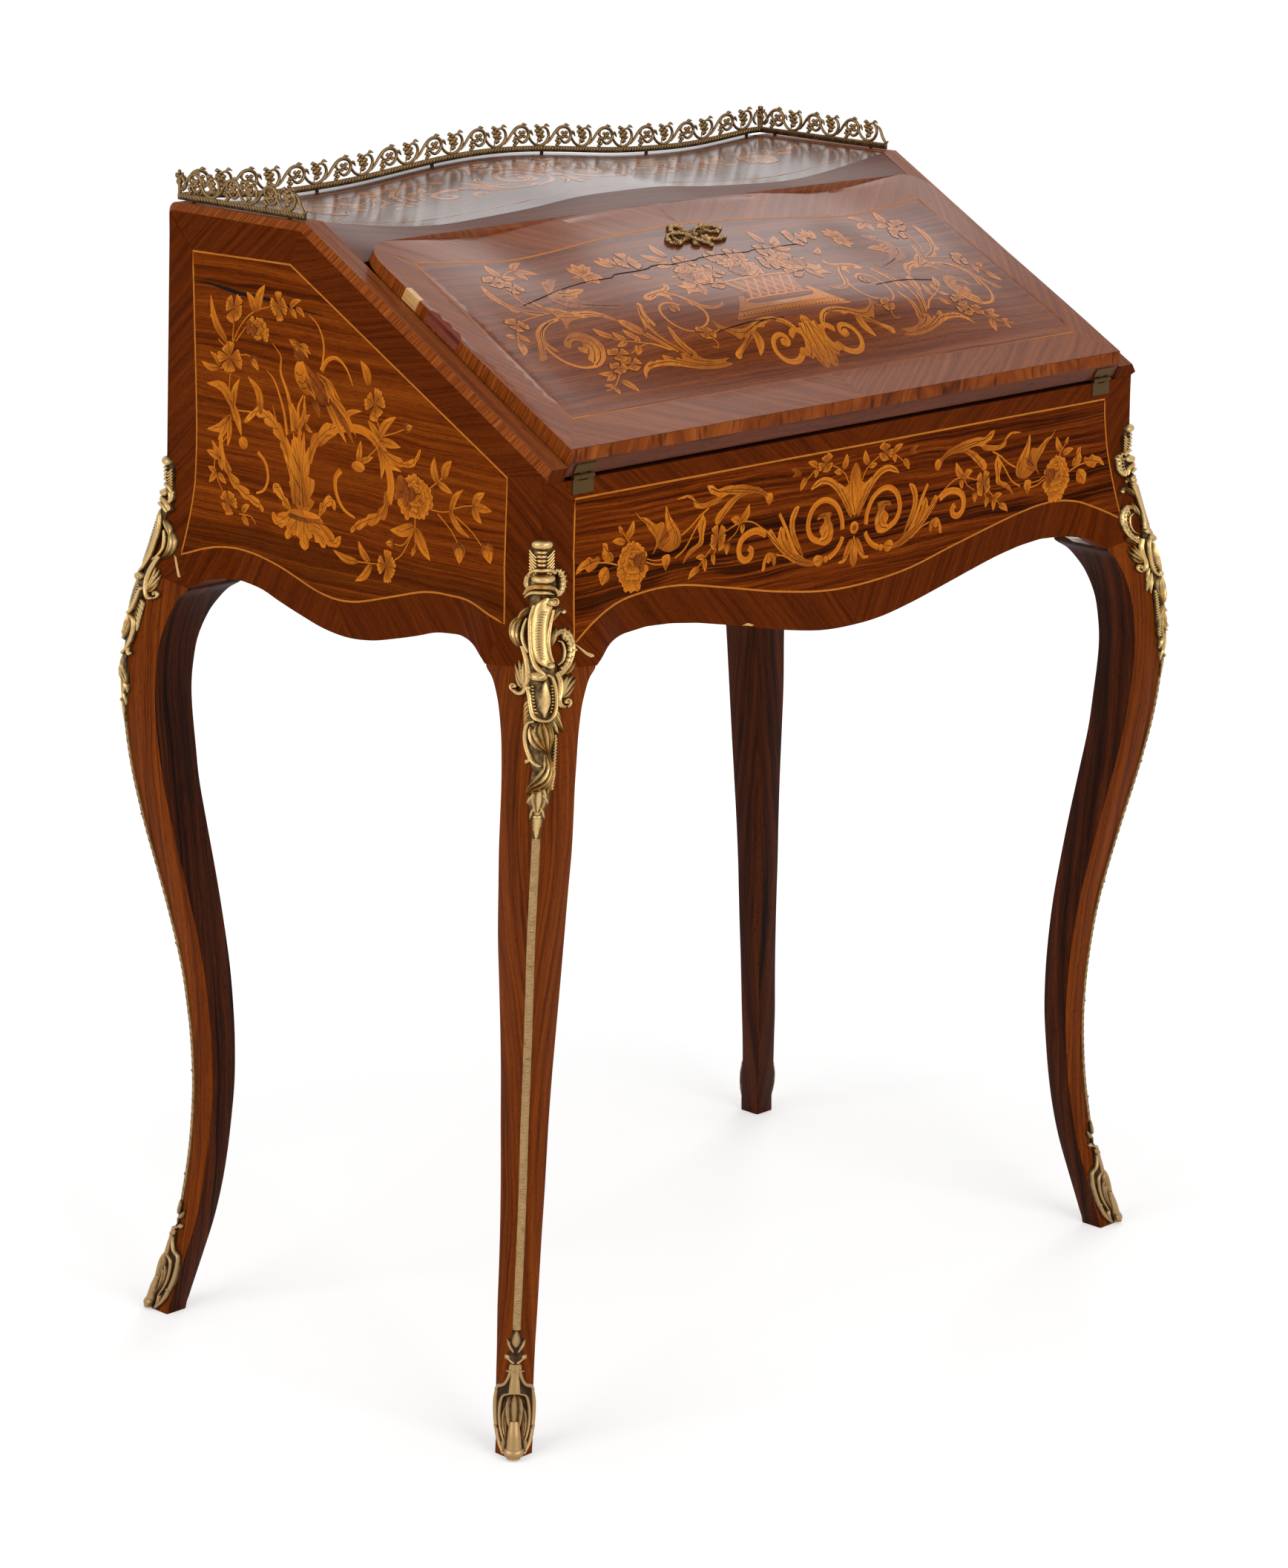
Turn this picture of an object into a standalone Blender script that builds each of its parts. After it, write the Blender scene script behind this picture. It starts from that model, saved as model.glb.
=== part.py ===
"""Slant-front desk: construction. Metres, +Z up, front faces -Y, origin at the bottom centre."""
import math

import bmesh
import bpy
from mathutils import Matrix, Vector

# Driving dimensions
CASE_W = 0.700            # case width over the side panels
CASE_D = 0.428            # case depth, apron face to back face
TOP_Z = 0.933             # top surface at the ends
SIDE_T = 0.022            # side panel thickness
APRON_T = 0.020           # front apron thickness
BACK_T = 0.015            # back panel thickness
TOP_T = 0.033             # top board thickness at the ends
BOTTOM_T = 0.009          # case bottom thickness
POST = 0.0425             # corner post square at the top of each leg
POST_DROP = 0.080         # tops of the corner posts below the nose
KNEE_DROP = 0.200         # knees below the post tops
KNEE_TOP_DROP = 0.0725    # below the post tops: here the legs reach the lower edges of the case
EDGE_DROP = 0.072         # serpentine lower edges meet the posts this far below the post tops
GAP = 0.0003              # clearance between neighbouring pieces
MOUNT_GAP = 0.0007        # clearance of the brass mounts on the legs
SLOPE_DEG = 29.5          # slope of the side edges and the fall
NOSE_OUT = 0.0047         # nose of the side edge, ahead of the apron face
SLOPE_RISE = 0.153        # rise of the slope from the nose to the top
HINGE_OUT = 0.0010        # fall hinge axis, ahead of the apron face
HINGE_DROP = 0.0094       # fall hinge axis below the nose
HINGE_SPACE = 0.0021      # apron's top edge below the hinge axis
HINGE_IN = 0.0195         # middle of each hinge from the side panel
HINGE_W = 0.022           # hinge width
HINGE_R = 0.0019          # hinge knuckle radius
HINGE_LEAF_T = 0.0010     # hinge leaf thickness
HINGE_LEAF_H = 0.0110     # hinge leaf height
FALL_SIDE_GAP = 0.0015    # running gap beside the fall
FALL_FOOT_GAP = 0.0023    # lower edge of the fall, up the slope from the hinge axis
FALL_IN = 0.0105          # inner face of the fall, inside the slope
FALL_PROUD = 0.012        # fall's flat margin stands this far off the slope
FALL_BULGE = 0.017        # swell of the middle of the fall
FALL_CORNER = 0.025       # rounding of the fall's upper corners
RAIL_W = 0.0427           # width of the fixed rail above the fall
LIP_T = 0.009             # thickness of the fall's lip over the rail
LIP_LAP = 0.0105          # lip overlap on the rail
LEATHER_MARGIN = 0.056    # leather's margin on the fall, left and right
LEATHER_T = 0.0009        # leather thickness
LOCK_W = 0.060            # lock case width
LOCK_BLOCK_W = 0.046      # part of the rail that takes the bolt
LOCK_H = 0.0375           # lock case height
BOLT_W = 0.0212           # lock bolt width
BOLT_T = 0.0042           # lock bolt thickness
BOLT_THROW = 0.0070       # lock bolt travel
MORTISE_END = 0.010       # bolt's mortise is longer than its travel by this
BED_DROP = 0.0014         # writing bed surface below the hinge axis
BED_T = 0.0147            # writing bed thickness
WELL_W = 0.300            # well opening width
WELL_Y = 0.060            # front of the well opening, behind the apron face
LID_L = 0.144             # length of the well lid
LID_TRAVEL = 0.150        # travel of the well lid
DRAWER_Y = 0.2053         # front plane of the interior drawers
DRAWER_H = 0.0316         # drawer height
DECK_T = 0.0065           # board under the drawers
SHELF_T = 0.006           # board over the drawers
DIVIDER_T = 0.006         # upright dividers
DRAWER_BACK = 0.0077      # space behind the drawers
TRAY_WALL = 0.005         # drawer tray walls
GALLERY_IN = 0.010        # gallery sides, in from the case sides
GALLERY_BACK_IN = 0.0055  # gallery back, in from the back face
GALLERY_FRONT_IN = 0.0065  # front ends of the gallery, behind the top's front edge
GALLERY_H = 0.020         # gallery height
GALLERY_T = 0.0022        # gallery thickness
PEG_H = 0.003             # pegs under the gallery
CHUTE_RISE = 0.028        # upper end of the corner mounts above the post tops
CHUTE_H = 0.223           # height of the corner mounts
SABOT_Z0 = 0.001          # sabots clear the floor by this much
SABOT_Z1 = 0.097          # top of the sabots
STRIP_W = 0.0032          # wings of the brass strip between corner mount and sabot
STRIP_T = 0.0012          # thickness of the brass strip
FACE_SPLIT = 0.55         # leg faces are split at this share of their width
BOTTOM_UP = 0.020         # case bottom above the ends of the lower edges
RUNNER_IN = 0.012         # lid runners reach under the lid
RUNNER_OUT = 0.015        # and under the bed beside it
RUNNER_LONG = 0.010       # and past the ends of the well opening
RUNNER_H = 0.0077         # lid runner height
ESC_W = 0.058             # keyhole plate width
ESC_H = 0.031             # keyhole plate height
ESC_DROP = 0.055          # keyhole plate's middle below the fall's upper edge

# Derived places
HALF_W = CASE_W / 2
FRONT_Y = -CASE_D / 2
THETA = math.radians(SLOPE_DEG)
COS_T = math.cos(THETA)
SIN_T = math.sin(THETA)
INNER_X = HALF_W - SIDE_T
NOSE_Z = TOP_Z - SLOPE_RISE
POST_Z = NOSE_Z - POST_DROP
KNEE_Z = POST_Z - KNEE_DROP
KNEE_TOP_Z = POST_Z - KNEE_TOP_DROP
BOTTOM_EDGE_Z = POST_Z - EDGE_DROP
CHUTE_Z1 = POST_Z + CHUTE_RISE
CHUTE_Z0 = CHUTE_Z1 - CHUTE_H
SLOPE_LEN = SLOPE_RISE / SIN_T
SLOPE_TOP_Y = SLOPE_LEN * COS_T - NOSE_OUT
HINGE_Z = NOSE_Z - HINGE_DROP
HINGE_T = (NOSE_OUT - HINGE_OUT) * COS_T - HINGE_DROP * SIN_T
HINGE_N = -(NOSE_OUT - HINGE_OUT) * SIN_T - HINGE_DROP * COS_T
APRON_TOP_Z = HINGE_Z - HINGE_SPACE
FALL_HALF_W = INNER_X - FALL_SIDE_GAP
FALL_T0 = HINGE_T + FALL_FOOT_GAP
FALL_T1 = SLOPE_LEN - RAIL_W
FALL_BODY = FALL_T1 - LIP_LAP
RAIL_UNDER_Z = NOSE_Z + FALL_BODY * SIN_T - FALL_IN * COS_T
TOP_UNDER_Z = TOP_Z - TOP_T
BED_Z = HINGE_Z - BED_DROP
DRAWER_Z0 = BED_Z + DECK_T + 3 * GAP
DRAWER_Z1 = DRAWER_Z0 + DRAWER_H
GALLERY_X = HALF_W - GALLERY_IN
GALLERY_Y = CASE_D - GALLERY_BACK_IN
GALLERY_FRONT_Y = SLOPE_TOP_Y + GALLERY_FRONT_IN
ESC_T = FALL_T1 - ESC_DROP
BOLT_N = -FALL_IN + 0.0034
LOCK_TOP = BOLT_N + 0.0037

# Top board's rise across its half width (shares of it), at its front edge and at the gallery line
TOP_FRONT = ((0.0, -0.0050), (0.15, -0.0057), (0.30, -0.0098), (0.46, -0.0126), (0.61, -0.0142),
             (0.73, -0.0122), (0.885, -0.0062), (1.0, -0.0006))
TOP_BACK = ((0.0, 0.0075), (0.14, 0.0060), (0.26, 0.0028), (0.46, -0.0034), (0.61, -0.0058),
            (0.72, -0.0062), (0.81, -0.0052), (1.0, -0.0002))
# Leg: height share (1 at the knee, 2 at the post top), outward offset of the outer corner in x and y,
# inner edge from the case corner
LEG = ((0, 0.0262, 0.0048, -0.0050), (0.024, 0.0236, 0.0028, -0.0024), (0.06, 0.0195, -0.0015, 0.0015),
       (0.1, 0.0155, -0.0055, 0.0060), (0.16, 0.0090, -0.0110, 0.0130), (0.22, 0.0045, -0.0143, 0.0185),
       (0.28, 0.0006, -0.0166, 0.0228), (0.34, -0.0020, -0.0178, 0.0260), (0.4, -0.0035, -0.0180, 0.0285),
       (0.46, -0.0034, -0.0170, 0.0294), (0.52, -0.0021, -0.0150, 0.0292), (0.6, 0.0008, -0.0105, 0.0280),
       (0.68, 0.0060, -0.0038, 0.0252), (0.76, 0.0124, 0.0038, 0.0216), (0.84, 0.0192, 0.0117, 0.0174),
       (0.92, 0.0245, 0.0190, 0.0138), (0.98, 0.0270, 0.0232, 0.0127), (1.1, 0.0282, 0.0258, 0.0117),
       (1.2, 0.0281, 0.0265, 0.0118), (1.3, 0.0271, 0.0263, 0.0135), (1.4, 0.0253, 0.0249, 0.0165),
       (1.5, 0.0221, 0.0219, 0.0228), (1.56, 0.0197, 0.0197, 0.0290), (1.6, 0.0181, 0.0181, 0.0345),
       (2 - KNEE_TOP_DROP / KNEE_DROP, 0.0165, 0.0165, POST),
       (1.775, 0.0100, 0.0100, POST), (1.9, 0.0045, 0.0045, POST), (2, 0.0012, 0.0012, POST))
# Serpentine lower edges: share of the half opening from the middle, height against the ends
APRON_EDGE = ((0.0, -0.0205), (0.114, -0.0190), (0.238, -0.0130), (0.358, -0.0052), (0.479, 0.0030), (0.586, 0.0098),
              (0.684, 0.0142), (0.771, 0.0160), (0.867, 0.0140), (0.934, 0.0105), (0.980, 0.0035), (1.0, 0.0))
SIDE_EDGE = ((0.0, -0.0150), (0.164, -0.0125), (0.316, -0.0065), (0.468, 0.0005), (0.585, 0.0065), (0.714, 0.0090),
             (0.762, 0.0090), (0.882, 0.0065), (0.964, 0.0018), (1.0, 0.0))

ROSEWOOD = ((0.14, 0.045, 0.02), 0.0, 0.35)
CARCASE = ((0.30, 0.17, 0.08), 0.0, 0.6)
BRASS = ((0.72, 0.52, 0.24), 1.0, 0.35)
IRON = ((0.20, 0.19, 0.18), 1.0, 0.5)
LEATHER = ((0.05, 0.10, 0.06), 0.0, 0.6)


def smooth(table, x):
    """Cubic interpolation of a small table of (x, value) pairs."""
    x = min(max(x, table[0][0]), table[-1][0])
    i = 0
    while i < len(table) - 2 and x > table[i + 1][0]:
        i += 1
    (xa, ya), (xb, yb) = table[i], table[i + 1]

    def slope(k):
        if k == 0:
            return 0.0
        if k == len(table) - 1:
            return (table[k][1] - table[k - 1][1]) / (table[k][0] - table[k - 1][0])
        return (table[k + 1][1] - table[k - 1][1]) / (table[k + 1][0] - table[k - 1][0])

    h = xb - xa
    u = (x - xa) / h
    h00 = 2 * u ** 3 - 3 * u ** 2 + 1
    h10 = u ** 3 - 2 * u ** 2 + u
    h01 = -2 * u ** 3 + 3 * u ** 2
    h11 = u ** 3 - u ** 2
    return h00 * ya + h10 * h * slope(i) + h01 * yb + h11 * h * slope(i + 1)


def ramp(a, b, x):
    """Smooth step from 0 at a to 1 at b."""
    u = min(max((x - a) / (b - a), 0.0), 1.0)
    return u * u * (3 - 2 * u)


def top_z(x, y):
    """Height of the top board; y is measured behind the apron face."""
    s = min(max((y - SLOPE_TOP_Y) / (GALLERY_Y - SLOPE_TOP_Y), 0.0), 1.05)
    u = abs(x) / (INNER_X - GAP)
    return TOP_Z + smooth(TOP_FRONT, u) * (1 - s) + smooth(TOP_BACK, u) * s


def fall_n(x, t):
    """Height of the fall's outer face above the slope plane."""
    u = abs(x) / FALL_HALF_W
    v = t / FALL_T1
    margin = FALL_PROUD - 0.0025 * ramp(0.15, 1.0, v)
    q = 1 - (u / 0.842) ** 2
    swell = FALL_BULGE * q ** 1.5 if q > 0 else 0.0
    along = ramp(0.123, 0.373, v) * (1 - 0.88 * ramp(0.392, 0.951, v))
    dip = 0.0045 * math.exp(-((u - 0.612) / 0.184) ** 2) * ramp(0.485, 0.877, v)
    return margin + swell * along - dip


def lip_under(x):
    """Underside of the fall's lip, off the slope."""
    return fall_n(min(abs(x), FALL_HALF_W - FALL_CORNER), FALL_T1) - LIP_T


def fall_top(x):
    """Upper edge of the fall up the slope, with its rounded corners."""
    over = abs(x) - (FALL_HALF_W - FALL_CORNER)
    if over <= 0:
        return FALL_T1
    return FALL_T1 - (FALL_CORNER - math.sqrt(max(FALL_CORNER ** 2 - over ** 2, 0.0)))


def on_slope(x, t, n):
    """Point at x, t up the slope and n off it."""
    return (x, FRONT_Y - NOSE_OUT + t * COS_T - n * SIN_T, NOSE_Z + t * SIN_T + n * COS_T)


def material(name, look):
    mat = bpy.data.materials.new(name)
    mat.use_nodes = True
    shader = mat.node_tree.nodes["Principled BSDF"]
    shader.inputs["Base Color"].default_value = (*look[0], 1.0)
    shader.inputs["Metallic"].default_value = look[1]
    shader.inputs["Roughness"].default_value = look[2]
    return mat


def make(name, verts, faces, look):
    """One named object from vertices and faces, with outward faces."""
    mesh = bpy.data.meshes.new(name)
    bm = bmesh.new()
    vs = [bm.verts.new(v) for v in verts]
    for f in faces:
        bm.faces.new([vs[i] for i in f])
    bmesh.ops.remove_doubles(bm, verts=bm.verts, dist=1e-6)
    bmesh.ops.dissolve_degenerate(bm, edges=bm.edges, dist=1e-6)
    bmesh.ops.recalc_face_normals(bm, faces=bm.faces)
    bm.to_mesh(mesh)
    bm.free()
    mesh.materials.append(material(name + "_finish", look))
    obj = bpy.data.objects.new(name, mesh)
    bpy.context.scene.collection.objects.link(obj)
    return obj


def loft_data(rings, close=True):
    """Vertices and faces of a closed body through equal rings."""
    count = len(rings[0])
    verts = [p for ring in rings for p in ring]
    faces = []
    for r in range(len(rings) - 1):
        for i in range(count):
            j = (i + 1) % count
            faces.append((r * count + i, r * count + j, (r + 1) * count + j, (r + 1) * count + i))
    if close:
        faces.append(tuple(range(count))[::-1])
        faces.append(tuple((len(rings) - 1) * count + i for i in range(count)))
    return verts, faces


def loft(name, rings, look):
    verts, faces = loft_data(rings)
    return make(name, verts, faces, look)


def prism(name, outline, axis, a, b, look):
    """Extrude a 2-D outline along x, y or z from a to b."""
    def place(p, v):
        return {"x": (v, p[0], p[1]), "y": (p[0], v, p[1]), "z": (p[0], p[1], v)}[axis]
    return loft(name, [[place(p, a) for p in outline], [place(p, b) for p in outline]], look)


def box_data(x0, x1, y0, y1, z0, z1):
    verts = [(x, y, z) for z in (z0, z1) for x, y in ((x0, y0), (x1, y0), (x1, y1), (x0, y1))]
    faces = [(3, 2, 1, 0), (4, 5, 6, 7), (0, 1, 5, 4), (1, 2, 6, 5), (2, 3, 7, 6), (3, 0, 4, 7)]
    return verts, faces


def group(name, bodies, look):
    """Several separate bodies in one object."""
    verts, faces = [], []
    for v, f in bodies:
        base = len(verts)
        verts += v
        faces += [tuple(i + base for i in face) for face in f]
    return make(name, verts, faces, look)


def box(name, x0, x1, y0, y1, z0, z1, look):
    return group(name, [box_data(x0, x1, y0, y1, z0, z1)], look)


def slope_box_data(x0, x1, t0, t1, n0, n1):
    """Box aligned with the slope."""
    verts = [on_slope(x, t, n) for n in (n0, n1) for x, t in ((x0, t0), (x1, t0), (x1, t1), (x0, t1))]
    return verts, box_data(0, 1, 0, 1, 0, 1)[1]


def annulus_data(outer, inner, axis, a, b):
    """Extruded outline with a hole; both loops have equal counts."""
    def place(p, v):
        return {"x": (v, p[0], p[1]), "z": (p[0], p[1], v)}[axis]
    n = len(outer)
    verts = [place(p, v) for v in (a, b) for loop in (outer, inner) for p in loop]
    faces = []
    for i in range(n):
        j = (i + 1) % n
        faces.append((i, j, n + j, n + i))
        faces.append((2 * n + i, 3 * n + i, 3 * n + j, 2 * n + j))
        faces.append((i, 2 * n + i, 2 * n + j, j))
        faces.append((n + i, n + j, 3 * n + j, 3 * n + i))
    return verts, faces


def cylinder_data(axis, centre, radius, a, b, sides=16):
    loop = [(centre[0] + radius * math.cos(2 * math.pi * k / sides),
             centre[1] + radius * math.sin(2 * math.pi * k / sides)) for k in range(sides)]
    place = {"x": lambda p, v: (v, p[0], p[1]), "y": lambda p, v: (p[0], v, p[1]),
             "z": lambda p, v: (p[0], p[1], v)}[axis]
    return loft_data([[place(p, a) for p in loop], [place(p, b) for p in loop]])


def combine(obj, bodies, operation):
    """Boolean of an object with plain bodies."""
    for k, (verts, faces) in enumerate(bodies):
        tool = make(f"{obj.name}_tool_{k}", verts, faces, CARCASE)
        mod = obj.modifiers.new("combine", "BOOLEAN")
        mod.operation = operation
        mod.solver = "EXACT"
        mod.object = tool
        graph = bpy.context.evaluated_depsgraph_get()
        mesh = bpy.data.meshes.new_from_object(obj.evaluated_get(graph))
        obj.modifiers.clear()
        old = obj.data
        mats = list(old.materials)
        obj.data = mesh
        mesh.materials.clear()
        mesh.materials.append(mats[0])
        for p in mesh.polygons:
            p.material_index = 0
        tool_mesh = tool.data
        bpy.data.objects.remove(tool)
        bpy.data.meshes.remove(tool_mesh)
        bpy.data.meshes.remove(old)
    return obj


def leg_height(share):
    """Height of a row of the leg table."""
    return KNEE_Z * share if share <= 1 else KNEE_Z + KNEE_DROP * (share - 1)


def leg_exact(z):
    """Outer, front, inner and side corners of a leg's section, as offsets inward from the case corner."""
    ox = smooth([(leg_height(r[0]), r[1]) for r in LEG], z)
    oy = smooth([(leg_height(r[0]), r[2]) for r in LEG], z)
    inner = smooth([(leg_height(r[0]), r[3]) for r in LEG], z) if z < KNEE_TOP_Z - 1e-6 else POST
    depth = ox - oy + inner if z < KNEE_TOP_Z - 1e-6 else POST
    return (-ox, -oy), (inner, -oy), (inner, depth), (-ox, depth)


def leg_corners(z):
    """The section at any height, straight between the leg's levels."""
    for lo, hi in zip(LEG_Z, LEG_Z[1:]):
        if lo <= z <= hi:
            u = (z - lo) / (hi - lo)
            return [(a[0] + (b[0] - a[0]) * u, a[1] + (b[1] - a[1]) * u)
                    for a, b in zip(leg_exact(lo), leg_exact(hi))]
    return leg_exact(POST_Z)


def leg_ring(z):
    """Section of a leg with a point part way along each outer face."""
    c, f, i, s = leg_corners(z)
    mid = FACE_SPLIT
    return [c, (c[0] + (f[0] - c[0]) * mid, c[1] + (f[1] - c[1]) * mid), f, i, s,
            (c[0] + (s[0] - c[0]) * mid, c[1] + (s[1] - c[1]) * mid)]


def corner_point(sx, sy, p, z):
    """Case-corner offset to world: sx, sy pick the corner."""
    return (sx * (HALF_W - p[0]), sy * (CASE_D / 2 - p[1]), z)


def levels(start, end, count):
    return [start + (end - start) * k / count for k in range(count)]


LEG_Z = (levels(0.0, 0.12 * KNEE_Z, 6) + levels(0.12 * KNEE_Z, KNEE_Z, 17) + levels(KNEE_Z, KNEE_TOP_Z, 18)
         + levels(KNEE_TOP_Z, POST_Z, 8) + [POST_Z])


def leg(name, sx, sy):
    return loft(name, [[corner_point(sx, sy, p, z) for p in leg_ring(z)] for z in LEG_Z], ROSEWOOD)


def unit2(ax, ay):
    d = math.hypot(ax, ay)
    return ax / d, ay / d


def mount_ring(z, wing, thick, lift):
    """Section of a brass mount that wraps a leg's outer corner."""
    c, f, _, s = leg_corners(min(z, POST_Z))
    if z > POST_Z:
        c, f, s = (0.0, 0.0), (POST, 0.0), (0.0, POST)
    uf = unit2(f[0] - c[0], f[1] - c[1])
    us = unit2(s[0] - c[0], s[1] - c[1])
    nf = (uf[1], -uf[0])
    ns = (-us[1], us[0])
    out = unit2(nf[0] + ns[0], nf[1] + ns[1])
    mitre = 1.0 / max(out[0] * nf[0] + out[1] * nf[1], 0.3)

    def at(u, n, a, d):
        return (c[0] + u[0] * a + n[0] * d, c[1] + u[1] * a + n[1] * d)

    def apex(d):
        return (c[0] + out[0] * d, c[1] + out[1] * d)
    side = lift + thick * 0.45
    return [at(uf, nf, wing, lift), apex(lift * mitre), at(us, ns, wing, lift), at(us, ns, wing, side),
            at(us, ns, wing * 0.35, lift + thick * 0.85), apex((lift + thick) * 1.12),
            at(uf, nf, wing * 0.35, lift + thick * 0.85), at(uf, nf, wing, side)]


def mount(name, sx, sy, profile, lo, hi):
    """Brass mount on a leg corner between two heights; profile rows are share, wing width, thickness."""
    wings = [(lo + (hi - lo) * r[0], r[1]) for r in profile]
    thicks = [(lo + (hi - lo) * r[0], r[2]) for r in profile]
    heights = [lo] + [z for z in LEG_Z if lo + 0.001 < z < hi - 0.001] + [hi]
    heights = sorted(set(heights + [z for z, _ in wings if z > POST_Z]))
    rings = [[corner_point(sx, sy, p, z) for p in mount_ring(z, smooth(wings, z), smooth(thicks, z), MOUNT_GAP)]
             for z in heights]
    return loft(name, rings, BRASS)


# Corner mounts and sabots: share of the height, wing width, thickness
CHUTE = ((0.0, 0.0050, 0.0024), (0.067, 0.0088, 0.0066), (0.117, 0.0107, 0.0082), (0.2, 0.0134, 0.0094),
         (0.269, 0.0160, 0.0097), (0.336, 0.0214, 0.0095), (0.403, 0.0280, 0.0090), (0.470, 0.0315, 0.0077),
         (0.525, 0.0320, 0.0061), (0.605, 0.0310, 0.0036), (0.673, 0.0290, 0.0025), (0.722, 0.0250, 0.0027),
         (0.770, 0.0150, 0.0045), (0.815, 0.0177, 0.0060), (0.874, 0.0120, 0.0074), (0.940, 0.0082, 0.0052),
         (1.0, 0.0045, 0.0026))
STRIP = ((0.0, STRIP_W, STRIP_T), (1.0, STRIP_W, STRIP_T))
SABOT = ((0.0, 0.0170, 0.0026), (0.052, 0.0175, 0.0032), (0.125, 0.0150, 0.0030), (0.219, 0.0130, 0.0027),
         (0.333, 0.0120, 0.0025), (0.458, 0.0105, 0.0024), (0.583, 0.0085, 0.0023), (0.708, 0.0075, 0.0022),
         (0.823, 0.0060, 0.0020), (0.927, 0.0045, 0.0018), (1.0, 0.0030, 0.0014))

CORNERS = (("front_left", -1, -1), ("front_right", 1, -1), ("rear_left", -1, 1), ("rear_right", 1, 1))


def side_outline():
    """Side panel outline in (y, z), y in world."""
    lo = POST + GAP
    pts = [(lo, POST_Z + GAP), (0.0, POST_Z + GAP), (0.0, HINGE_Z - 0.0010), (-NOSE_OUT, NOSE_Z),
           (SLOPE_TOP_Y, TOP_Z), (CASE_D, TOP_Z), (CASE_D, POST_Z + GAP), (CASE_D - lo, POST_Z + GAP)]
    span = CASE_D / 2 - lo
    half = [(CASE_D / 2 + span * u, BOTTOM_EDGE_Z + z) for u, z in reversed(SIDE_EDGE)]
    other = [(CASE_D / 2 - span * u, BOTTOM_EDGE_Z + z) for u, z in SIDE_EDGE[1:]]
    return [(FRONT_Y + y, z) for y, z in pts + half + other]


def face_outline(half_top, top):
    """Outline in (x, z) of a board between the posts, wider above them."""
    lo = HALF_W - POST - GAP
    pts = [(lo, POST_Z + GAP), (half_top, POST_Z + GAP), (half_top, top), (-half_top, top),
           (-half_top, POST_Z + GAP), (-lo, POST_Z + GAP)]
    left = [(-lo * u, BOTTOM_EDGE_Z + z) for u, z in reversed(APRON_EDGE)]
    right = [(lo * u, BOTTOM_EDGE_Z + z) for u, z in APRON_EDGE[1:]]
    return pts + left + right


def wave_columns(half, extra=()):
    return sorted(set([half * k / 11 for k in range(-11, 12)] + list(extra)))


def build_rail(name, x0, x1):
    """Length of the fixed rail between the fall's upper edge and the top."""
    rings = []
    for x in [x0] + [c for c in wave_columns(INNER_X - GAP) if x0 + GAP < c < x1 - GAP] + [x1]:
        n = lip_under(x) - GAP
        low = FALL_BODY + GAP
        foot = on_slope(x, low, -FALL_IN)
        rings.append([(x, foot[1], RAIL_UNDER_Z), on_slope(x, low, n), on_slope(x, FALL_T1 + 0.0005, n),
                      (x, FRONT_Y + SLOPE_TOP_Y - GAP, top_z(x, SLOPE_TOP_Y)),
                      (x, FRONT_Y + SLOPE_TOP_Y - GAP, RAIL_UNDER_Z)])
    return loft(name, rings, ROSEWOOD)


def build_case():
    for name, s in (("left_side_panel", -1), ("right_side_panel", 1)):
        prism(name, side_outline(), "x", s * INNER_X, s * HALF_W, ROSEWOOD)
    half = INNER_X - GAP
    prism("front_apron", face_outline(half, APRON_TOP_Z), "y", FRONT_Y, FRONT_Y + APRON_T, ROSEWOOD)
    prism("back_panel", face_outline(half, TOP_UNDER_Z - GAP), "y", -FRONT_Y - BACK_T, -FRONT_Y, CARCASE)
    deep = GALLERY_Y - SLOPE_TOP_Y
    rows = [SLOPE_TOP_Y] + [SLOPE_TOP_Y + deep * u for u in (0.25, 0.5, 0.75, 1.0)] + [CASE_D]
    rings = []
    for x in wave_columns(half):
        ring = [(x, FRONT_Y + y, top_z(x, y)) for y in rows]
        ring += [(x, FRONT_Y + rows[-1], TOP_UNDER_Z), (x, FRONT_Y + rows[0], TOP_UNDER_Z)]
        rings.append(ring)
    loft("top_panel", rings, ROSEWOOD)
    block = LOCK_BLOCK_W / 2
    build_rail("slope_rail_left", -half, -block - GAP)
    build_rail("slope_rail_right", block + GAP, half)
    rail = build_rail("lock_rail_block", -block, block)
    low = FALL_BODY
    hole = BOLT_W / 2 + 2 * GAP
    deep = -FALL_IN + 0.0007
    combine(rail, [slope_box_data(-hole - 0.0073, hole + 0.0073, low - 0.004, low + 0.0016, deep, BOLT_N + 0.0047),
                   slope_box_data(-hole, hole, low - 0.004, low + BOLT_THROW + MORTISE_END, -FALL_IN - 2 * MORTISE_END,
                                  BOLT_N + BOLT_T / 2 + 2 * GAP)], "DIFFERENCE")
    y0 = FRONT_Y + APRON_T + GAP
    y1 = -FRONT_Y - BACK_T - GAP
    cut = HALF_W - POST - GAP
    dy = POST + GAP
    outline = [(-cut, y0), (cut, y0), (cut, FRONT_Y + dy), (half, FRONT_Y + dy), (half, -FRONT_Y - dy),
               (cut, -FRONT_Y - dy), (cut, y1), (-cut, y1), (-cut, -FRONT_Y - dy), (-half, -FRONT_Y - dy),
               (-half, FRONT_Y + dy), (-cut, FRONT_Y + dy)]
    low = BOTTOM_EDGE_Z + BOTTOM_UP
    prism("case_bottom", outline, "z", low, low + BOTTOM_T, CARCASE)


def build_legs():
    for tag, sx, sy in CORNERS:
        leg("leg_" + tag, sx, sy)
        mount("chute_" + tag, sx, sy, CHUTE, CHUTE_Z0, CHUTE_Z1)
        mount("leg_strip_" + tag, sx, sy, STRIP, SABOT_Z1 + MOUNT_GAP, CHUTE_Z0 - MOUNT_GAP)
        mount("sabot_" + tag, sx, sy, SABOT, SABOT_Z0, SABOT_Z1)


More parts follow.
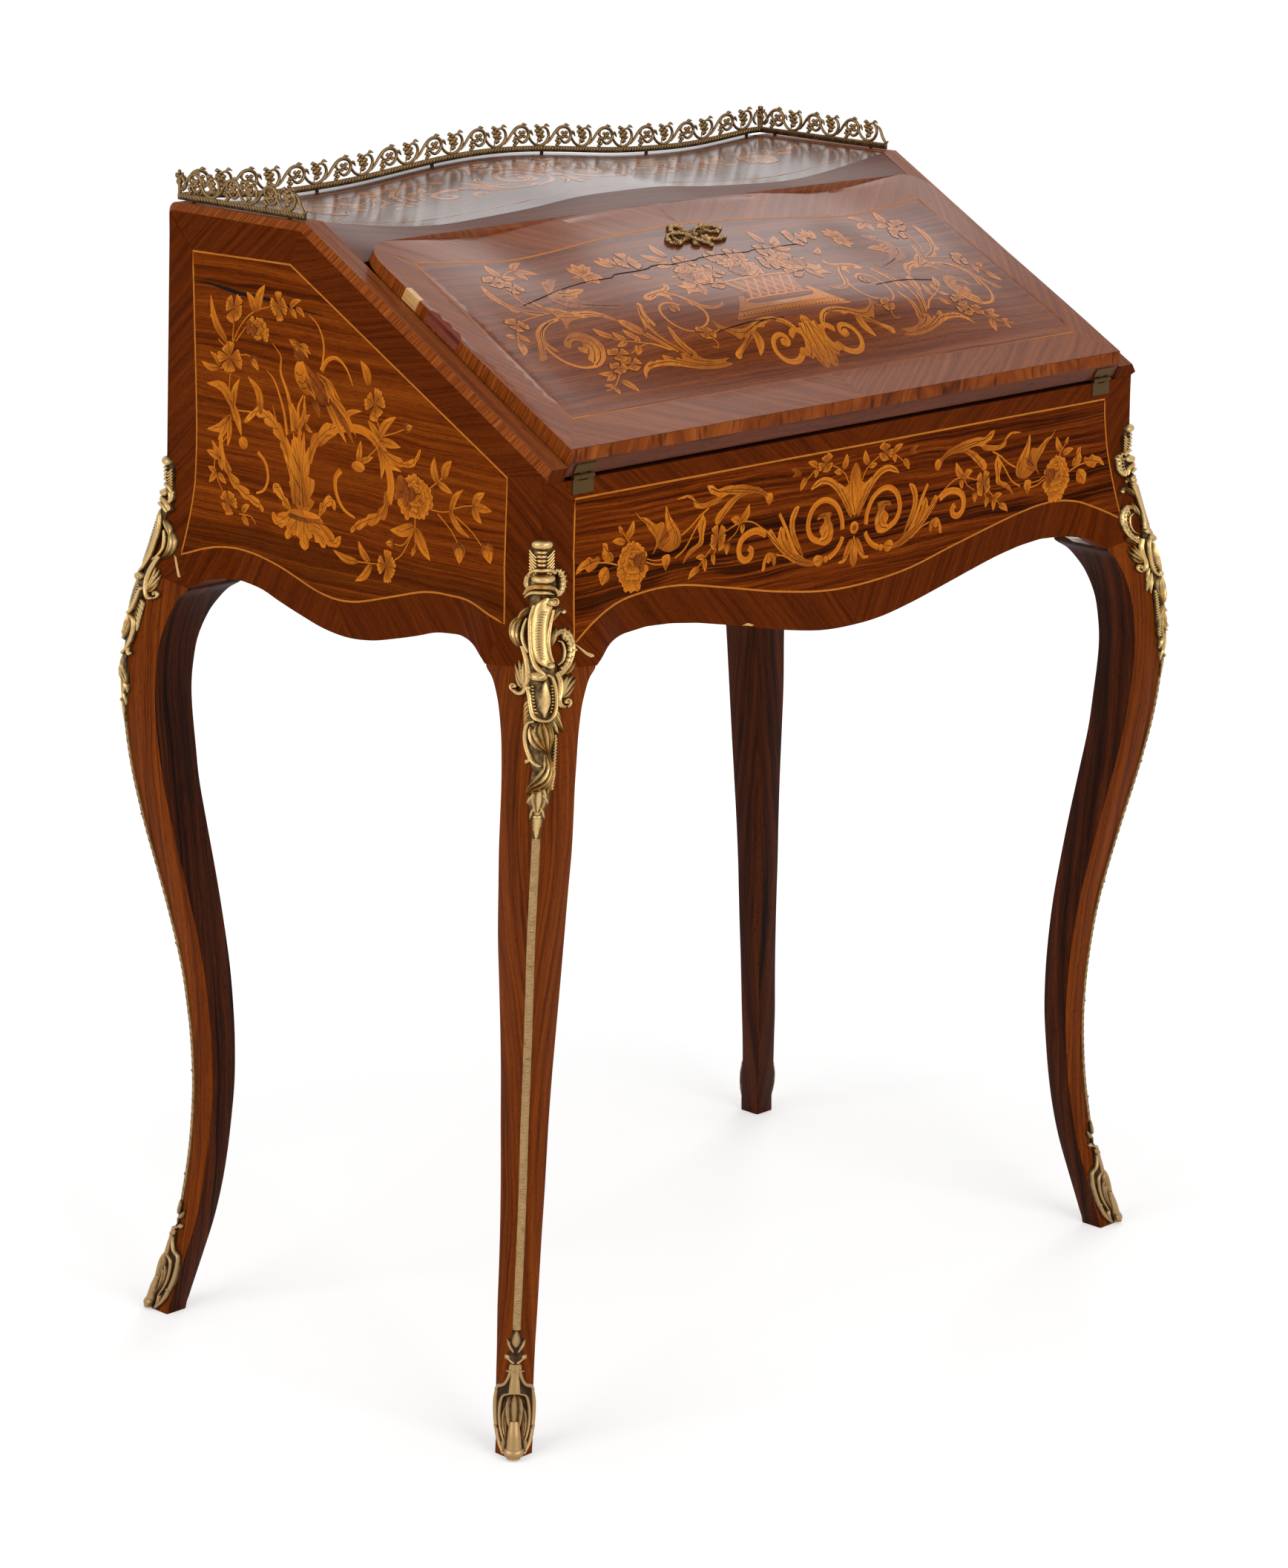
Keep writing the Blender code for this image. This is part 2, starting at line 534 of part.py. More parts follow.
def build_fall():
    hw = FALL_HALF_W
    xs = wave_columns(hw, [s * (hw - FALL_CORNER * u) for s in (-1, 1) for u in (0.024, 0.1, 0.24, 0.44, 0.68, 1.0)])
    first = FALL_T0 + 0.0046
    ts = [first] + [FALL_T1 * v for v in (0.075, 0.127, 0.172, 0.216, 0.269, 0.328, 0.403, 0.504, 0.616, 0.728, 0.828)]
    rings = []
    for x in xs:
        end = fall_top(x)
        body = end - LIP_LAP
        ring = [on_slope(x, FALL_T0, -FALL_IN), on_slope(x, FALL_T0, FALL_PROUD - 0.0085)]
        ring += [on_slope(x, t, fall_n(x, t)) for t in ts]
        for u in (0.5, 1.0):
            t = ts[-1] + (end - ts[-1]) * u
            ring.append(on_slope(x, t, fall_n(x, t)))
        under = lip_under(x)
        ring += [on_slope(x, end, under), on_slope(x, body, under), on_slope(x, body, -FALL_IN)]
        rings.append(ring)
    fall = loft("fall_front", rings, ROSEWOOD)
    lx = hw - LEATHER_MARGIN
    lt0 = FALL_T0 + 0.034
    lt1 = FALL_BODY - LOCK_H - 0.015
    inner = -FALL_IN
    lock_lo = FALL_BODY - LOCK_H
    combine(fall, [slope_box_data(-lx - GAP, lx + GAP, lt0 - GAP, lt1 + GAP, inner - 0.002, inner + LEATHER_T + 2 * GAP),
                   slope_box_data(-LOCK_W / 2 - GAP, LOCK_W / 2 + GAP, lock_lo - GAP, FALL_BODY + 0.002,
                                  inner - 0.002, LOCK_TOP + GAP)], "DIFFERENCE")
    group("fall_writing_leather", [slope_box_data(-lx, lx, lt0, lt1, inner, inner + LEATHER_T)], LEATHER)
    outline = []
    for k in range(40):
        a = 2 * math.pi * k / 40
        r = 1.0 + 0.10 * math.cos(4 * a) + 0.05 * math.cos(6 * a)
        outline.append((ESC_W / 2 * r * math.cos(a), ESC_H / 2 * r * math.sin(a)))
    rings = [[on_slope(x * k, ESC_T + t * k, fall_n(x * k, ESC_T + t * k) + d) for x, t in outline]
             for k, d in ((1.0, GAP), (1.0, 0.0030), (0.55, 0.0055))]
    loft("escutcheon", rings, BRASS)
    top = FALL_BODY - GAP
    cheek = BOLT_W / 2 + GAP
    web = BOLT_N + BOLT_T / 2 + GAP
    half = LOCK_W / 2
    open_n = inner + 0.0002
    cheeks = [(-half, open_n), (-cheek, open_n), (-cheek, web), (cheek, web), (cheek, open_n), (half, open_n),
              (half, LOCK_TOP), (-half, LOCK_TOP)]
    loft("lock_case", [[on_slope(x, t, n) for x, n in cheeks] for t in (lock_lo, top)], IRON)
    group("lock_bolt", [slope_box_data(-BOLT_W / 2, BOLT_W / 2, lock_lo + 0.008, top, BOLT_N - BOLT_T / 2,
                                       BOLT_N + BOLT_T / 2)], BRASS)
    hole = BOLT_W / 2 + 2 * GAP
    edge = hole + 0.0070
    lo, hi = inner + 0.0010, BOLT_N + 0.0044
    slot = BOLT_N + BOLT_T / 2 + 2 * GAP
    keeper = [(-edge, lo), (-hole, lo), (-hole, slot), (hole, slot), (hole, lo), (edge, lo), (edge, hi), (-edge, hi)]
    loft("lock_keeper", [[on_slope(x, t, n) for x, n in keeper] for t in (FALL_BODY + GAP, FALL_BODY + 0.0013)], IRON)


def ring_loop(cy, cz, r, sides=14):
    return [(cy + r * math.cos(2 * math.pi * k / sides), cz + r * math.sin(2 * math.pi * k / sides))
            for k in range(sides)]


def build_hinges():
    ay = FRONT_Y - HINGE_OUT
    outer = ring_loop(ay, HINGE_Z, HINGE_R)
    bore = ring_loop(ay, HINGE_Z, HINGE_R - 0.0008)
    half = HINGE_W / 2
    third = HINGE_W / 6 + 0.0002
    y0 = FRONT_Y - GAP - HINGE_LEAF_T
    y1 = FRONT_Y - GAP
    foot = HINGE_Z - HINGE_R - HINGE_LEAF_H
    neck = HINGE_Z - HINGE_R * 0.75
    t1 = FALL_T0 - GAP
    t0 = t1 - HINGE_LEAF_T
    thin = 0.2 * HINGE_LEAF_T
    for tag, s in (("left", -1), ("right", 1)):
        cx = s * (INNER_X - HINGE_IN)
        case = group("hinge_case_leaf_" + tag, [annulus_data(outer, bore, "x", cx - half, cx - third - GAP)], BRASS)
        combine(case, [annulus_data(outer, bore, "x", cx + third + GAP, cx + half),
                       box_data(cx - half + thin, cx - third - GAP - thin, y0 + thin, y1 - thin, foot + thin, neck),
                       box_data(cx + third + GAP + thin, cx + half - thin, y0 + thin, y1 - thin, foot + thin, neck),
                       box_data(cx - half, cx + half, y0, y1, foot, HINGE_Z - HINGE_R - 0.0012)], "UNION")
        fall = group("hinge_fall_leaf_" + tag, [annulus_data(outer, bore, "x", cx - third, cx + third)], BRASS)
        combine(fall, [slope_box_data(cx - third + thin, cx + third - thin, t0 + thin, t1 - thin,
                                      HINGE_N + HINGE_R * 0.7, HINGE_N + HINGE_LEAF_H - thin),
                       slope_box_data(cx - half, cx + half, t0, t1, HINGE_N + HINGE_R + 0.0013,
                                      HINGE_N + HINGE_LEAF_H)], "UNION")
        group("hinge_pin_" + tag, [cylinder_data("x", (ay, HINGE_Z), HINGE_R - 0.0011, cx - half, cx + half, 12)], IRON)


def gallery_strip(path, heights, feet, taper=()):
    """Pierced strip along a path of (x, y) points; heights give the foot of the strip at each point.

    Columns repeat every four steps: a post, then an opening under an arch.
    """
    levels = (GAP - PEG_H, 0.0, GALLERY_H * 0.15, GALLERY_H * 0.475, GALLERY_H * 0.75, GALLERY_H)
    n = len(path)
    quads = []
    for i in range(n - 1):
        opening = i % 4 in (1, 2)
        for r in range(5):
            if r == 0 and i not in feet:
                continue
            if r in (2, 3) and opening:
                continue
            quads.append((i, r))
    half = GALLERY_T / 2
    verts, index = [], {}

    def vert(i, r, side):
        key = (i, r, side)
        if key not in index:
            a = path[max(i - 1, 0)]
            b = path[min(i + 1, n - 1)]
            ux, uy = unit2(b[0] - a[0], b[1] - a[1])
            off = half * side
            top = levels[r]
            if r == 5:
                top -= 0.0022 if i % 4 in (0,) else 0.0
                if i in taper:
                    top -= 0.006
            index[key] = len(verts)
            verts.append((path[i][0] - uy * off, FRONT_Y + path[i][1] + ux * off, heights[i] + top))
        return index[key]

    faces = []
    solid = set(quads)
    for i, r in quads:
        faces.append((vert(i, r, 1), vert(i + 1, r, 1), vert(i + 1, r + 1, 1), vert(i, r + 1, 1)))
        faces.append((vert(i, r, -1), vert(i, r + 1, -1), vert(i + 1, r + 1, -1), vert(i + 1, r, -1)))
        for (di, dr, a, b) in ((-1, 0, (i, r), (i, r + 1)), (1, 0, (i + 1, r), (i + 1, r + 1)),
                               (0, -1, (i, r), (i + 1, r)), (0, 1, (i, r + 1), (i + 1, r + 1))):
            if (i + di, r + dr) not in solid:
                faces.append((vert(*a, 1), vert(*b, 1), vert(*b, -1), vert(*a, -1)))
    return verts, faces


def build_gallery():
    steps = 52
    span = GALLERY_X - GALLERY_T / 2 - GAP
    path = [(-span + 2 * span * k / steps, GALLERY_Y) for k in range(steps + 1)]
    heights = [top_z(x, y) + PEG_H for x, y in path]
    group("gallery_back", [gallery_strip(path, heights, range(5, steps - 2, 8))], BRASS)
    for tag, s in (("left", -1), ("right", 1)):
        count = 12
        y1 = GALLERY_Y + GALLERY_T / 2
        line = [(s * GALLERY_X, GALLERY_FRONT_Y + (y1 - GALLERY_FRONT_Y) * k / count) for k in range(count + 1)]
        group("gallery_" + tag, [gallery_strip(line, [TOP_Z + PEG_H] * (count + 1), (0, 7, 11), taper=(0,))], BRASS)


def build_interior():
    half = INNER_X - GAP
    y0 = FRONT_Y + APRON_T + GAP
    y1 = -FRONT_Y - BACK_T - GAP
    low = BED_Z - BED_T
    outer = [(-half, y0), (half, y0), (half, y1), (-half, y1)]
    well = WELL_W / 2
    ya = FRONT_Y + WELL_Y
    yb = ya + LID_L + LID_TRAVEL + 0.006
    slot = [(-well, ya), (well, ya), (well, yb), (-well, yb)]
    group("writing_bed", [annulus_data(outer, slot, "z", low, BED_Z)], CARCASE)
    box("well_lid", GAP - well, well - GAP, ya + GAP, ya + LID_L, low, BED_Z, ROSEWOOD)
    for tag, s in (("left", -1), ("right", 1)):
        box("lid_runner_" + tag, s * (well - RUNNER_IN), s * (well + RUNNER_OUT), ya - RUNNER_LONG,
            yb + RUNNER_LONG, low - GAP - RUNNER_H, low - GAP, CARCASE)
    front = FRONT_Y + DRAWER_Y
    box("drawer_deck", -half, half, front, y1, BED_Z + 2 * GAP, BED_Z + 2 * GAP + DECK_T, ROSEWOOD)
    div = DIVIDER_T
    bay = (2 * half - 2 * div) / 3
    shelf = DRAWER_Z1 + 2 * GAP
    box("pigeonhole_shelf", -half, half, front, y1, shelf, shelf + SHELF_T, ROSEWOOD)
    back = ((RAIL_UNDER_Z - HINGE_Z) / math.tan(THETA) - DRAWER_Y) + 0.015
    for k, tag in ((1, "left"), (2, "right")):
        x = -half + k * bay + (k - 1) * div
        box("drawer_divider_" + tag, x, x + div, front, y1, DRAWER_Z0, DRAWER_Z1 + GAP, ROSEWOOD)
        box("pigeonhole_divider_" + tag, x, x + div, front + back, y1, shelf + SHELF_T + GAP, RAIL_UNDER_Z - GAP,
            ROSEWOOD)
    for k, tag in enumerate(("left", "middle", "right")):
        x0 = -half + k * (bay + div) + 0.0005
        x1 = x0 + bay - 0.0010
        box("drawer_front_" + tag, x0, x1, front, front + 0.008, DRAWER_Z0, DRAWER_Z1, ROSEWOOD)
        ya, yb = front + 0.008 + GAP, y1 - DRAWER_BACK
        z0, z1 = DRAWER_Z0, DRAWER_Z1 - 0.003
        wall = TRAY_WALL
        tray = box("drawer_tray_" + tag, x0 + 0.0005, x1 - 0.0005, ya, yb, z0, z1, CARCASE)
        combine(tray, [box_data(x0 + wall, x1 - wall, ya + wall, yb - wall, z0 + 0.004, z1 + 0.01)], "DIFFERENCE")
        cx = (x0 + x1) / 2
        cz = (DRAWER_Z0 + DRAWER_Z1) / 2
        loops = []
        for dy, r in ((-GAP, 0.0032), (-0.004, 0.0026), (-0.007, 0.0052), (-0.010, 0.0058), (-0.012, 0.0035)):
            loops.append([(cx + r * math.cos(2 * math.pi * i / 14), front + dy, cz + r * math.sin(2 * math.pi * i / 14))
                          for i in range(14)])
        loft("drawer_knob_" + tag, loops, BRASS)


def hang(axis_name, location, names):
    """Parent moving pieces to an empty on their joint's axis, in place."""
    empty = bpy.data.objects.new(axis_name, None)
    empty.location = location
    bpy.context.scene.collection.objects.link(empty)
    for name in names:
        obj = bpy.data.objects[name]
        obj.parent = empty
        obj.matrix_parent_inverse = Matrix.Translation(Vector(location)).inverted()


def place_axes():
    """Empties on the axes of the moving pieces."""
    hang("fall_axis", (0.0, FRONT_Y - HINGE_OUT, HINGE_Z),
         ("fall_front", "fall_writing_leather", "escutcheon", "lock_case", "hinge_fall_leaf_left",
          "hinge_fall_leaf_right"))
    hang("bolt_axis", on_slope(0.0, FALL_BODY, BOLT_N), ("lock_bolt",))
    hang("lid_axis", (0.0, FRONT_Y + WELL_Y, BED_Z), ("well_lid",))
    for tag, s in (("left", -1), ("middle", 0), ("right", 1)):
        hang("drawer_axis_" + tag, (s * INNER_X * 2 / 3, FRONT_Y + DRAWER_Y, DRAWER_Z0),
             ("drawer_front_" + tag, "drawer_tray_" + tag, "drawer_knob_" + tag))


def main():
    for obj in list(bpy.data.objects):
        bpy.data.objects.remove(obj)
    build_case()
    build_legs()
    build_fall()
    build_hinges()
    build_gallery()
    build_interior()
    place_axes()


main()
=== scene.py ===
"""Slant-front desk: veneers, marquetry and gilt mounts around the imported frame."""
import logging
import math
import random
from collections.abc import Callable, Sequence
from dataclasses import dataclass, field
from enum import Enum

import bpy
from mathutils import Matrix, Vector
from mathutils.geometry import delaunay_2d_cdt


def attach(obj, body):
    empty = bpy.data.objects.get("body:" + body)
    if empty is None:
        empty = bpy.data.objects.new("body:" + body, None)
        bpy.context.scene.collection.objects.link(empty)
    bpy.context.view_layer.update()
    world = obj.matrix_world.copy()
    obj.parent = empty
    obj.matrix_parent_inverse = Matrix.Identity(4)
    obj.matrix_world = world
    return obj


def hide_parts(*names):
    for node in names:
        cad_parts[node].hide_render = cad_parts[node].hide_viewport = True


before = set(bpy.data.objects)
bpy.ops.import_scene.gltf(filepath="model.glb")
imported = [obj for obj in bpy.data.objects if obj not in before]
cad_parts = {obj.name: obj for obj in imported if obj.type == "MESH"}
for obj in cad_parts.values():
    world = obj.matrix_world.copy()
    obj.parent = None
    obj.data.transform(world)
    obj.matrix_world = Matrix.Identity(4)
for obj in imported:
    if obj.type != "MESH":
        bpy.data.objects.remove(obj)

LOG = logging.getLogger("desk")
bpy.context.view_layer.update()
MM = 0.001
Point = tuple[float, float]
Spot = tuple[float, float, float]
Colour = tuple[float, float, float]
Rows = Sequence[tuple[float, ...]]


# ---------------------------------------------------------------- numbers and curves


def ramp(low: float, high: float, x: float) -> float:
    """Smooth step from 0 at low to 1 at high."""
    u = min(max((x - low) / (high - low), 0.0), 1.0)
    return u * u * (3 - 2 * u)


def table(rows: Rows, x: float, column: int = 1) -> float:
    """Cubic interpolation in a small table.

    Args:
        rows: rows that start with their place, in rising order.
        x: place to read.
        column: column to read.

    Returns:
        The value there, held at the table's ends.
    """
    x = min(max(x, rows[0][0]), rows[-1][0])
    i = 0
    while i < len(rows) - 2 and x > rows[i + 1][0]:
        i += 1

    def slope(k: int) -> float:
        """Slope of the table at a row."""
        if k == 0:
            return 0.0
        after = rows[min(k + 1, len(rows) - 1)]
        before = rows[k - 1]
        return (after[column] - before[column]) / (after[0] - before[0])

    h = rows[i + 1][0] - rows[i][0]
    u = (x - rows[i][0]) / h
    near = 2 * u**3 - 3 * u**2 + 1
    lean = (u**3 - 2 * u**2 + u) * h * slope(i) + (u**3 - u**2) * h * slope(i + 1)
    return near * rows[i][column] + (1 - near) * rows[i + 1][column] + lean


def spline(points: Sequence[Point], per: int = 6, closed: bool = False) -> list[Point]:
    """Smooth curve through points.

    Args:
        points: places the curve passes.
        per: steps between two places.
        closed: whether the curve returns to its start.

    Returns:
        The curve's points.
    """
    n = len(points)
    out: list[Point] = []
    for i in range(n if closed else n - 1):
        b, c = points[i], points[(i + 1) % n]
        a = points[i - 1] if closed or i else (2 * b[0] - c[0], 2 * b[1] - c[1])
        d = points[(i + 2) % n] if closed or i < n - 2 else (2 * c[0] - b[0], 2 * c[1] - b[1])
        for k in range(per):
            u = k / per
            wa, wd = -0.5 * u + u * u - 0.5 * u**3, -0.5 * u * u + 0.5 * u**3
            wb, wc = 1 - 2.5 * u * u + 1.5 * u**3, 0.5 * u + 2 * u * u - 1.5 * u**3
            out.append(tuple(wa * a[j] + wb * b[j] + wc * c[j] + wd * d[j] for j in (0, 1)))
    if not closed:
        out.append(tuple(points[-1]))
    return out


def headings(path: Sequence[Point], closed: bool = False) -> list[Point]:
    """Unit directions along a path, one for each point."""
    n = len(path)
    out = []
    for i in range(n):
        a = path[i - 1] if closed or i else path[0]
        b = path[(i + 1) % n] if closed or i < n - 1 else path[-1]
        long = math.hypot(b[0] - a[0], b[1] - a[1]) or 1.0
        out.append(((b[0] - a[0]) / long, (b[1] - a[1]) / long))
    return out


def turned(p: Point, degrees: float, centre: Point = (0.0, 0.0)) -> Point:
    """A point turned about a centre."""
    c, s = math.cos(math.radians(degrees)), math.sin(math.radians(degrees))
    x, y = p[0] - centre[0], p[1] - centre[1]
    return (centre[0] + c * x - s * y, centre[1] + s * x + c * y)


def holds(outline: Sequence[Point], p: Point) -> bool:
    """Whether a closed outline goes round a point."""
    inside = False
    x, y = p
    for (xa, ya), (xb, yb) in zip(outline, [*outline[1:], outline[0]]):
        if (ya > y) != (yb > y) and x < xa + (y - ya) * (xb - xa) / (yb - ya):
            inside = not inside
    return inside


def area(outline: Sequence[Point]) -> float:
    """Signed area of a closed outline."""
    pairs = zip(outline, [*outline[1:], outline[0]])
    return sum(a[0] * b[1] - b[0] * a[1] for a, b in pairs) / 2


def rounded(centre: Point, radius: Point, count: int) -> list[Point]:
    """Points of a circle or an ellipse."""
    turns = [2 * k * math.pi / count for k in range(count)]
    return [(centre[0] + radius[0] * math.cos(a), centre[1] + radius[1] * math.sin(a)) for a in turns]


def mirrored(half: Sequence[Point], closing: bool = True) -> list[Point]:
    """Outline of a half and its mirror image; the half's ends on the middle line may be left single."""
    back = half[::-1] if closing else half[-2:0:-1]
    return [*half, *((-x, y) for x, y in back)]


def nearest(path: Sequence[Point], x: float) -> int:
    """Number of the path's point that lies nearest to a first coordinate."""
    return min(range(len(path)), key=lambda k: abs(path[k][0] - x))


def walls(rings: int, count: int) -> list[tuple[int, ...]]:
    """Faces between closed rings of as many points each, one after the other, without the ends."""
    return [(r * count + i, r * count + (i + 1) % count, (r + 1) * count + (i + 1) % count,
             (r + 1) * count + i) for r in range(rings - 1) for i in range(count)]


def ends(rings: int, count: int) -> list[tuple[int, ...]]:
    """End faces of a body of closed rings."""
    last = (rings - 1) * count
    return [tuple(range(count))[::-1], tuple(last + i for i in range(count))]


def hand(sign: int) -> str:
    """Name of a side of the desk."""
    return "left" if sign < 0 else "right"


def srgb(red: int, green: int, blue: int) -> Colour:
    """Colour of a paint chart as linear light."""
    def linear(v: int) -> float:
        """One channel as linear light."""
        s = v / 255
        return s / 12.92 if s <= 0.04045 else ((s + 0.055) / 1.055) ** 2.4
    return (linear(red), linear(green), linear(blue))


# ---------------------------------------------------------------- the desk's own sizes


@dataclass(frozen=True)
class Desk:
    """Sizes of the case that the pieces share, in metres, as the solids have them."""

    half_w: float = 0.350
    half_d: float = 0.214
    side_t: float = 0.022
    top_z: float = 0.933
    nose_z: float = 0.780
    nose_out: float = 0.0047
    post: float = 0.0425
    post_z: float = 0.700
    knee_top_z: float = 0.6275
    flare: float = 0.092
    theta: float = math.radians(29.5)
    apron_top: float = 0.7685
    fall_half: float = 0.3265
    fall_low: float = 0.0009
    fall_in: float = 0.0105
    fall_proud: float = 0.012
    fall_corner: float = 0.025
    lip: float = 0.009
    lap: float = 0.0105
    edge_z: float = 0.628
    gallery_x: float = 0.340
    gallery_y: float = 0.4225
    top_front: Rows = ((0.0, -0.0050), (0.15, -0.0057), (0.30, -0.0098), (0.46, -0.0126), (0.61, -0.0142),
                       (0.73, -0.0122), (0.885, -0.0062), (1.0, -0.0006))
    top_back: Rows = ((0.0, 0.0075), (0.14, 0.0060), (0.26, 0.0028), (0.46, -0.0034), (0.61, -0.0058),
                      (0.72, -0.0062), (0.81, -0.0052), (1.0, -0.0002))
    leg: Rows = ((0.000, 0.0262, 0.0048, -0.0050), (0.012, 0.0236, 0.0028, -0.0024),
                 (0.030, 0.0195, -0.0015, 0.0015), (0.050, 0.0155, -0.0055, 0.0060),
                 (0.080, 0.0090, -0.0110, 0.0130), (0.110, 0.0045, -0.0143, 0.0185),
                 (0.140, 0.0006, -0.0166, 0.0228), (0.170, -0.0020, -0.0178, 0.0260),
                 (0.200, -0.0035, -0.0180, 0.0285), (0.230, -0.0034, -0.0170, 0.0294),
                 (0.260, -0.0021, -0.0150, 0.0292), (0.300, 0.0008, -0.0105, 0.0280),
                 (0.340, 0.0060, -0.0038, 0.0252), (0.380, 0.0124, 0.0038, 0.0216),
                 (0.420, 0.0192, 0.0117, 0.0174), (0.460, 0.0245, 0.0190, 0.0138),
                 (0.490, 0.0270, 0.0232, 0.0127), (0.520, 0.0282, 0.0258, 0.0117),
                 (0.540, 0.0281, 0.0265, 0.0118), (0.560, 0.0271, 0.0263, 0.0135),
                 (0.580, 0.0253, 0.0249, 0.0165), (0.600, 0.0221, 0.0219, 0.0228),
                 (0.612, 0.0197, 0.0197, 0.0290), (0.620, 0.0181, 0.0181, 0.0345),
                 (0.6275, 0.0165, 0.0165, 0.0425), (0.655, 0.0100, 0.0100, 0.0425),
                 (0.680, 0.0045, 0.0045, 0.0425), (0.700, 0.0012, 0.0012, 0.0425))
    apron_edge: Rows = ((0.0, -0.0205), (0.114, -0.0190), (0.238, -0.0130), (0.358, -0.0052), (0.479, 0.0030),
                        (0.586, 0.0098), (0.684, 0.0142), (0.771, 0.0160), (0.867, 0.0140), (0.934, 0.0105),
                        (0.980, 0.0035), (1.0, 0.0))
    side_edge: Rows = ((0.0, -0.0124), (0.164, -0.0099), (0.316, -0.0039), (0.468, 0.0031), (0.585, 0.0091),
                       (0.714, 0.0118), (0.762, 0.0120), (0.882, 0.0098), (0.964, 0.0040), (1.0, 0.0003))

    @property
    def slope_long(self) -> float:
        """Length of the slope from the nose to the top."""
        return (self.top_z - self.nose_z) / math.sin(self.theta)

    @property
    def slope_top_y(self) -> float:
        """Top's front edge, behind the apron face."""
        return self.slope_long * math.cos(self.theta) - self.nose_out

    @property
    def fall_high(self) -> float:
        """Upper edge of the fall, up the slope."""
        return self.slope_long - 0.0427

    def on_slope(self, x: float, t: float, n: float) -> Spot:
        """Point at x, t up the slope and n off it."""
        c, s = math.cos(self.theta), math.sin(self.theta)
        return (x, -self.half_d - self.nose_out + t * c - n * s, self.nose_z + t * s + n * c)

    def fall_n(self, x: float, t: float) -> float:
        """Height of the fall's outer face above the slope plane."""
        u = abs(x) / self.fall_half
        v = t / self.fall_high
        margin = self.fall_proud - 0.0025 * ramp(0.15, 1.0, v)
        q = 1 - (u / 0.842) ** 2
        swell = 0.017 * q**1.5 if q > 0 else 0.0
        along = ramp(0.123, 0.373, v) * (1 - 0.88 * ramp(0.392, 0.951, v))
        dip = 0.0045 * math.exp(-(((u - 0.612) / 0.184) ** 2)) * ramp(0.485, 0.877, v)
        return margin + swell * along - dip

    def fall_top(self, x: float) -> float:
        """Upper edge of the fall with its rounded corners."""
        r = self.fall_corner
        over = abs(x) - (self.fall_half - r)
        if over <= 0:
            return self.fall_high
        return self.fall_high - (r - math.sqrt(max(r * r - over * over, 0.0)))

    def lip_under(self, x: float) -> float:
        """Underside of the fall's lip, off the slope."""
        return self.fall_n(min(abs(x), self.fall_half - self.fall_corner), self.fall_high) - self.lip

    def top(self, x: float, y: float) -> float:
        """Height of the top board; y is measured behind the apron face."""
        s = min(max((y - self.slope_top_y) / (self.gallery_y - self.slope_top_y), 0.0), 1.05)
        u = abs(x) / (self.half_w - self.side_t - 0.0003)
        return self.top_z + table(self.top_front, u) * (1 - s) + table(self.top_back, u) * s

    def lower_edge(self, rows: Rows, count: int = 44) -> list[Point]:
        """Points of a lower edge from its end to its middle: share of the half length, and height."""
        shares = [1 - (k / count) ** 1.4 for k in range(count + 1)]
        return [(u, table(rows, u)) for u in shares]

    def leg_section(self, z: float) -> tuple[Point, Point, Point, Point]:
        """Outer, front, inner and side corners of a leg, as offsets inward from the case corner."""
        ox, oy = table(self.leg, z), table(self.leg, z, 2)
        low = z < self.knee_top_z - 1e-6
        inner = table(self.leg, z, 3) if low else self.post
        depth = ox - oy + inner if low else self.post
        return (-ox, -oy), (inner, -oy), (inner, depth), (-ox, depth)

    def post_lift(self, d: float, z: float) -> float:
        """How far the face stands off the case d in from a corner: full on the post, less beside it."""
        if d >= self.flare:
            return 0.0
        fade = 1 - ramp(self.post_z, self.post_z + 0.012, z)
        return table(self.leg, min(z, self.post_z)) * fade * (1 - ramp(self.post, self.flare, d))


DESK = Desk()
CORNERS = (("front_left", -1, -1), ("front_right", 1, -1), ("rear_left", -1, 1), ("rear_right", 1, 1))


# ---------------------------------------------------------------- surfaces that carry work


class Surface:
    """Maps flat work in millimetres to the desk; the third number stands off the surface."""

    flip = False
    step = 9.0

    def lift(self, u: float, v: float) -> float:
        """How far the surface swells off its flat ground, in millimetres."""
        return 0.0

    def at(self, u: float, v: float, h: float) -> Spot:
        """Point in metres."""
        raise NotImplementedError


class FrontFace(Surface):
    """Apron face and the fronts of its posts: x and z."""

    def lift(self, u: float, v: float) -> float:
        """How far the posts swell, in millimetres."""
        return DESK.post_lift(DESK.half_w - abs(u) * MM, v * MM) / MM

    def at(self, u: float, v: float, h: float) -> Spot:
        """Point in metres."""
        return (u * MM, -DESK.half_d - (self.lift(u, v) + h) * MM, v * MM)


class SideFace(Surface):
    """Outer face of a side and its posts: distance behind the apron face, and z."""

    def __init__(self, sign: int) -> None:
        """Left side for -1, right side for 1."""
        self.sign = sign
        self.flip = sign < 0

    def lift(self, u: float, v: float) -> float:
        """How far the posts swell, in millimetres."""
        return DESK.post_lift(min(u * MM, 2 * DESK.half_d - u * MM), v * MM) / MM

    def at(self, u: float, v: float, h: float) -> Spot:
        """Point in metres."""
        return (self.sign * (DESK.half_w + (self.lift(u, v) + h) * MM), u * MM - DESK.half_d, v * MM)


class FallFace(Surface):
    """Outer face of the fall: x and distance up the slope."""

    step = 6.0

    def at(self, u: float, v: float, h: float) -> Spot:
        """Point in metres."""
        return DESK.on_slope(u * MM, v * MM, DESK.fall_n(u * MM, v * MM) + h * MM)


class WritingSide(Surface):
    """Inner face of the fall: x and distance up the slope."""

    flip = True

    def at(self, u: float, v: float, h: float) -> Spot:
        """Point in metres."""
        return DESK.on_slope(u * MM, v * MM, -DESK.fall_in - h * MM)


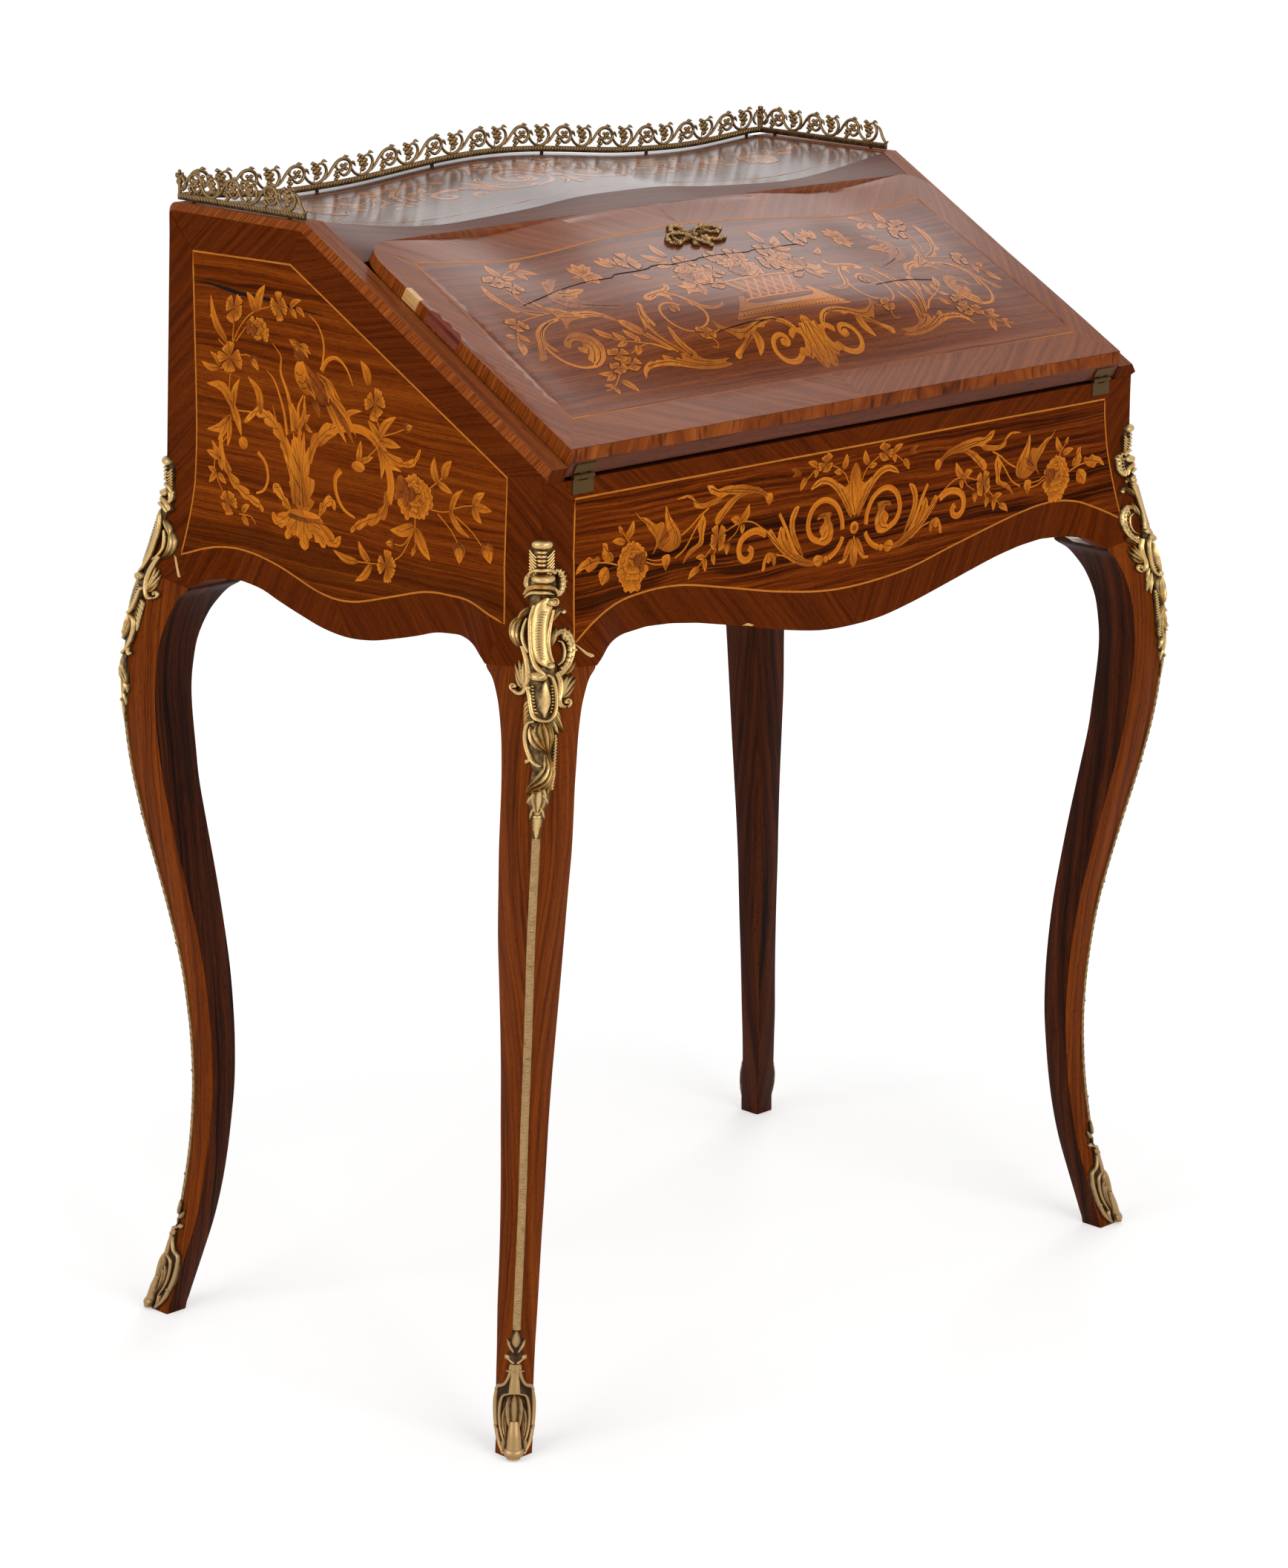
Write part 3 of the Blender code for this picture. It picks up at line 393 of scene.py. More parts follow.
class TopFace(Surface):
    """Top board: x and distance behind the apron face, less a shift."""

    def __init__(self, shift: float = 0.0, thin: float = 0.3) -> None:
        """Starts with a shift of the second number in millimetres and a share of the usual thickness."""
        self.shift = shift
        self.thin = thin

    def at(self, u: float, v: float, h: float) -> Spot:
        """Point in metres."""
        y = (v - self.shift) * MM
        return (u * MM, y - DESK.half_d, DESK.top(u * MM, y) + h * MM * self.thin)


# ---------------------------------------------------------------- shader writing


class Value:
    """A socket that adds Math nodes through Python's operators."""

    def __init__(self, net: "Net", socket: bpy.types.NodeSocket) -> None:
        """Wraps one output socket of a net."""
        self.net = net
        self.socket = socket

    def __add__(self, other: "Value | float") -> "Value":
        """Sum."""
        return self.net.math("ADD", self, other)

    def __sub__(self, other: "Value | float") -> "Value":
        """Difference."""
        return self.net.math("SUBTRACT", self, other)

    def __rsub__(self, other: float) -> "Value":
        """Difference from a number."""
        return self.net.math("SUBTRACT", other, self)

    def __mul__(self, other: "Value | float") -> "Value":
        """Product."""
        return self.net.math("MULTIPLY", self, other)

    def __truediv__(self, other: "Value | float") -> "Value":
        """Quotient."""
        return self.net.math("DIVIDE", self, other)

    __radd__ = __add__
    __rmul__ = __mul__


class Net:
    """Node tree of one material or world around its first shader."""

    def __init__(self, owner: "bpy.types.Material | bpy.types.World", shader: str = "Principled BSDF") -> None:
        """Takes over the nodes of a new material or world."""
        owner.use_nodes = True
        self.owner = owner
        self.tree = owner.node_tree
        self.shader = self.tree.nodes[shader]

    def node(self, kind: str, settings: dict | None = None, inputs: dict | None = None) -> bpy.types.Node:
        """Adds a node.

        Args:
            kind: node type.
            settings: properties, set first; the key stops holds a ramp's stops.
            inputs: values or links by socket name or number.

        Returns:
            The node.
        """
        made = self.tree.nodes.new(kind)
        for key, value in (settings or {}).items():
            if key == "stops":
                for place, colour in value[2:]:
                    made.color_ramp.elements.new(place)
                for stop, (place, colour) in zip(made.color_ramp.elements, sorted(value)):
                    stop.position = place
                    stop.color = (*colour, 1.0)
            else:
                setattr(made, key, value)
        for key, value in (inputs or {}).items():
            self.feed(made.inputs[key], value)
        return made

    def feed(self, socket: bpy.types.NodeSocket, value: "Value | float | Sequence[float]") -> None:
        """Links or sets one socket."""
        if isinstance(value, Value):
            self.tree.links.new(value.socket, socket)
        elif isinstance(value, (int, float)):
            socket.default_value = value
        else:
            wide = len(socket.default_value)
            socket.default_value = (*value, 1.0)[:wide] if wide == 4 else tuple(value)

    def math(self, operation: str, a: "Value | float", b: "Value | float" = 0.0) -> Value:
        """Math node on two values."""
        made = self.node("ShaderNodeMath", {"operation": operation}, {0: a, 1: b})
        return Value(self, made.outputs[0])

    def ranged(self, value: Value, low: float, high: float) -> Value:
        """Smooth step of a value between two limits."""
        made = self.node("ShaderNodeMapRange", {"interpolation_type": "SMOOTHSTEP"},
                         {"Value": value, "From Min": low, "From Max": high})
        return Value(self, made.outputs["Result"])

    def vector(self, x: "Value | float", y: "Value | float", z: "Value | float") -> Value:
        """Vector of three values."""
        return Value(self, self.node("ShaderNodeCombineXYZ", {}, {0: x, 1: y, 2: z}).outputs[0])

    def parts(self, vector: Value) -> tuple[Value, Value, Value]:
        """The three values of a vector."""
        made = self.node("ShaderNodeSeparateXYZ", {}, {0: vector})
        return tuple(Value(self, made.outputs[k]) for k in range(3))

    def noise(self, place: Value, scale: float = 1.0, detail: float = 2.0, rough: float = 0.5) -> Value:
        """Noise at a place."""
        made = self.node("ShaderNodeTexNoise", {"noise_dimensions": "3D"},
                         {"Vector": place, "Scale": scale, "Detail": detail, "Roughness": rough})
        return Value(self, made.outputs["Fac"])

    def mix(self, share: "Value | float", a: "Value | Colour", b: "Value | Colour") -> Value:
        """Colour mix of a and b."""
        made = self.node("ShaderNodeMix", {"data_type": "RGBA"}, {"Factor": share, 6: a, 7: b})
        return Value(self, made.outputs[2])

    def colours(self, value: Value, stops: Sequence[tuple[float, Colour]]) -> Value:
        """Colour ramp of a value."""
        made = self.node("ShaderNodeValToRGB", {"stops": list(stops)}, {"Fac": value})
        return Value(self, made.outputs["Color"])

    def grain(self) -> tuple[Value, Value]:
        """Place along and across the grain in metres, from the piece's own map."""
        made = self.node("ShaderNodeUVMap", {"uv_map": "Grain"})
        u, v, _ = self.parts(Value(self, made.outputs[0]))
        return u, v

    def place(self) -> Value:
        """Place in the desk in metres."""
        return Value(self, self.node("ShaderNodeTexCoord").outputs["Object"])

    def seen(self) -> Value:
        """1 for a ray straight from the camera, through glass or off gloss, else 0."""
        made = self.node("ShaderNodeLightPath")
        eye, clear, gloss = (Value(self, made.outputs[f"Is {k} Ray"]) for k in ("Camera", "Transmission", "Glossy"))
        return self.math("MAXIMUM", self.math("MAXIMUM", eye, clear), gloss)

    def tone(self) -> Value:
        """The piece's own tone, 0 to 1."""
        made = self.node("ShaderNodeAttribute", {"attribute_type": "GEOMETRY", "attribute_name": "tone"})
        return Value(self, made.outputs["Fac"])

    def bump(self, height: Value, strength: float, distance: float) -> None:
        """Bumps the shader's normal."""
        made = self.node("ShaderNodeBump", {}, {"Height": height, "Strength": strength, "Distance": distance})
        self.feed(self.shader.inputs["Normal"], Value(self, made.outputs[0]))

    def set(self, **values: "Value | float | Colour") -> None:
        """Feeds the shader's sockets; underscores in names stand for spaces."""
        for key, value in values.items():
            self.feed(self.shader.inputs[key.replace("_", " ")], value)


class Finish:
    """A finish that makes its material once."""

    made: dict[str, bpy.types.Material] = {}
    name: str

    def material(self) -> bpy.types.Material:
        """The finish's material."""
        if self.name not in Finish.made:
            net = Net(bpy.data.materials.new(self.name))
            self.write(net)
            Finish.made[self.name] = net.owner
        return Finish.made[self.name]

    def write(self, net: Net) -> None:
        """Writes the nodes."""
        raise NotImplementedError


class Lay(Enum):
    """Where a wood's grain direction comes from."""

    MAP = "map"
    ALONG_X = "x"
    ALONG_Y = "y"
    ALONG_Z = "z"


@dataclass(frozen=True)
class Wood(Finish):
    """Varnished wood with figure, fibres, dark streaks and pores."""

    name: str
    dark: Colour
    middle: Colour
    light: Colour
    streaks: float = 0.5
    figure: float = 1.0
    contrast: float = 1.0
    rough: float = 0.3
    coat: float = 0.5
    specular: float = 0.3
    lay: Lay = Lay.MAP
    shaded: float = 0.0
    gloss: float = 0.12
    heart: tuple[tuple[float, float, float], ...] = ()
    painted_reflection_gap: tuple[float, ...] = ()

    def write(self, net: Net) -> None:
        """Writes the nodes."""
        seed = net.tone() * 3.0
        if self.lay is Lay.MAP:
            u, v = net.grain()
        else:
            x, y, z = net.parts(net.place())
            along = {Lay.ALONG_X: (x, y, z), Lay.ALONG_Y: (y, x, z), Lay.ALONG_Z: (z, x, y)}[self.lay]
            u, v = along[0], along[1] + along[2] * 0.83
        wave = net.noise(net.vector(u * 9.0, v * 26.0, seed), 1.0, 2.0)
        v = v + (wave - 0.5) * 0.012
        bands = net.noise(net.vector(u * 3.0, v * 90.0 / self.figure, seed), 1.0, 4.0, 0.62)
        fibres = net.noise(net.vector(u * 26.0, v * 900.0, seed), 1.0, 3.0, 0.65)
        black = net.noise(net.vector(u * 2.2, v * 150.0 / self.figure, seed + 7.0), 1.0, 3.0, 0.55)
        pores = net.noise(net.vector(u * 170.0, v * 2600.0, seed), 1.0, 1.0)
        body = (bands - 0.5) * (1.7 * self.contrast) + (fibres - 0.5) * (0.9 * self.contrast) + 0.5
        colour = net.colours(body, ((0.05, self.dark), (0.95, self.light), (0.45, self.middle)))
        for level, reach, depth in self.heart:
            off = (v + (wave - 0.5) * 0.03 - level) * (1 / reach)
            black = black + net.math("EXPONENT", off * off * -1.0) * depth
        streak = net.ranged(black, 0.56, 0.70) * self.streaks
        if self.heart:
            streak = net.math("MINIMUM", streak * 1.5, 0.95)
        pore = net.ranged(pores, 0.56, 0.72) * (0.5 + 0.3 * self.streaks)
        deep = tuple(0.16 * c for c in self.dark)
        colour = net.mix(streak, colour, deep)
        colour = net.mix(pore, colour, tuple(0.4 * c for c in self.dark))
        if self.shaded:
            shade = net.ranged(net.tone(), 0.0, 1.0)
            burnt = tuple(c * f for c, f in zip(self.dark, (0.55, 0.45, 0.4)))
            colour = net.mix((1.0 - shade) * self.shaded, colour, burnt)
        cloud = net.noise(net.place(), 7.0, 2.0)
        polish = self.coat * (0.75 + cloud * 0.5)
        # Painted reflection gap: the coat weight falls off in an oval, so the sheen is taken away there.
        if self.painted_reflection_gap:
            middle_x, middle_z, half_x, half_z, depth = self.painted_reflection_gap
            x, _, z = net.parts(net.place())
            across, up = (x - middle_x) * (1 / half_x), (z - middle_z) * (1 / half_z)
            off = across * across + up * up
            polish = polish * (1.0 - net.math("EXPONENT", off * off * -1.0) * depth)
        net.set(Base_Color=colour, Roughness=self.rough + (fibres - 0.5) * 0.12 + (cloud - 0.5) * 0.12,
                Coat_Weight=polish, Coat_Roughness=self.gloss,
                Specular_IOR_Level=self.specular)
        net.bump(fibres - pore * 0.8, 0.10, 0.0004)


@dataclass(frozen=True)
class Gilt(Finish):
    """Cast and gilded brass: bright on the high parts, brown in the hollows."""

    name: str
    bright: Colour
    deep: Colour
    rough: float = 0.24

    def write(self, net: Net) -> None:
        """Writes the nodes."""
        place = net.place()
        cloud = net.noise(place, 190.0, 3.0)
        grit = net.noise(place, 1500.0, 2.0)
        height = net.tone() + (cloud - 0.5) * 0.7
        worn = net.ranged(height, 0.08, 0.86)
        colour = net.mix(worn, self.deep, self.bright)
        net.set(Base_Color=colour, Metallic=0.80 + worn * 0.2,
                Roughness=self.rough + (1.0 - worn) * 0.28 + (grit - 0.5) * 0.1)
        net.bump(grit + cloud * 1.4, 0.3, 0.0004)


@dataclass(frozen=True)
class Hide(Finish):
    """Tooled writing leather."""

    name: str
    colour: Colour
    worn: Colour

    def write(self, net: Net) -> None:
        """Writes the nodes."""
        place = net.place()
        cloud = net.noise(place, 14.0, 4.0, 0.6)
        cells = net.node("ShaderNodeTexVoronoi", {"feature": "DISTANCE_TO_EDGE"},
                         {"Vector": place, "Scale": 700.0})
        crease = net.ranged(Value(net, cells.outputs["Distance"]), 0.0, 0.12)
        colour = net.mix(net.ranged(cloud, 0.35, 0.75), self.colour, self.worn)
        net.set(Base_Color=net.mix((1.0 - crease) * 0.5, colour, tuple(0.4 * c for c in self.colour)),
                Roughness=0.62 - cloud * 0.2, Specular_IOR_Level=0.35)
        net.bump(crease, 0.35, 0.0003)


@dataclass(frozen=True)
class Line(Finish):
    """Dark engraved lines and gaps: a stained hollow with a little grain."""

    name: str
    colour: Colour
    edge: Colour
    rough: float = 0.45

    def write(self, net: Net) -> None:
        """Writes the nodes."""
        cloud = net.noise(net.place(), 240.0, 3.0)
        net.set(Base_Color=net.mix(cloud, self.colour, self.edge), Roughness=self.rough + (cloud - 0.5) * 0.2,
                Specular_IOR_Level=0.04)


FIELD_SIDE = Wood("rosewood_field_side", srgb(44, 14, 1), srgb(118, 49, 7), srgb(158, 78, 15), 0.3, 0.45, 0.8,
                  rough=0.40, coat=0.004, specular=0.01, heart=((0.668, 0.020, 0.26), (0.873, 0.004, 0.16)))
FIELD_FRONT = Wood("rosewood_field_front", srgb(34, 9, 1), srgb(102, 39, 5), srgb(154, 72, 14), 0.5, 0.42,
                   1.1, rough=0.40, coat=0.004, specular=0.01, heart=((0.700, 0.008, 0.16),
        (0.678, 0.006, 0.2)))
# Oval low on the fall where the coat is thinned so that less sheen shows: a painted reflection gap.
FALL_PAINTED_REFLECTION_GAP = (-0.06, DESK.on_slope(0.0, 0.09, 0.02)[2], 0.185, 0.046 * math.sin(DESK.theta), 1.0)
FIELD_FALL = Wood("rosewood_field_fall", srgb(56, 20, 5), srgb(116, 53, 16), srgb(156, 82, 30), 0.3, 0.42,
                  0.75, rough=0.42, coat=0.27, specular=0.04, gloss=0.2, painted_reflection_gap=FALL_PAINTED_REFLECTION_GAP)
BAND = Wood("rosewood_band", srgb(48, 14, 1), srgb(94, 37, 6), srgb(128, 57, 12), 0.25, 0.4, 0.65,
            rough=0.40, coat=0.004, specular=0.01)
BAND_FALL = Wood("rosewood_band_fall", srgb(78, 34, 15), srgb(130, 66, 31), srgb(168, 96, 50), 0.15, 0.4, 0.6,
                 rough=0.42, coat=0.26, specular=0.04, gloss=0.2)
BAND_SOLID = Wood("apron_board", srgb(46, 18, 8), srgb(84, 38, 15), srgb(112, 56, 24), 0.3, 0.6, 0.8,
                  lay=Lay.ALONG_X)
EDGE = Wood("crossband_edge", srgb(66, 25, 6), srgb(138, 65, 20), srgb(184, 100, 40), 0.4, 0.08, 1.0,
            rough=0.38, coat=0.02, specular=0.03)
LEGWOOD = Wood("rosewood_leg", srgb(46, 15, 1), srgb(117, 51, 8), srgb(158, 77, 17), 0.4, 0.45, 0.85,
               rough=0.38, coat=0.014, specular=0.025)
# Darker copy of the leg wood for the legs' two inner sides: painted shade.
LEG_PAINTED_SHADE = Wood("leg_inner_painted_shade", srgb(18, 7, 3), srgb(66, 28, 10), srgb(104, 48, 18), 0.8, 0.8, 1.1,
                 rough=0.42, coat=0.02, specular=0.04)
TOPWOOD = Wood("rosewood_top", srgb(44, 17, 9), srgb(88, 40, 20), srgb(120, 62, 32), 0.35, 0.9, 0.7,
               rough=0.34, coat=1.0, specular=0.12, gloss=0.16)
SLOPE = Wood("rosewood_slope", srgb(72, 32, 13), srgb(132, 68, 33), srgb(166, 94, 50), 0.2, 0.3, 0.7,
             rough=0.40, coat=0.06, specular=0.03, gloss=0.24)
RAIL = Wood("rosewood_rail", srgb(52, 21, 10), srgb(92, 42, 20), srgb(122, 62, 32), 0.15, 0.4, 0.6,
            rough=0.42, coat=0.13, specular=0.04, gloss=0.24)
CHIPPED = Wood("chipped_ground", srgb(70, 26, 18), srgb(126, 60, 46), srgb(160, 92, 70), 0.1, 0.25, 1.0,
               rough=0.7, coat=0.0, specular=0.05)
STRING = Wood("light_stringing", srgb(156, 84, 22), srgb(204, 122, 40), srgb(222, 148, 62), 0.0, 0.3, 0.5,
              rough=0.38, coat=0.02, specular=0.03)
INLAY = Wood("inlay_light", srgb(148, 70, 8), srgb(218, 121, 25), srgb(240, 158, 50), 0.0, 0.3, 0.7,
             rough=0.38, coat=0.02, specular=0.03, shaded=0.65)
INLAY_DARK = Wood("inlay_shaded", srgb(92, 40, 5), srgb(156, 76, 14), srgb(188, 102, 26), 0.1, 0.3, 0.7,
                  rough=0.38, coat=0.02, specular=0.03, shaded=0.6)
INLAY_FALL = Wood("inlay_light_fall", srgb(152, 74, 14), srgb(212, 122, 34), srgb(236, 158, 62), 0.0, 0.3,
                  0.6, rough=0.42, coat=0.26, specular=0.04, shaded=0.6, gloss=0.2, painted_reflection_gap=FALL_PAINTED_REFLECTION_GAP)
INLAY_FALL_DARK = Wood("inlay_shaded_fall", srgb(110, 50, 14), srgb(160, 86, 30), srgb(194, 118, 50), 0.1,
                       0.3, 0.7, rough=0.42, coat=0.26, specular=0.04, shaded=0.6, gloss=0.2,
                       painted_reflection_gap=FALL_PAINTED_REFLECTION_GAP)
INLAY_TOP = Wood("inlay_light_top", srgb(136, 70, 28), srgb(196, 118, 56), srgb(222, 150, 84), 0.0, 0.3, 0.6,
                 rough=0.34, coat=1.0, specular=0.12, shaded=0.5, gloss=0.16)
INLAY_TOP_DARK = Wood("inlay_shaded_top", srgb(92, 44, 18), srgb(146, 80, 36), srgb(176, 104, 52), 0.1, 0.3,
                      0.7, rough=0.34, coat=1.0, specular=0.12, shaded=0.5, gloss=0.16)
INSIDE = Wood("interior_rosewood", srgb(60, 26, 12), srgb(106, 52, 24), srgb(140, 78, 40), 0.3, 0.8, 0.8,
              coat=0.15, specular=0.2, lay=Lay.ALONG_X)
CARCASE_X = Wood("carcase_oak_x", srgb(104, 70, 40), srgb(146, 104, 62), srgb(176, 134, 88), 0.1, 0.6, 0.7,
                 rough=0.6, coat=0.0, specular=0.2, lay=Lay.ALONG_X)
CARCASE_Y = Wood("carcase_oak_y", srgb(104, 70, 40), srgb(146, 104, 62), srgb(176, 134, 88), 0.1, 0.6, 0.7,
                 rough=0.6, coat=0.0, specular=0.2, lay=Lay.ALONG_Y)
BACKWOOD = Wood("back_board", srgb(40, 24, 15), srgb(70, 44, 28), srgb(98, 64, 42), 0.3, 0.8, 0.8,
                rough=0.6, coat=0.0, specular=0.2, lay=Lay.ALONG_X)
PATCH = Wood("pale_repair", srgb(190, 132, 70), srgb(222, 172, 108), srgb(236, 196, 140), 0.0, 0.3, 0.8,
             rough=0.5, coat=0.1)
ENGRAVED = Line("engraved_line", srgb(46, 19, 6), srgb(70, 32, 11))
GAP_DARK = Line("dark_gap", srgb(14, 8, 5), srgb(28, 15, 9))
GILT = Gilt("gilt_brass", srgb(194, 162, 108), srgb(54, 35, 14), 0.27)
GILT_AGED = Gilt("gallery_brass", srgb(134, 106, 68), srgb(38, 25, 13), 0.36)
GILT_FOOT = Gilt("foot_brass", srgb(164, 132, 90), srgb(50, 33, 17), 0.34)
PLAIN_BRASS = Gilt("plain_brass", srgb(176, 142, 84), srgb(84, 60, 28), 0.34)
IRON = Gilt("lock_iron", srgb(120, 116, 110), srgb(44, 40, 36), 0.42)
TOOLED = Gilt("tooled_gold", srgb(176, 140, 66), srgb(104, 80, 36), 0.45)
LEATHER = Hide("writing_leather", srgb(46, 66, 44), srgb(78, 92, 60))


# ---------------------------------------------------------------- mesh building


Grain = Callable[[Spot, Vector], Point]


def lie(turn: float) -> Grain:
    """Grain map of flat boards, turned in the plane of each face.

    Args:
        turn: degrees from the face's own level line to the grain.

    Returns:
        A function of a point and its face's normal.
    """
    c, s = math.cos(math.radians(turn)), math.sin(math.radians(turn))

    def place(p: Spot, normal: Vector) -> Point:
        """Place along and across the grain."""
        sides = [abs(k) for k in normal]
        widest = sides.index(max(sides))
        a, b = [(p[1], p[2]), (p[0], p[2]), (p[0], p[1])][widest]
        return (c * a + s * b, c * b - s * a)
    return place


class Pile:
    """Faces of one piece, each with a finish, a grain map and a tone."""

    def __init__(self, surface: Surface | None = None, seed: int = 5) -> None:
        """Starts empty, on a surface that carries flat work."""
        self.surface = surface
        self.verts: list[Spot] = []
        self.faces: list[tuple[int, ...]] = []
        self.slots: list[int] = []
        self.grains: list[Point] = []
        self.tones: list[float] = []
        self.chance = random.Random(seed)

    def add(self, verts: Sequence[Spot], faces: Sequence[Sequence[int]], slot: int,
            grain: "Grain | Sequence[Point]", tones: "Sequence[float] | float" = 0.5) -> None:
        """Adds a body.

        Args:
            verts: its points.
            faces: its faces.
            slot: which of the piece's finishes it takes.
            grain: grain map, or one place for each point.
            tones: tone of each point, or of all.
        """
        if self.surface and self.surface.flip:
            faces = [tuple(reversed(f)) for f in faces]
        base = self.points(verts, tones)
        self.cover(base, faces, slot, grain)

    def points(self, verts: Sequence[Spot], tones: "Sequence[float] | float") -> int:
        """Adds points with their tones.

        Args:
            verts: the points.
            tones: tone of each point, or of all.

        Returns:
            The first one's number.
        """
        base = len(self.verts)
        self.verts += verts
        self.tones += tones if isinstance(tones, (list, tuple)) else [tones] * len(verts)
        return base

    def cover(self, base: int, faces: Sequence[Sequence[int]], slot: int,
              grain: "Grain | Sequence[Point]") -> None:
        """Adds faces on points that are there.

        Args:
            base: number of the first point.
            faces: faces, counted from that point.
            slot: finish.
            grain: grain map, or one place for each point.
        """
        for face in faces:
            placed = tuple(base + i for i in face)
            self.faces.append(placed)
            self.slots.append(slot)
            if callable(grain):
                a, b, c = (Vector(self.verts[i]) for i in placed[:3])
                normal = (b - a).cross(c - b)
                if len(face) == 4:
                    normal = (c - a).cross(Vector(self.verts[placed[3]]) - b)
                self.grains += [grain(self.verts[i], normal) for i in placed]
            else:
                self.grains += [grain[i] for i in face]

    def loft(self, rings: Sequence[Sequence[Spot]], slot: int, grain: Grain,
             slot_of: Callable[[int, int], int] | None = None, caps: tuple[int, int] = (-1, -1),
             tones: "Sequence[float] | float" = 0.5) -> None:
        """Closed body through equal rings.

        Args:
            rings: rings of points.
            slot: finish of the sides.
            grain: grain map.
            slot_of: finish of a face by ring and side number.
            caps: finishes of the two ends, or -1 for the sides' finish.
            tones: tone of each point, or of all.
        """
        count = len(rings[0])
        groups: dict[int, list[tuple[int, ...]]] = {}
        for k, face in enumerate(walls(len(rings), count)):
            groups.setdefault(slot_of(k // count, k % count) if slot_of else slot, []).append(face)
        for cap, face in zip(caps, ends(len(rings), count)):
            groups.setdefault(slot if cap < 0 else cap, []).append(face)
        base = self.points([p for ring in rings for p in ring], tones)
        for which, faces in groups.items():
            self.cover(base, faces, which, grain)

    def slab(self, outline: Sequence[Point], slot: int, turn: float = 0.0, high: float = 0.3,
             low: float = -0.2, tone: "float | Callable[[Point], float]" = 0.5, fine: float = 0.0,
             shift: bool = False) -> None:
        """Thin closed slab of an outline in millimetres on the pile's surface.

        Args:
            outline: closed outline.
            slot: finish.
            turn: degrees from the level to the grain.
            high: upper side off the surface.
            low: under side off the surface.
            tone: tone, or a function of the place.
            fine: spacing of points inside, or 0 for the surface's own.
            shift: whether the grain starts at a random place.
        """
        surface = self.surface
        outline = list(outline) if area(outline) > 0 else list(outline)[::-1]
        step = fine or surface.step
        xs, ys = [p[0] for p in outline], [p[1] for p in outline]
        points = list(outline)
        rows = range(math.ceil(min(ys) / step), math.floor(max(ys) / step) + 1)
        for row in rows:
            for col in range(math.ceil(min(xs) / step), math.floor(max(xs) / step) + 1):
                spot = ((col + 0.5 * (row % 2)) * step, row * step)
                if holds(outline, spot):
                    points.append(spot)
        loop = list(range(len(outline)))
        flat, _, tris, *_ = delaunay_2d_cdt([Vector(p) for p in points], [], [loop], 1, 1e-5)
        n = len(flat)
        rim: dict[tuple[int, int], int] = {}
        for tri in tris:
            for a, b in zip(tri, [*tri[1:], tri[0]]):
                rim[(a, b)] = rim.get((a, b), 0) + 1
        edges = [e for e in rim if (e[1], e[0]) not in rim]
        faces = [tuple(t) for t in tris] + [tuple(n + i for i in reversed(t)) for t in tris]
        faces += [(a, n + a, n + b, b) for a, b in edges]
        verts = [surface.at(p[0], p[1], h) for h in (high, low) for p in flat]
        du, dv = (self.chance.uniform(0, 3), self.chance.uniform(0, 3)) if shift else (0.0, 0.0)
        c, s = math.cos(math.radians(turn)), math.sin(math.radians(turn))
        grain = [((c * p[0] + s * p[1]) * MM + du, (c * p[1] - s * p[0]) * MM + dv) for p in flat] * 2
        tones = [tone(p) for p in flat] * 2 if callable(tone) else [tone] * (2 * n)
        self.add(verts, faces, slot, grain, tones)

    def band(self, path: Sequence[Point], width: "float | Sequence[float]", slot: int, closed: bool = False,
             high: float = 0.36, low: float = -0.2, tone: float = 0.5) -> None:
        """Strip of even or tapering width along a path in millimetres.

        Args:
            path: middle line.
            width: width, or one for each point.
            slot: finish.
            closed: whether the path returns to its start.
            high: upper side off the surface.
            low: under side off the surface.
            tone: tone.
        """
        n = len(path)
        widths = [width] * n if isinstance(width, (int, float)) else list(width)
        ways = headings(path, closed)
        verts: list[Spot] = []
        grain: list[Point] = []
        run = 0.0
        for i, ((x, y), (dx, dy), w) in enumerate(zip(path, ways, widths)):
            if i:
                run += math.hypot(x - path[i - 1][0], y - path[i - 1][1])
            for side, h in ((1, high), (-1, high), (-1, low), (1, low)):
                verts.append(self.surface.at(x - dy * side * w / 2, y + dx * side * w / 2, h))
                grain.append((run * MM, side * w / 2 * MM))
        faces: list[tuple[int, ...]] = []
        for i in range(n if closed else n - 1):
            a, b = 4 * i, 4 * ((i + 1) % n)
            faces += [(a + k, a + (k + 1) % 4, b + (k + 1) % 4, b + k) for k in range(4)]
        if not closed:
            faces += ends(n, 4)
        self.add(verts, faces, slot, grain, tone)

    def flare(self, edge: Sequence[Point], slot: int, rows: int = 7) -> None:
        """Block that fills the swelling between the flat ground and the face, over a lower edge.

        Args:
            edge: points of the lower edge, from left to right.
            slot: finish.
            rows: levels up to the posts' tops.
        """
        surface = self.surface
        rings: list[list[Spot]] = []
        for u, v in edge:
            levels = [v + (1000 * DESK.post_z - v) * k / (rows - 1) for k in range(rows)]
            ring = [surface.at(u, w, -0.1) for w in levels]
            rings.append(ring + [surface.at(u, w, -surface.lift(u, w) - 0.4) for w in (levels[-1],
                    levels[0])])
        if surface.flip:
            rings = [ring[::-1] for ring in rings]
        self.loft(rings, slot, lie(0.0))

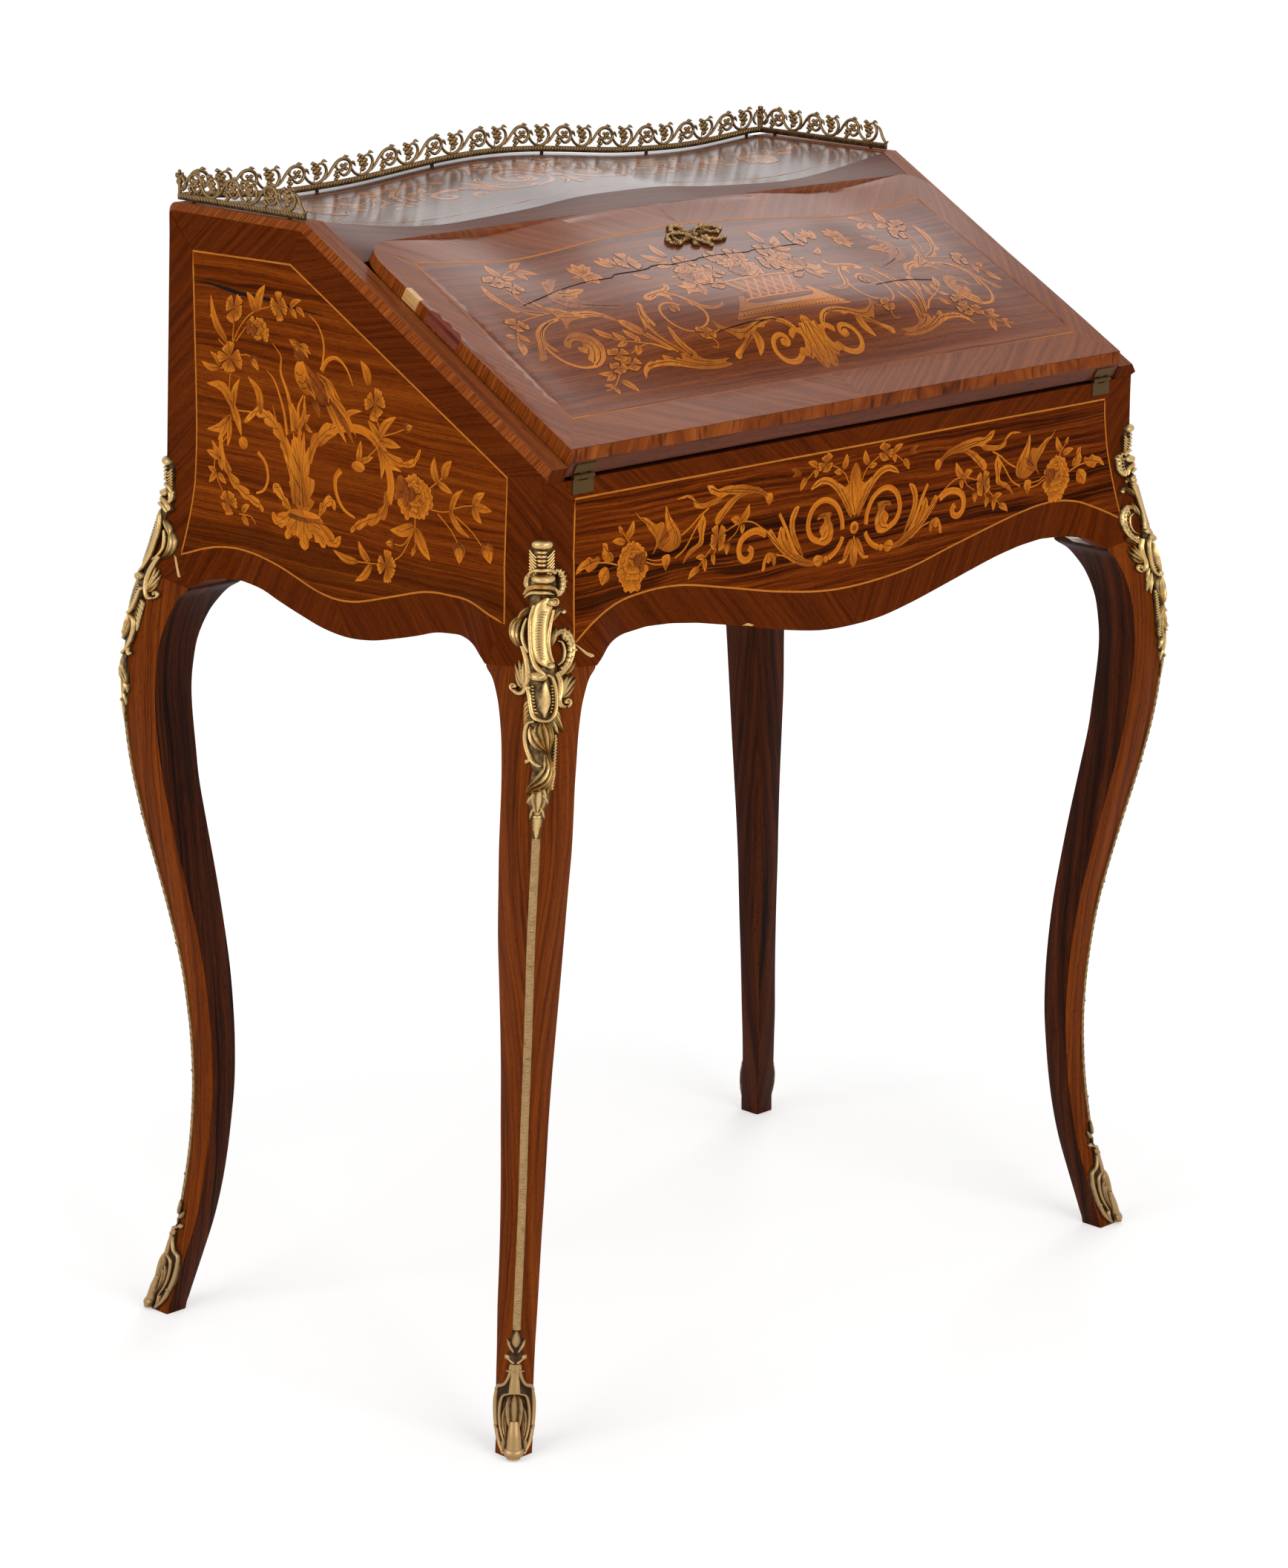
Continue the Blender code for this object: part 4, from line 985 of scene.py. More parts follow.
    def piece(self, name: str, finishes: Sequence[Finish], body: str, slot: str, replaces: Sequence[str] = (),
              sharp: float = 35.0) -> bpy.types.Object:
        """Makes the piece.

        Args:
            name: its name.
            finishes: finishes by number.
            body: body it moves with.
            slot: not used.
            replaces: solids that it stands for.
            sharp: degrees from which an edge stays sharp.

        Returns:
            The object.
        """
        mesh = bpy.data.meshes.new(name)
        mesh.from_pydata(self.verts, [], self.faces)
        grain = mesh.uv_layers.new(name="Grain")
        grain.data.foreach_set("uv", [k for uv in self.grains for k in uv])
        tone = mesh.attributes.new("tone", "FLOAT", "POINT")
        tone.data.foreach_set("value", self.tones)
        for finish in finishes:
            mesh.materials.append(finish.material())
        mesh.polygons.foreach_set("material_index", self.slots)
        mesh.polygons.foreach_set("use_smooth", [True] * len(mesh.polygons))
        mesh.set_sharp_from_angle(angle=math.radians(sharp))
        mesh.update()
        made = bpy.data.objects.new(name, mesh)
        bpy.context.scene.collection.objects.link(made)
        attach(made, body)
        if replaces:
            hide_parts(*replaces)
        LOG.info("%s: %d faces on %s", name, len(self.faces), body)
        return made


# ---------------------------------------------------------------- chased metal


class CornerFace(Surface):
    """Outer corner of a leg or post: distance across the corner as seen along its diagonal, and z."""

    def __init__(self, sx: int, sy: int, ease: float = 2.6) -> None:
        """Corner by its signs; the arris is eased by that many millimetres."""
        self.sx = sx
        self.sy = sy
        self.ease = ease
        self.flip = sx * sy < 0

    def at(self, u: float, v: float, h: float) -> Spot:
        """Point in metres."""
        z = v * MM
        if z < DESK.post_z:
            c, f, _, s = (Vector(p) for p in DESK.leg_section(max(z, 0.0)))
        else:
            c, f, s = Vector((0.0, 0.0)), Vector((DESK.post, 0.0)), Vector((0.0, DESK.post))
        front = (f - c).normalized()
        side = (s - c).normalized()
        soft = math.hypot(u, self.ease)
        along_f, along_s = (soft + u) / math.sqrt(2) * MM, (soft - u) / math.sqrt(2) * MM
        way = front * (1 + u / soft) - side * (1 - u / soft)
        out = Vector((way.y, -way.x)).normalized()
        p = c + front * along_f + side * along_s + out * h * MM
        return (self.sx * (DESK.half_w - p.x), self.sy * (DESK.half_d - p.y), z)


class Relief(Pile):
    """Chased metal on a surface, in millimetres: tubes, leaves, beads and plates."""

    def rail(self, rows: Sequence[Sequence[Spot]], tones: Sequence[float]) -> None:
        """Closed body through sections given as across, up and off the surface.

        Args:
            rows: sections of equal length.
            tones: tone of each point of a section.
        """
        count = len(rows[0])
        verts = [self.surface.at(*p) for row in rows for p in row]
        faces = walls(len(rows), count) + ends(len(rows), count)
        self.add(verts, faces, 0, lie(0.0), list(tones) * len(rows))

    def tube(self, points: Sequence[Point], width: Sequence[float], height: float, base: float = 0.0,
             per: int = 5, ribs: float = 0.0, round_back: bool = False) -> None:
        """Half-round bar along a curve.

        Args:
            points: places the curve passes.
            width: widths along the curve.
            height: height of its crest over the base.
            base: base over the surface.
            per: steps between two places.
            ribs: depth of a groove along the crest, as a share of the height.
            round_back: whether the back is round as well.
        """
        path = spline(points, per)
        ways = headings(path)
        n = len(path) - 1
        steps = 8
        rows = []
        tones: list[float] = []
        for k, ((x, y), (dx, dy)) in enumerate(zip(path, ways)):
            share = k / n * (len(width) - 1)
            i = min(int(share), len(width) - 2) if len(width) > 1 else 0
            w = width[i] + (width[min(i + 1, len(width) - 1)] - width[i]) * (share - i)
            tall = height * min(1.0, w / max(width) + 0.25)
            row: list[Spot] = []
            tones = []
            for j in range(steps + 1):
                phi = math.pi * j / steps
                groove = 1 - ribs * math.exp(-((math.cos(phi) / 0.3) ** 2))
                row.append((x - dy * math.cos(phi) * w / 2, y + dx * math.cos(phi) * w / 2,
                            base + math.sin(phi) * tall * groove))
                tones.append(0.25 + 0.75 * math.sin(phi) * groove)
            if round_back:
                for j in range(1, steps):
                    phi = math.pi + math.pi * j / steps
                    row.append((x - dy * math.cos(phi) * w / 2, y + dx * math.cos(phi) * w / 2,
                                base + math.sin(phi) * tall))
                    tones.append(0.25 - 0.6 * math.sin(phi))
            else:
                row += [(x + dy * w / 2, y - dx * w / 2, -0.6), (x - dy * w / 2, y + dx * w / 2, -0.6)]
                tones += [0.1, 0.1]
            rows.append(row[::-1])
        self.rail(rows, tones[::-1])

    def leaf(self, points: Sequence[Point], width: float, height: float, base: float = 0.0, ribs: int = 3,
             full: float = 0.4, back: float = -0.6) -> None:
        """Domed leaf with ribs along a curve, pointed at its tip.

        Args:
            points: middle line from root to tip.
            width: greatest width.
            height: height of the ribs.
            base: base over the surface.
            ribs: how many ribs.
            full: where along the leaf it is widest.
            back: underside.
        """
        path = spline(points, 5)
        ways = headings(path)
        n = len(path) - 1
        steps = 4 * ribs
        rows = []
        tones: list[float] = []
        for k, ((x, y), (dx, dy)) in enumerate(zip(path, ways)):
            t = k / n
            swell = math.sin(math.pi * t ** (math.log(0.5) / math.log(full)))
            w = width * (0.12 + 0.88 * max(swell, 0.0))
            row: list[Spot] = []
            tones = []
            for j in range(steps + 1):
                v = 1 - 2 * j / steps
                crest = 0.62 + 0.38 * math.cos(math.pi * v * ribs) * (1 if ribs % 2 else -1)
                tall = height * math.sqrt(max(1 - v * v * 0.92, 0.05)) * crest * (0.55 + 0.45 * swell)
                row.append((x - dy * v * w / 2, y + dx * v * w / 2, base + tall))
                tones.append(0.15 + 0.85 * crest * (1 - 0.5 * abs(v)))
            row += [(x + dy * w / 2, y - dx * w / 2, back), (x - dy * w / 2, y + dx * w / 2, back)]
            tones += [0.05, 0.05]
            rows.append(row[::-1])
        self.rail(rows, tones[::-1])

    def bead(self, centre: Point, radius: Point, height: float, base: float = 0.0) -> None:
        """Small dome."""
        around, up = 12, 5
        verts: list[Spot] = []
        tones: list[float] = []
        for k in range(up + 1):
            phi = math.pi / 2 * k / up
            for j in range(around):
                a = 2 * math.pi * j / around
                spread = max(math.cos(phi), 0.03)
                verts.append(self.surface.at(centre[0] + radius[0] * spread * math.cos(a),
                                             centre[1] + radius[1] * spread * math.sin(a),
                                             base + height * math.sin(phi) if k else -0.6))
                tones.append(0.1 + 0.9 * math.sin(phi))
        self.add(verts, walls(up + 1, around) + ends(up + 1, around), 0, lie(0.0), tones)

    def curl(self, centre: Point, radius: float, start: float, turns: float, width: float, height: float,
             base: float = 0.0) -> None:
        """Volute: a bar that winds in to a bead.

        Args:
            centre: middle of the volute.
            radius: outer radius.
            start: degrees at its outer end.
            turns: how many turns, negative the other way round.
            width: bar width.
            height: bar height.
            base: base over the surface.
        """
        count = max(int(abs(turns) * 10), 5)
        points = []
        for k in range(count + 1):
            a = math.radians(start + 360 * turns * k / count)
            r = radius * (1 - 0.8 * k / count)
            points.append((centre[0] + r * math.cos(a), centre[1] + r * math.sin(a)))
        self.tube(points, (width, width, width * 0.6), height, base, 2)
        self.bead(centre, (radius * 0.36, radius * 0.36), height * 1.15, base)

    def plate(self, outline: Sequence[Point], height: float, tone: float = 0.1) -> None:
        """Flat backing plate."""
        self.slab(outline, 0, 0.0, height, -0.6, tone, 4.0)


# ---------------------------------------------------------------- case


@dataclass
class SidePanel:
    """One side of the case with its chamfered edge, bands and stringing, in millimetres."""

    sign: int
    joint: float = 228.0
    chamfer: float = 6.0
    chamfer_in: float = 4.5
    string_w: float = 1.5
    string_top: Rows = ((394, 897.5), (278.5, 900), (37, 769), (38.2, 702), (34.3, 680), (30, 660))
    string_low: Rows = ((30, 660), (69.5, 668), (95, 669), (126, 667), (166, 656), (209, 645), (245, 646),
                        (292, 659), (329, 665), (364, 664), (400, 653))
    string_rear: Rows = ((400, 653), (397.5, 676), (395, 702), (391.5, 753), (392.5, 830), (394, 897.5))

    def outline(self) -> list[Point]:
        """Panel outline: y behind the apron face, and z."""
        d, e = 2000 * DESK.half_d, 1000 * DESK.edge_z
        lo = 1000 * DESK.post + 0.3
        span = d / 2 - lo
        half = DESK.lower_edge(DESK.side_edge)
        edge = [(d / 2 + span * u, e + 1000 * z) for u, z in half]
        edge += [(d / 2 - span * u, e + 1000 * z) for u, z in half[-2::-1]]
        rear = [turned((d - 9, 933), -k * 15, (d - 9, 924)) for k in range(7)]
        return [(lo, 700.3), (0, 700.3), (0, 769.6), (-4.7, 780), (1000 * DESK.slope_top_y, 933), *rear,
                (d, 700.3), (d - lo, 700.3), *edge]

    def inset(self, p: Point, k: int) -> Point:
        """Outline point moved in by the chamfer where the edge has one."""
        c = self.chamfer
        tan = math.tan(DESK.theta)
        drop = c / math.cos(DESK.theta)
        if k == 3:
            return (p[0], p[1] - drop)
        if k == 4:
            return ((933 - c - 780 + drop) / tan - 4.7, 933 - c)
        if 5 <= k <= 11:
            y, z = p
            d = 2000 * DESK.half_d
            return (d - 9 + (y - d + 9) * 0.3, 924 + (z - 924) * (9 - c) / 9)
        return p

    def core(self) -> bpy.types.Object:
        """Board with the crossbanded chamfer along its top and slope."""
        pile = Pile()
        line = self.outline()
        inner = 1000 * (DESK.half_w - DESK.side_t)
        outer = 1000 * DESK.half_w

        def ring(points: Sequence[Point], x: float) -> list[Spot]:
            """One ring of the board."""
            return [(self.sign * x * MM, y * MM - DESK.half_d, z * MM) for y, z in points]
        flat = [self.inset(p, k) for k, p in enumerate(line)]
        rings = [ring(line, inner), ring(line, outer - self.chamfer_in), ring(flat, outer)]
        if self.sign < 0:
            rings = [r[::-1] for r in rings]
        n = len(line)

        def slot_of(r: int, i: int) -> int:
            """Crossband on the chamfer, satin wood on the slope and dark wood on the other edges."""
            k = n - 2 - i if self.sign < 0 else i
            if not 3 <= k % n <= 10:
                return 2
            return 1 if r == 1 else 3

        def grain(p: Spot, normal: Vector) -> Point:
            """Grain across the chamfer and along the edges."""
            along = p[1] * 0.87 + p[2] * 0.49
            if abs(normal.x) > 0.15 * normal.length:
                return (abs(p[0]) + 0.35 * along, along)
            return (along, p[0])
        pile.loft(rings, 0, grain, slot_of, (0, 2))
        tag = hand(self.sign)
        return pile.piece(f"{tag}_side_board", (INSIDE, EDGE, BAND, SLOPE), "case", "rosewood",
                          (f"{tag}_side_panel",))

    def strings(self) -> list[Point]:
        """Closed line of the stringing."""
        low = spline(self.string_low, 5)
        rear = spline(self.string_rear, 5)
        return [*self.string_top[:-1], *low[:-1], *rear[:-1]]

    def veneers(self) -> bpy.types.Object:
        """Field, mitred bands and stringing."""
        pile = Pile(SideFace(self.sign))
        string = self.strings()
        pile.slab(string, 0, 0.0, tone=0.2)
        line = self.outline()
        top = [self.inset(p, k) for k, p in enumerate(line)]
        low = spline(self.string_low, 5)
        rear = spline(self.string_rear, 5)
        edge = line[14:]
        middle = nearest(edge, 1000 * DESK.half_d)
        cut = nearest(low, self.joint)
        post = [(-1000 * table(DESK.leg, z), 1000 * z) for z in (0.634, 0.645, 0.655, 0.668, 0.68, 0.69,
                0.70)]
        rear_post = [(428 - y, z) for y, z in post]
        a, b, c = self.string_top[0], self.string_top[1], self.string_top[2]
        slope_end = (0.0, 780 + 4.7 * math.tan(DESK.theta) - self.chamfer / math.cos(DESK.theta))
        bands = (
            ([a, b, top[4], *top[5:11]], -40.0, 0.3),
            ([b, c, slope_end, top[4]], -11.0, 0.6),
            ([*self.string_top[2:], edge[-1], *post, (0.0, 700.3), slope_end], 36.0, 0.45),
            ([*low[:cut + 1], *edge[middle:]], 48.0, 0.7),
            ([*low[cut:], edge[0], *edge[1:middle + 1]], -62.0, 0.15),
            ([*rear, *top[9:12], (428.0, 700.3), *rear_post[::-1], edge[0]], -42.0, 0.8),
        )
        for outline, turn, tone in bands:
            pile.slab(outline, 1, turn, tone=tone)
        reach = 1000 * DESK.flare + 0.5
        pile.flare([p for p in edge if p[0] < reach][::-1], 1)
        pile.flare([p for p in edge if p[0] > 2000 * DESK.half_d - reach][::-1], 1)
        pile.band(string, self.string_w, 2, True, 0.36)
        return pile.piece(f"{hand(self.sign)}_side_veneer", (FIELD_SIDE, BAND, STRING), "case", "rosewood")

    def build(self) -> None:
        """Makes the side."""
        self.core()
        self.veneers()


@dataclass
class Apron:
    """Front apron: bands, field and stringing over the solid board, in millimetres."""

    joint: float = 8.0
    string_w: float = 1.5
    string_right: Rows = ((315.5, 753), (317, 735), (321, 712), (325.5, 684), (330.5, 650))
    string_left: Rows = ((-327, 647), (-319, 690), (-317, 712), (-316, 754))
    string_low: Rows = ((330.5, 650), (303, 662), (278, 671), (245, 674), (204, 670), (128, 656), (59, 643),
                        (-18, 640), (-84, 648), (-148, 661), (-202, 671), (-249, 671), (-297, 662),
                        (-327, 647))

    def veneers(self) -> bpy.types.Object:
        """Field, bands and stringing."""
        pile = Pile(FrontFace())
        low = spline(self.string_low, 6)
        right = spline(self.string_right, 4)
        rise = spline(self.string_left, 4)
        string = [rise[-1], *right[:-1], *low[:-1], *rise[:-1]]
        pile.slab(string[::-1], 0, 0.0, tone=0.35)
        e, half = 1000 * DESK.edge_z, 1000 * (DESK.half_w - DESK.post) - 0.3
        side = DESK.lower_edge(DESK.apron_edge)
        edge = [(half * u, e + 1000 * z) for u, z in side]
        edge += [(-half * u, e + 1000 * z) for u, z in side[-2::-1]]
        middle = len(side) - 1
        cut = nearest(low, self.joint)
        post = [(350 + 1000 * table(DESK.leg, z), 1000 * z) for z in (0.634, 0.645, 0.655, 0.668, 0.68,
                0.69, 0.70)]
        left = [(-x, z) for x, z in post]
        top = 1000 * DESK.apron_top
        bands = (
            ([(-350, top), (-350, 754.5), (-316, 754), (4, 753.5), (4, top)], -38.0, 0.3),
            ([(4, top), (4, 753.5), (315.5, 753), (350, 753.5), (350, top)], 36.0, 0.7),
            ([(315.5, 753), *right[1:], edge[0], *post, (350, 700.3), (350, 753.5)], 50.0, 0.55),
            ([*rise[::-1], edge[-1], *left, (-350, 700.3), (-350, 754.5)], -46.0, 0.2),
            ([*low[:cut + 1], *edge[middle::-1]], 66.0, 0.8),
            ([*low[cut:], *edge[:middle - 1:-1]], -46.0, 0.1),
        )
        for outline, turn, tone in bands:
            pile.slab(outline, 1, turn, tone=tone)
        reach = 1000 * (DESK.half_w - DESK.flare) - 0.5
        pile.flare([p for p in edge if p[0] < -reach][::-1], 1)
        pile.flare([p for p in edge if p[0] > reach][::-1], 1)
        pile.band(string, self.string_w, 2, True, 0.36)
        return pile.piece("apron_veneer", (FIELD_FRONT, BAND, STRING), "case", "rosewood")

    def build(self) -> None:
        """Makes the apron's face."""
        self.veneers()


@dataclass
class Legs:
    """Four cabriole legs with softened edges."""

    levels: int = 120
    soften: float = 0.0016

    def ring(self, z: float, sx: int, sy: int) -> list[Spot]:
        """Section of a leg with its corners softened."""
        corners = DESK.leg_section(z)
        out: list[Spot] = []
        for k, p in enumerate(corners):
            before, after = corners[k - 1], corners[(k + 1) % 4]
            ends = []
            for q in (before, after):
                long = math.hypot(q[0] - p[0], q[1] - p[1]) or 1.0
                share = min(self.soften / long, 0.4)
                ends.append((p[0] + (q[0] - p[0]) * share, p[1] + (q[1] - p[1]) * share))
            mid = tuple(0.25 * ends[0][j] + 0.5 * p[j] + 0.25 * ends[1][j] for j in (0, 1))
            for x, y in (ends[0], mid, ends[1]):
                out.append((sx * (DESK.half_w - x), sy * (DESK.half_d - y), z))
        return out if sx * sy < 0 else out[::-1]

    def build(self) -> None:
        """Makes the legs."""
        for tag, sx, sy in CORNERS:
            pile = Pile()
            zs = sorted({*(DESK.post_z * k / self.levels for k in range(self.levels + 1)),
                         *(DESK.knee_top_z - 0.0015 * k for k in range(24))})
            turned_over = sx * sy > 0

            def finish(_: int, side: int) -> int:
                """Finish of a side: the two inner sides take a darker wood as painted shade."""
                return 1 if 4 <= ((10 - side) % 12 if turned_over else side) <= 9 else 0
            pile.loft([self.ring(z, sx, sy) for z in zs], 0, lie(90.0), finish,
                      tones=0.3 + 0.2 * sx + 0.1 * sy)
            pile.piece(f"veneered_leg_{tag}", (LEGWOOD, LEG_PAINTED_SHADE), "case", "rosewood", (f"leg_{tag}",))


@dataclass
class TopBoard:
    """Top board and the fixed rail above the fall, with their wave."""

    columns: int = 90
    mortise_half: float = 0.0113
    mortise_deep: float = 0.0088

    def build(self) -> None:
        """Makes the top and its rail."""
        half = DESK.half_w - DESK.side_t - 0.0003
        xs = [half * (2 * k / self.columns - 1) for k in range(self.columns + 1)]
        y0, y1 = DESK.slope_top_y, 2 * DESK.half_d
        ys = [y0 + (y1 - y0) * k / 24 for k in range(25)]
        pile = Pile()
        rings = []
        for x in xs:
            ring = [(x, y - DESK.half_d, DESK.top(x, y)) for y in ys]
            ring += [(x, y1 - DESK.half_d, 0.900), (x, y0 - DESK.half_d, 0.900)]
            rings.append(ring)
        pile.loft(rings, 0, lie(8.0), tones=0.4)
        pile.piece("top_board", (TOPWOOD,), "case", "rosewood", ("top_panel",))
        pile = Pile()
        rings = []
        low = DESK.fall_high - DESK.lap + 0.0003
        under = DESK.on_slope(0.0, low, -DESK.fall_in)[2]
        xs += [s * (self.mortise_half + u) for s in (-1, 1) for u in (0.0, 0.00005)]
        for x in sorted(xs):
            n = DESK.lip_under(x) - 0.0003
            back = y0 - DESK.half_d - 0.0003
            front = low + (self.mortise_deep if abs(x) < self.mortise_half + 0.00002 else 0.0)
            ring = [(x, DESK.on_slope(x, front, -DESK.fall_in)[1], under), DESK.on_slope(x, front, n)]
            start = DESK.on_slope(x, DESK.fall_high + 0.0005, n)
            end = (x, back, DESK.top(x, y0))
            ring += [tuple(a + (b - a) * k / 8 for a, b in zip(start, end)) for k in range(9)]
            rings.append([*ring, (x, back, under)])
        pile.loft(rings, 0, lie(-4.0), tones=0.8)
        pile.piece("slope_rail", (RAIL,), "case", "rosewood",
                   ("slope_rail_left", "slope_rail_right", "lock_rail_block"))


# ---------------------------------------------------------------- fall


@dataclass
class Fall:
    """Fall front: bombe board, bands, field and stringing, in millimetres."""

    string_w: float = 1.5
    margin: float = 56.0
    lock_h: float = 37.5
    lock_half: float = 30.0
    pocket: float = 7.2
    scroll: float = 15.0
    string: Rows = ((-297, 38), (297, 38), (294, 236), (262, 231.5), (225, 228), (190, 227.5), (150, 229),
                    (100, 231.5), (50, 236), (0, 238.5), (-50, 236.5), (-110, 232.5), (-150, 229.5),
                    (-190, 229), (-225, 230), (-262, 234), (-295, 238))

    def board(self) -> bpy.types.Object:
        """Board with its lip, edges and writing side."""
        pile = Pile()
        hw = DESK.fall_half
        r = DESK.fall_corner
        xs = [hw * (2 * k / 80 - 1) for k in range(81)]
        xs += [s * (hw - r * u) for s in (-1, 1) for u in (0.004, 0.03, 0.08, 0.15, 0.25, 0.4, 0.6)]
        xs += [s * (self.lock_half + u) * MM for s in (-1, 1) for u in (0.3, 0.35)]
        pocket = self.pocket * MM - DESK.fall_in
        first = DESK.fall_low + 0.0046
        rings = []
        for x in sorted(set(xs)):
            end = DESK.fall_top(x)
            body = end - DESK.lap
            ring = [DESK.on_slope(x, DESK.fall_low, -DESK.fall_in),
                    DESK.on_slope(x, DESK.fall_low, DESK.fall_proud - 0.0085)]
            for k in range(49):
                t = first + (end - first) * k / 48
                ring.append(DESK.on_slope(x, t, DESK.fall_n(x, t)))
            under = DESK.lip_under(x)
            locked = abs(x) < (self.lock_half + 0.32) * MM
            foot, inner = (body - self.lock_h * MM, pocket) if locked else (body,
                    0.5 * (pocket - DESK.fall_in))
            ring += [DESK.on_slope(x, t, n) for t, n in ((end, under), (body, under), (body, pocket),
                    (foot, inner), (foot, -DESK.fall_in))]
            rings.append(ring)

        def slot_of(_: int, i: int) -> int:
            """Edge band, face, writing side or plain front."""
            if 2 <= i < 50:
                return 1
            return {55: 2, 0: 3}.get(i, 0)

        def grain(p: Spot, normal: Vector) -> Point:
            """Grain across the edges, along the faces."""
            if abs(normal.x) > 0.7 * normal.length:
                return (p[2] * 0.87 - p[1] * 0.49, p[1] * 0.87 + p[2] * 0.49)
            if normal.y < -0.75 * normal.length:
                return (p[2] + 0.5 * p[0], p[0])
            return (p[0], p[1])
        pile.loft(rings, 0, grain, slot_of, (0, 0))
        return pile.piece("fall_board", (EDGE, FIELD_FALL, INSIDE, RAIL), "fall", "rosewood", ("fall_front",))

    def veneers(self) -> bpy.types.Object:
        """Field, bands and stringing."""
        pile = Pile(FallFace())
        line = [self.string[0], self.string[1], *spline(self.string[2:], 4)]
        pile.slab(line, 0, 0.0, tone=0.5)
        hw = 1000 * DESK.fall_half - 0.3
        low = 1000 * DESK.fall_low + 5.0
        corner = [(hw - 24.7 + 24.7 * math.sin(k * math.pi / 16),
                   1000 * DESK.fall_high - 25 + 24.7 * math.cos(k * math.pi / 16)) for k in range(9)]
        left = [(-x, t) for x, t in corner]
        top = spline(self.string[2:], 4)
        mid = nearest(top, 0.0)
        high = 1000 * DESK.fall_high - 0.3
        bands = (
            ([(-hw, low), (0, low), (0, 38), (-297, 38)], -30.0, 0.2),
            ([(0, low), (hw, low), (297, 38), (0, 38)], 32.0, 0.7),
            ([*top[mid::-1], corner[4], *corner[3::-1], (0, high)], 38.0, 0.5),
            ([*top[mid:], left[4], *left[3::-1], (0, high)], -38.0, 0.1),
            ([(hw, low), *corner[:3:-1], (294, 236), (297, 38)], 58.0, 0.9),
            ([(-hw, low), *left[:3:-1], (-295, 238), (-297, 38)], -58.0, 0.4),
        )
        for outline, turn, tone in bands:
            pile.slab(outline, 1, turn, tone=tone)
        pile.band(line, self.string_w, 2, True, 0.36)
        return pile.piece("fall_veneer", (FIELD_FALL, BAND_FALL, STRING), "fall", "rosewood")

    def wear(self) -> bpy.types.Object:
        """Pale repair and chipped veneer on the left edge, and the cracks across the field."""
        pile = Pile(FallFace())
        side = -1000 * DESK.fall_half
        pale = [(side - 0.3, 193), (side + 4.6, 193.6), (side + 5.0, 209.4), (side - 0.3, 210)]
        chip = [(side - 0.3, 181), (side + 3.0, 180), (side + 5.4, 174), (side + 3.6, 168),
                (side + 6.4, 162), (side + 4.2, 156), (side + 5.8, 150), (side + 3.0, 144),
                (side - 0.3, 142)]
        for slot, outline, low, high in ((0, pale, 193, 210), (1, chip, 142, 181)):
            pile.slab(outline, slot, 90.0, 0.45)
            rings = []
            for k in range(7):
                t = (low + (high - low) * k / 6) * MM
                n = DESK.fall_n(DESK.fall_half, t)
                rings.append([DESK.on_slope(x * MM, t, n + h) for x, h in ((side + 0.6, 0.0004),
                        (side - 0.4, 0.0004), (side - 0.4, -0.0095), (side + 0.6, -0.0095))])
            pile.loft(rings, slot, lie(30.0))
        for path, width in (
                (((-186, 181), (-172, 182.6), (-158, 183.4), (-140, 182.2), (-130, 182), (-127, 184.6),
                  (-120, 185), (-104, 184), (-88, 184.6), (-84, 186.6), (-70, 186.8), (-65, 184.4),
                  (-46, 185), (-32, 185.6), (-28, 187.4), (-8, 188), (12, 187.2), (30, 186.4), (36, 188.4),
                  (60, 187.4), (78, 189.2), (96, 189)), 0.6), (((-236, 170), (-210, 176), (-188, 181)),
                0.5), (((-96, 92), (-60, 95), (-20, 93.6)), 0.6), (((120, 120), (160, 124), (196, 122)),
                0.5)):
            line = spline(path, 3)
            n = len(line) - 1
            pile.band(line, [0.15 + width * math.sin(math.pi * (0.06 + 0.88 * k / n))
                             for k in range(n + 1)], 2, False, 0.75, 0.0)
        return pile.piece("fall_wear", (PATCH, CHIPPED, GAP_DARK), "fall", "rosewood")

    def writing_side(self) -> bpy.types.Object:
        """Leather with its tooled border in a crossbanded frame, and the lock's face plate."""
        pile = Pile(WritingSide())
        half, low, high = 1000 * DESK.fall_half, 1000 * DESK.fall_low, 1000 * (DESK.fall_high - DESK.lap)
        out = ((-half + 1, low + 1), (half - 1, low + 1), (half - 1, high - 16), (-half + 1, high - 16))
        wide, start, end = half - self.margin, low + 34, high - self.lock_h - 15
        hide = ((-wide, start), (wide, start), (wide, end), (-wide, end))
        for k in range(4):
            side = [out[k], out[(k + 1) % 4], hide[(k + 1) % 4], hide[k]]
            pile.slab(side, 0, 90.0 if k % 2 == 0 else 0.0, 0.22, tone=0.2 + 0.2 * k)
        pile.slab(hide, 1, 0.0, 0.26)
        pile.band(list(hide), 1.6, 3, True, 0.34)
        for inset, width in ((5.0, 0.9), (15.0, 0.5), (17.0, 0.5)):
            x, t0, t1 = wide - inset, start + inset, end - inset
            pile.band([(-x, t0), (x, t0), (x, t1), (-x, t1)], width, 2, True, 0.32)
        for t in (start + 10, end - 10):
            self.tool(pile, [(-wide + 10, t), (wide - 10, t)])
        for x in (-wide + 10, wide - 10):
            self.tool(pile, [(x, start + 10), (x, end - 10)])
        plate = [(-30, high - self.lock_h), (30, high - self.lock_h), (30, high - 0.3), (-30, high - 0.3)]
        pile.slab(plate, 4, 0.0, 0.4)
        for x, t in ((-25, high - 6), (25, high - 6), (-25, high - 31), (25, high - 31)):
            pile.slab(rounded((x, t), (2.4, 2.4), 12), 5, 0.0, 0.55)
        return pile.piece("fall_writing_side", (SLOPE, LEATHER, TOOLED, STRING, PLAIN_BRASS, IRON), "fall",
                          "leather", ("fall_writing_leather",))

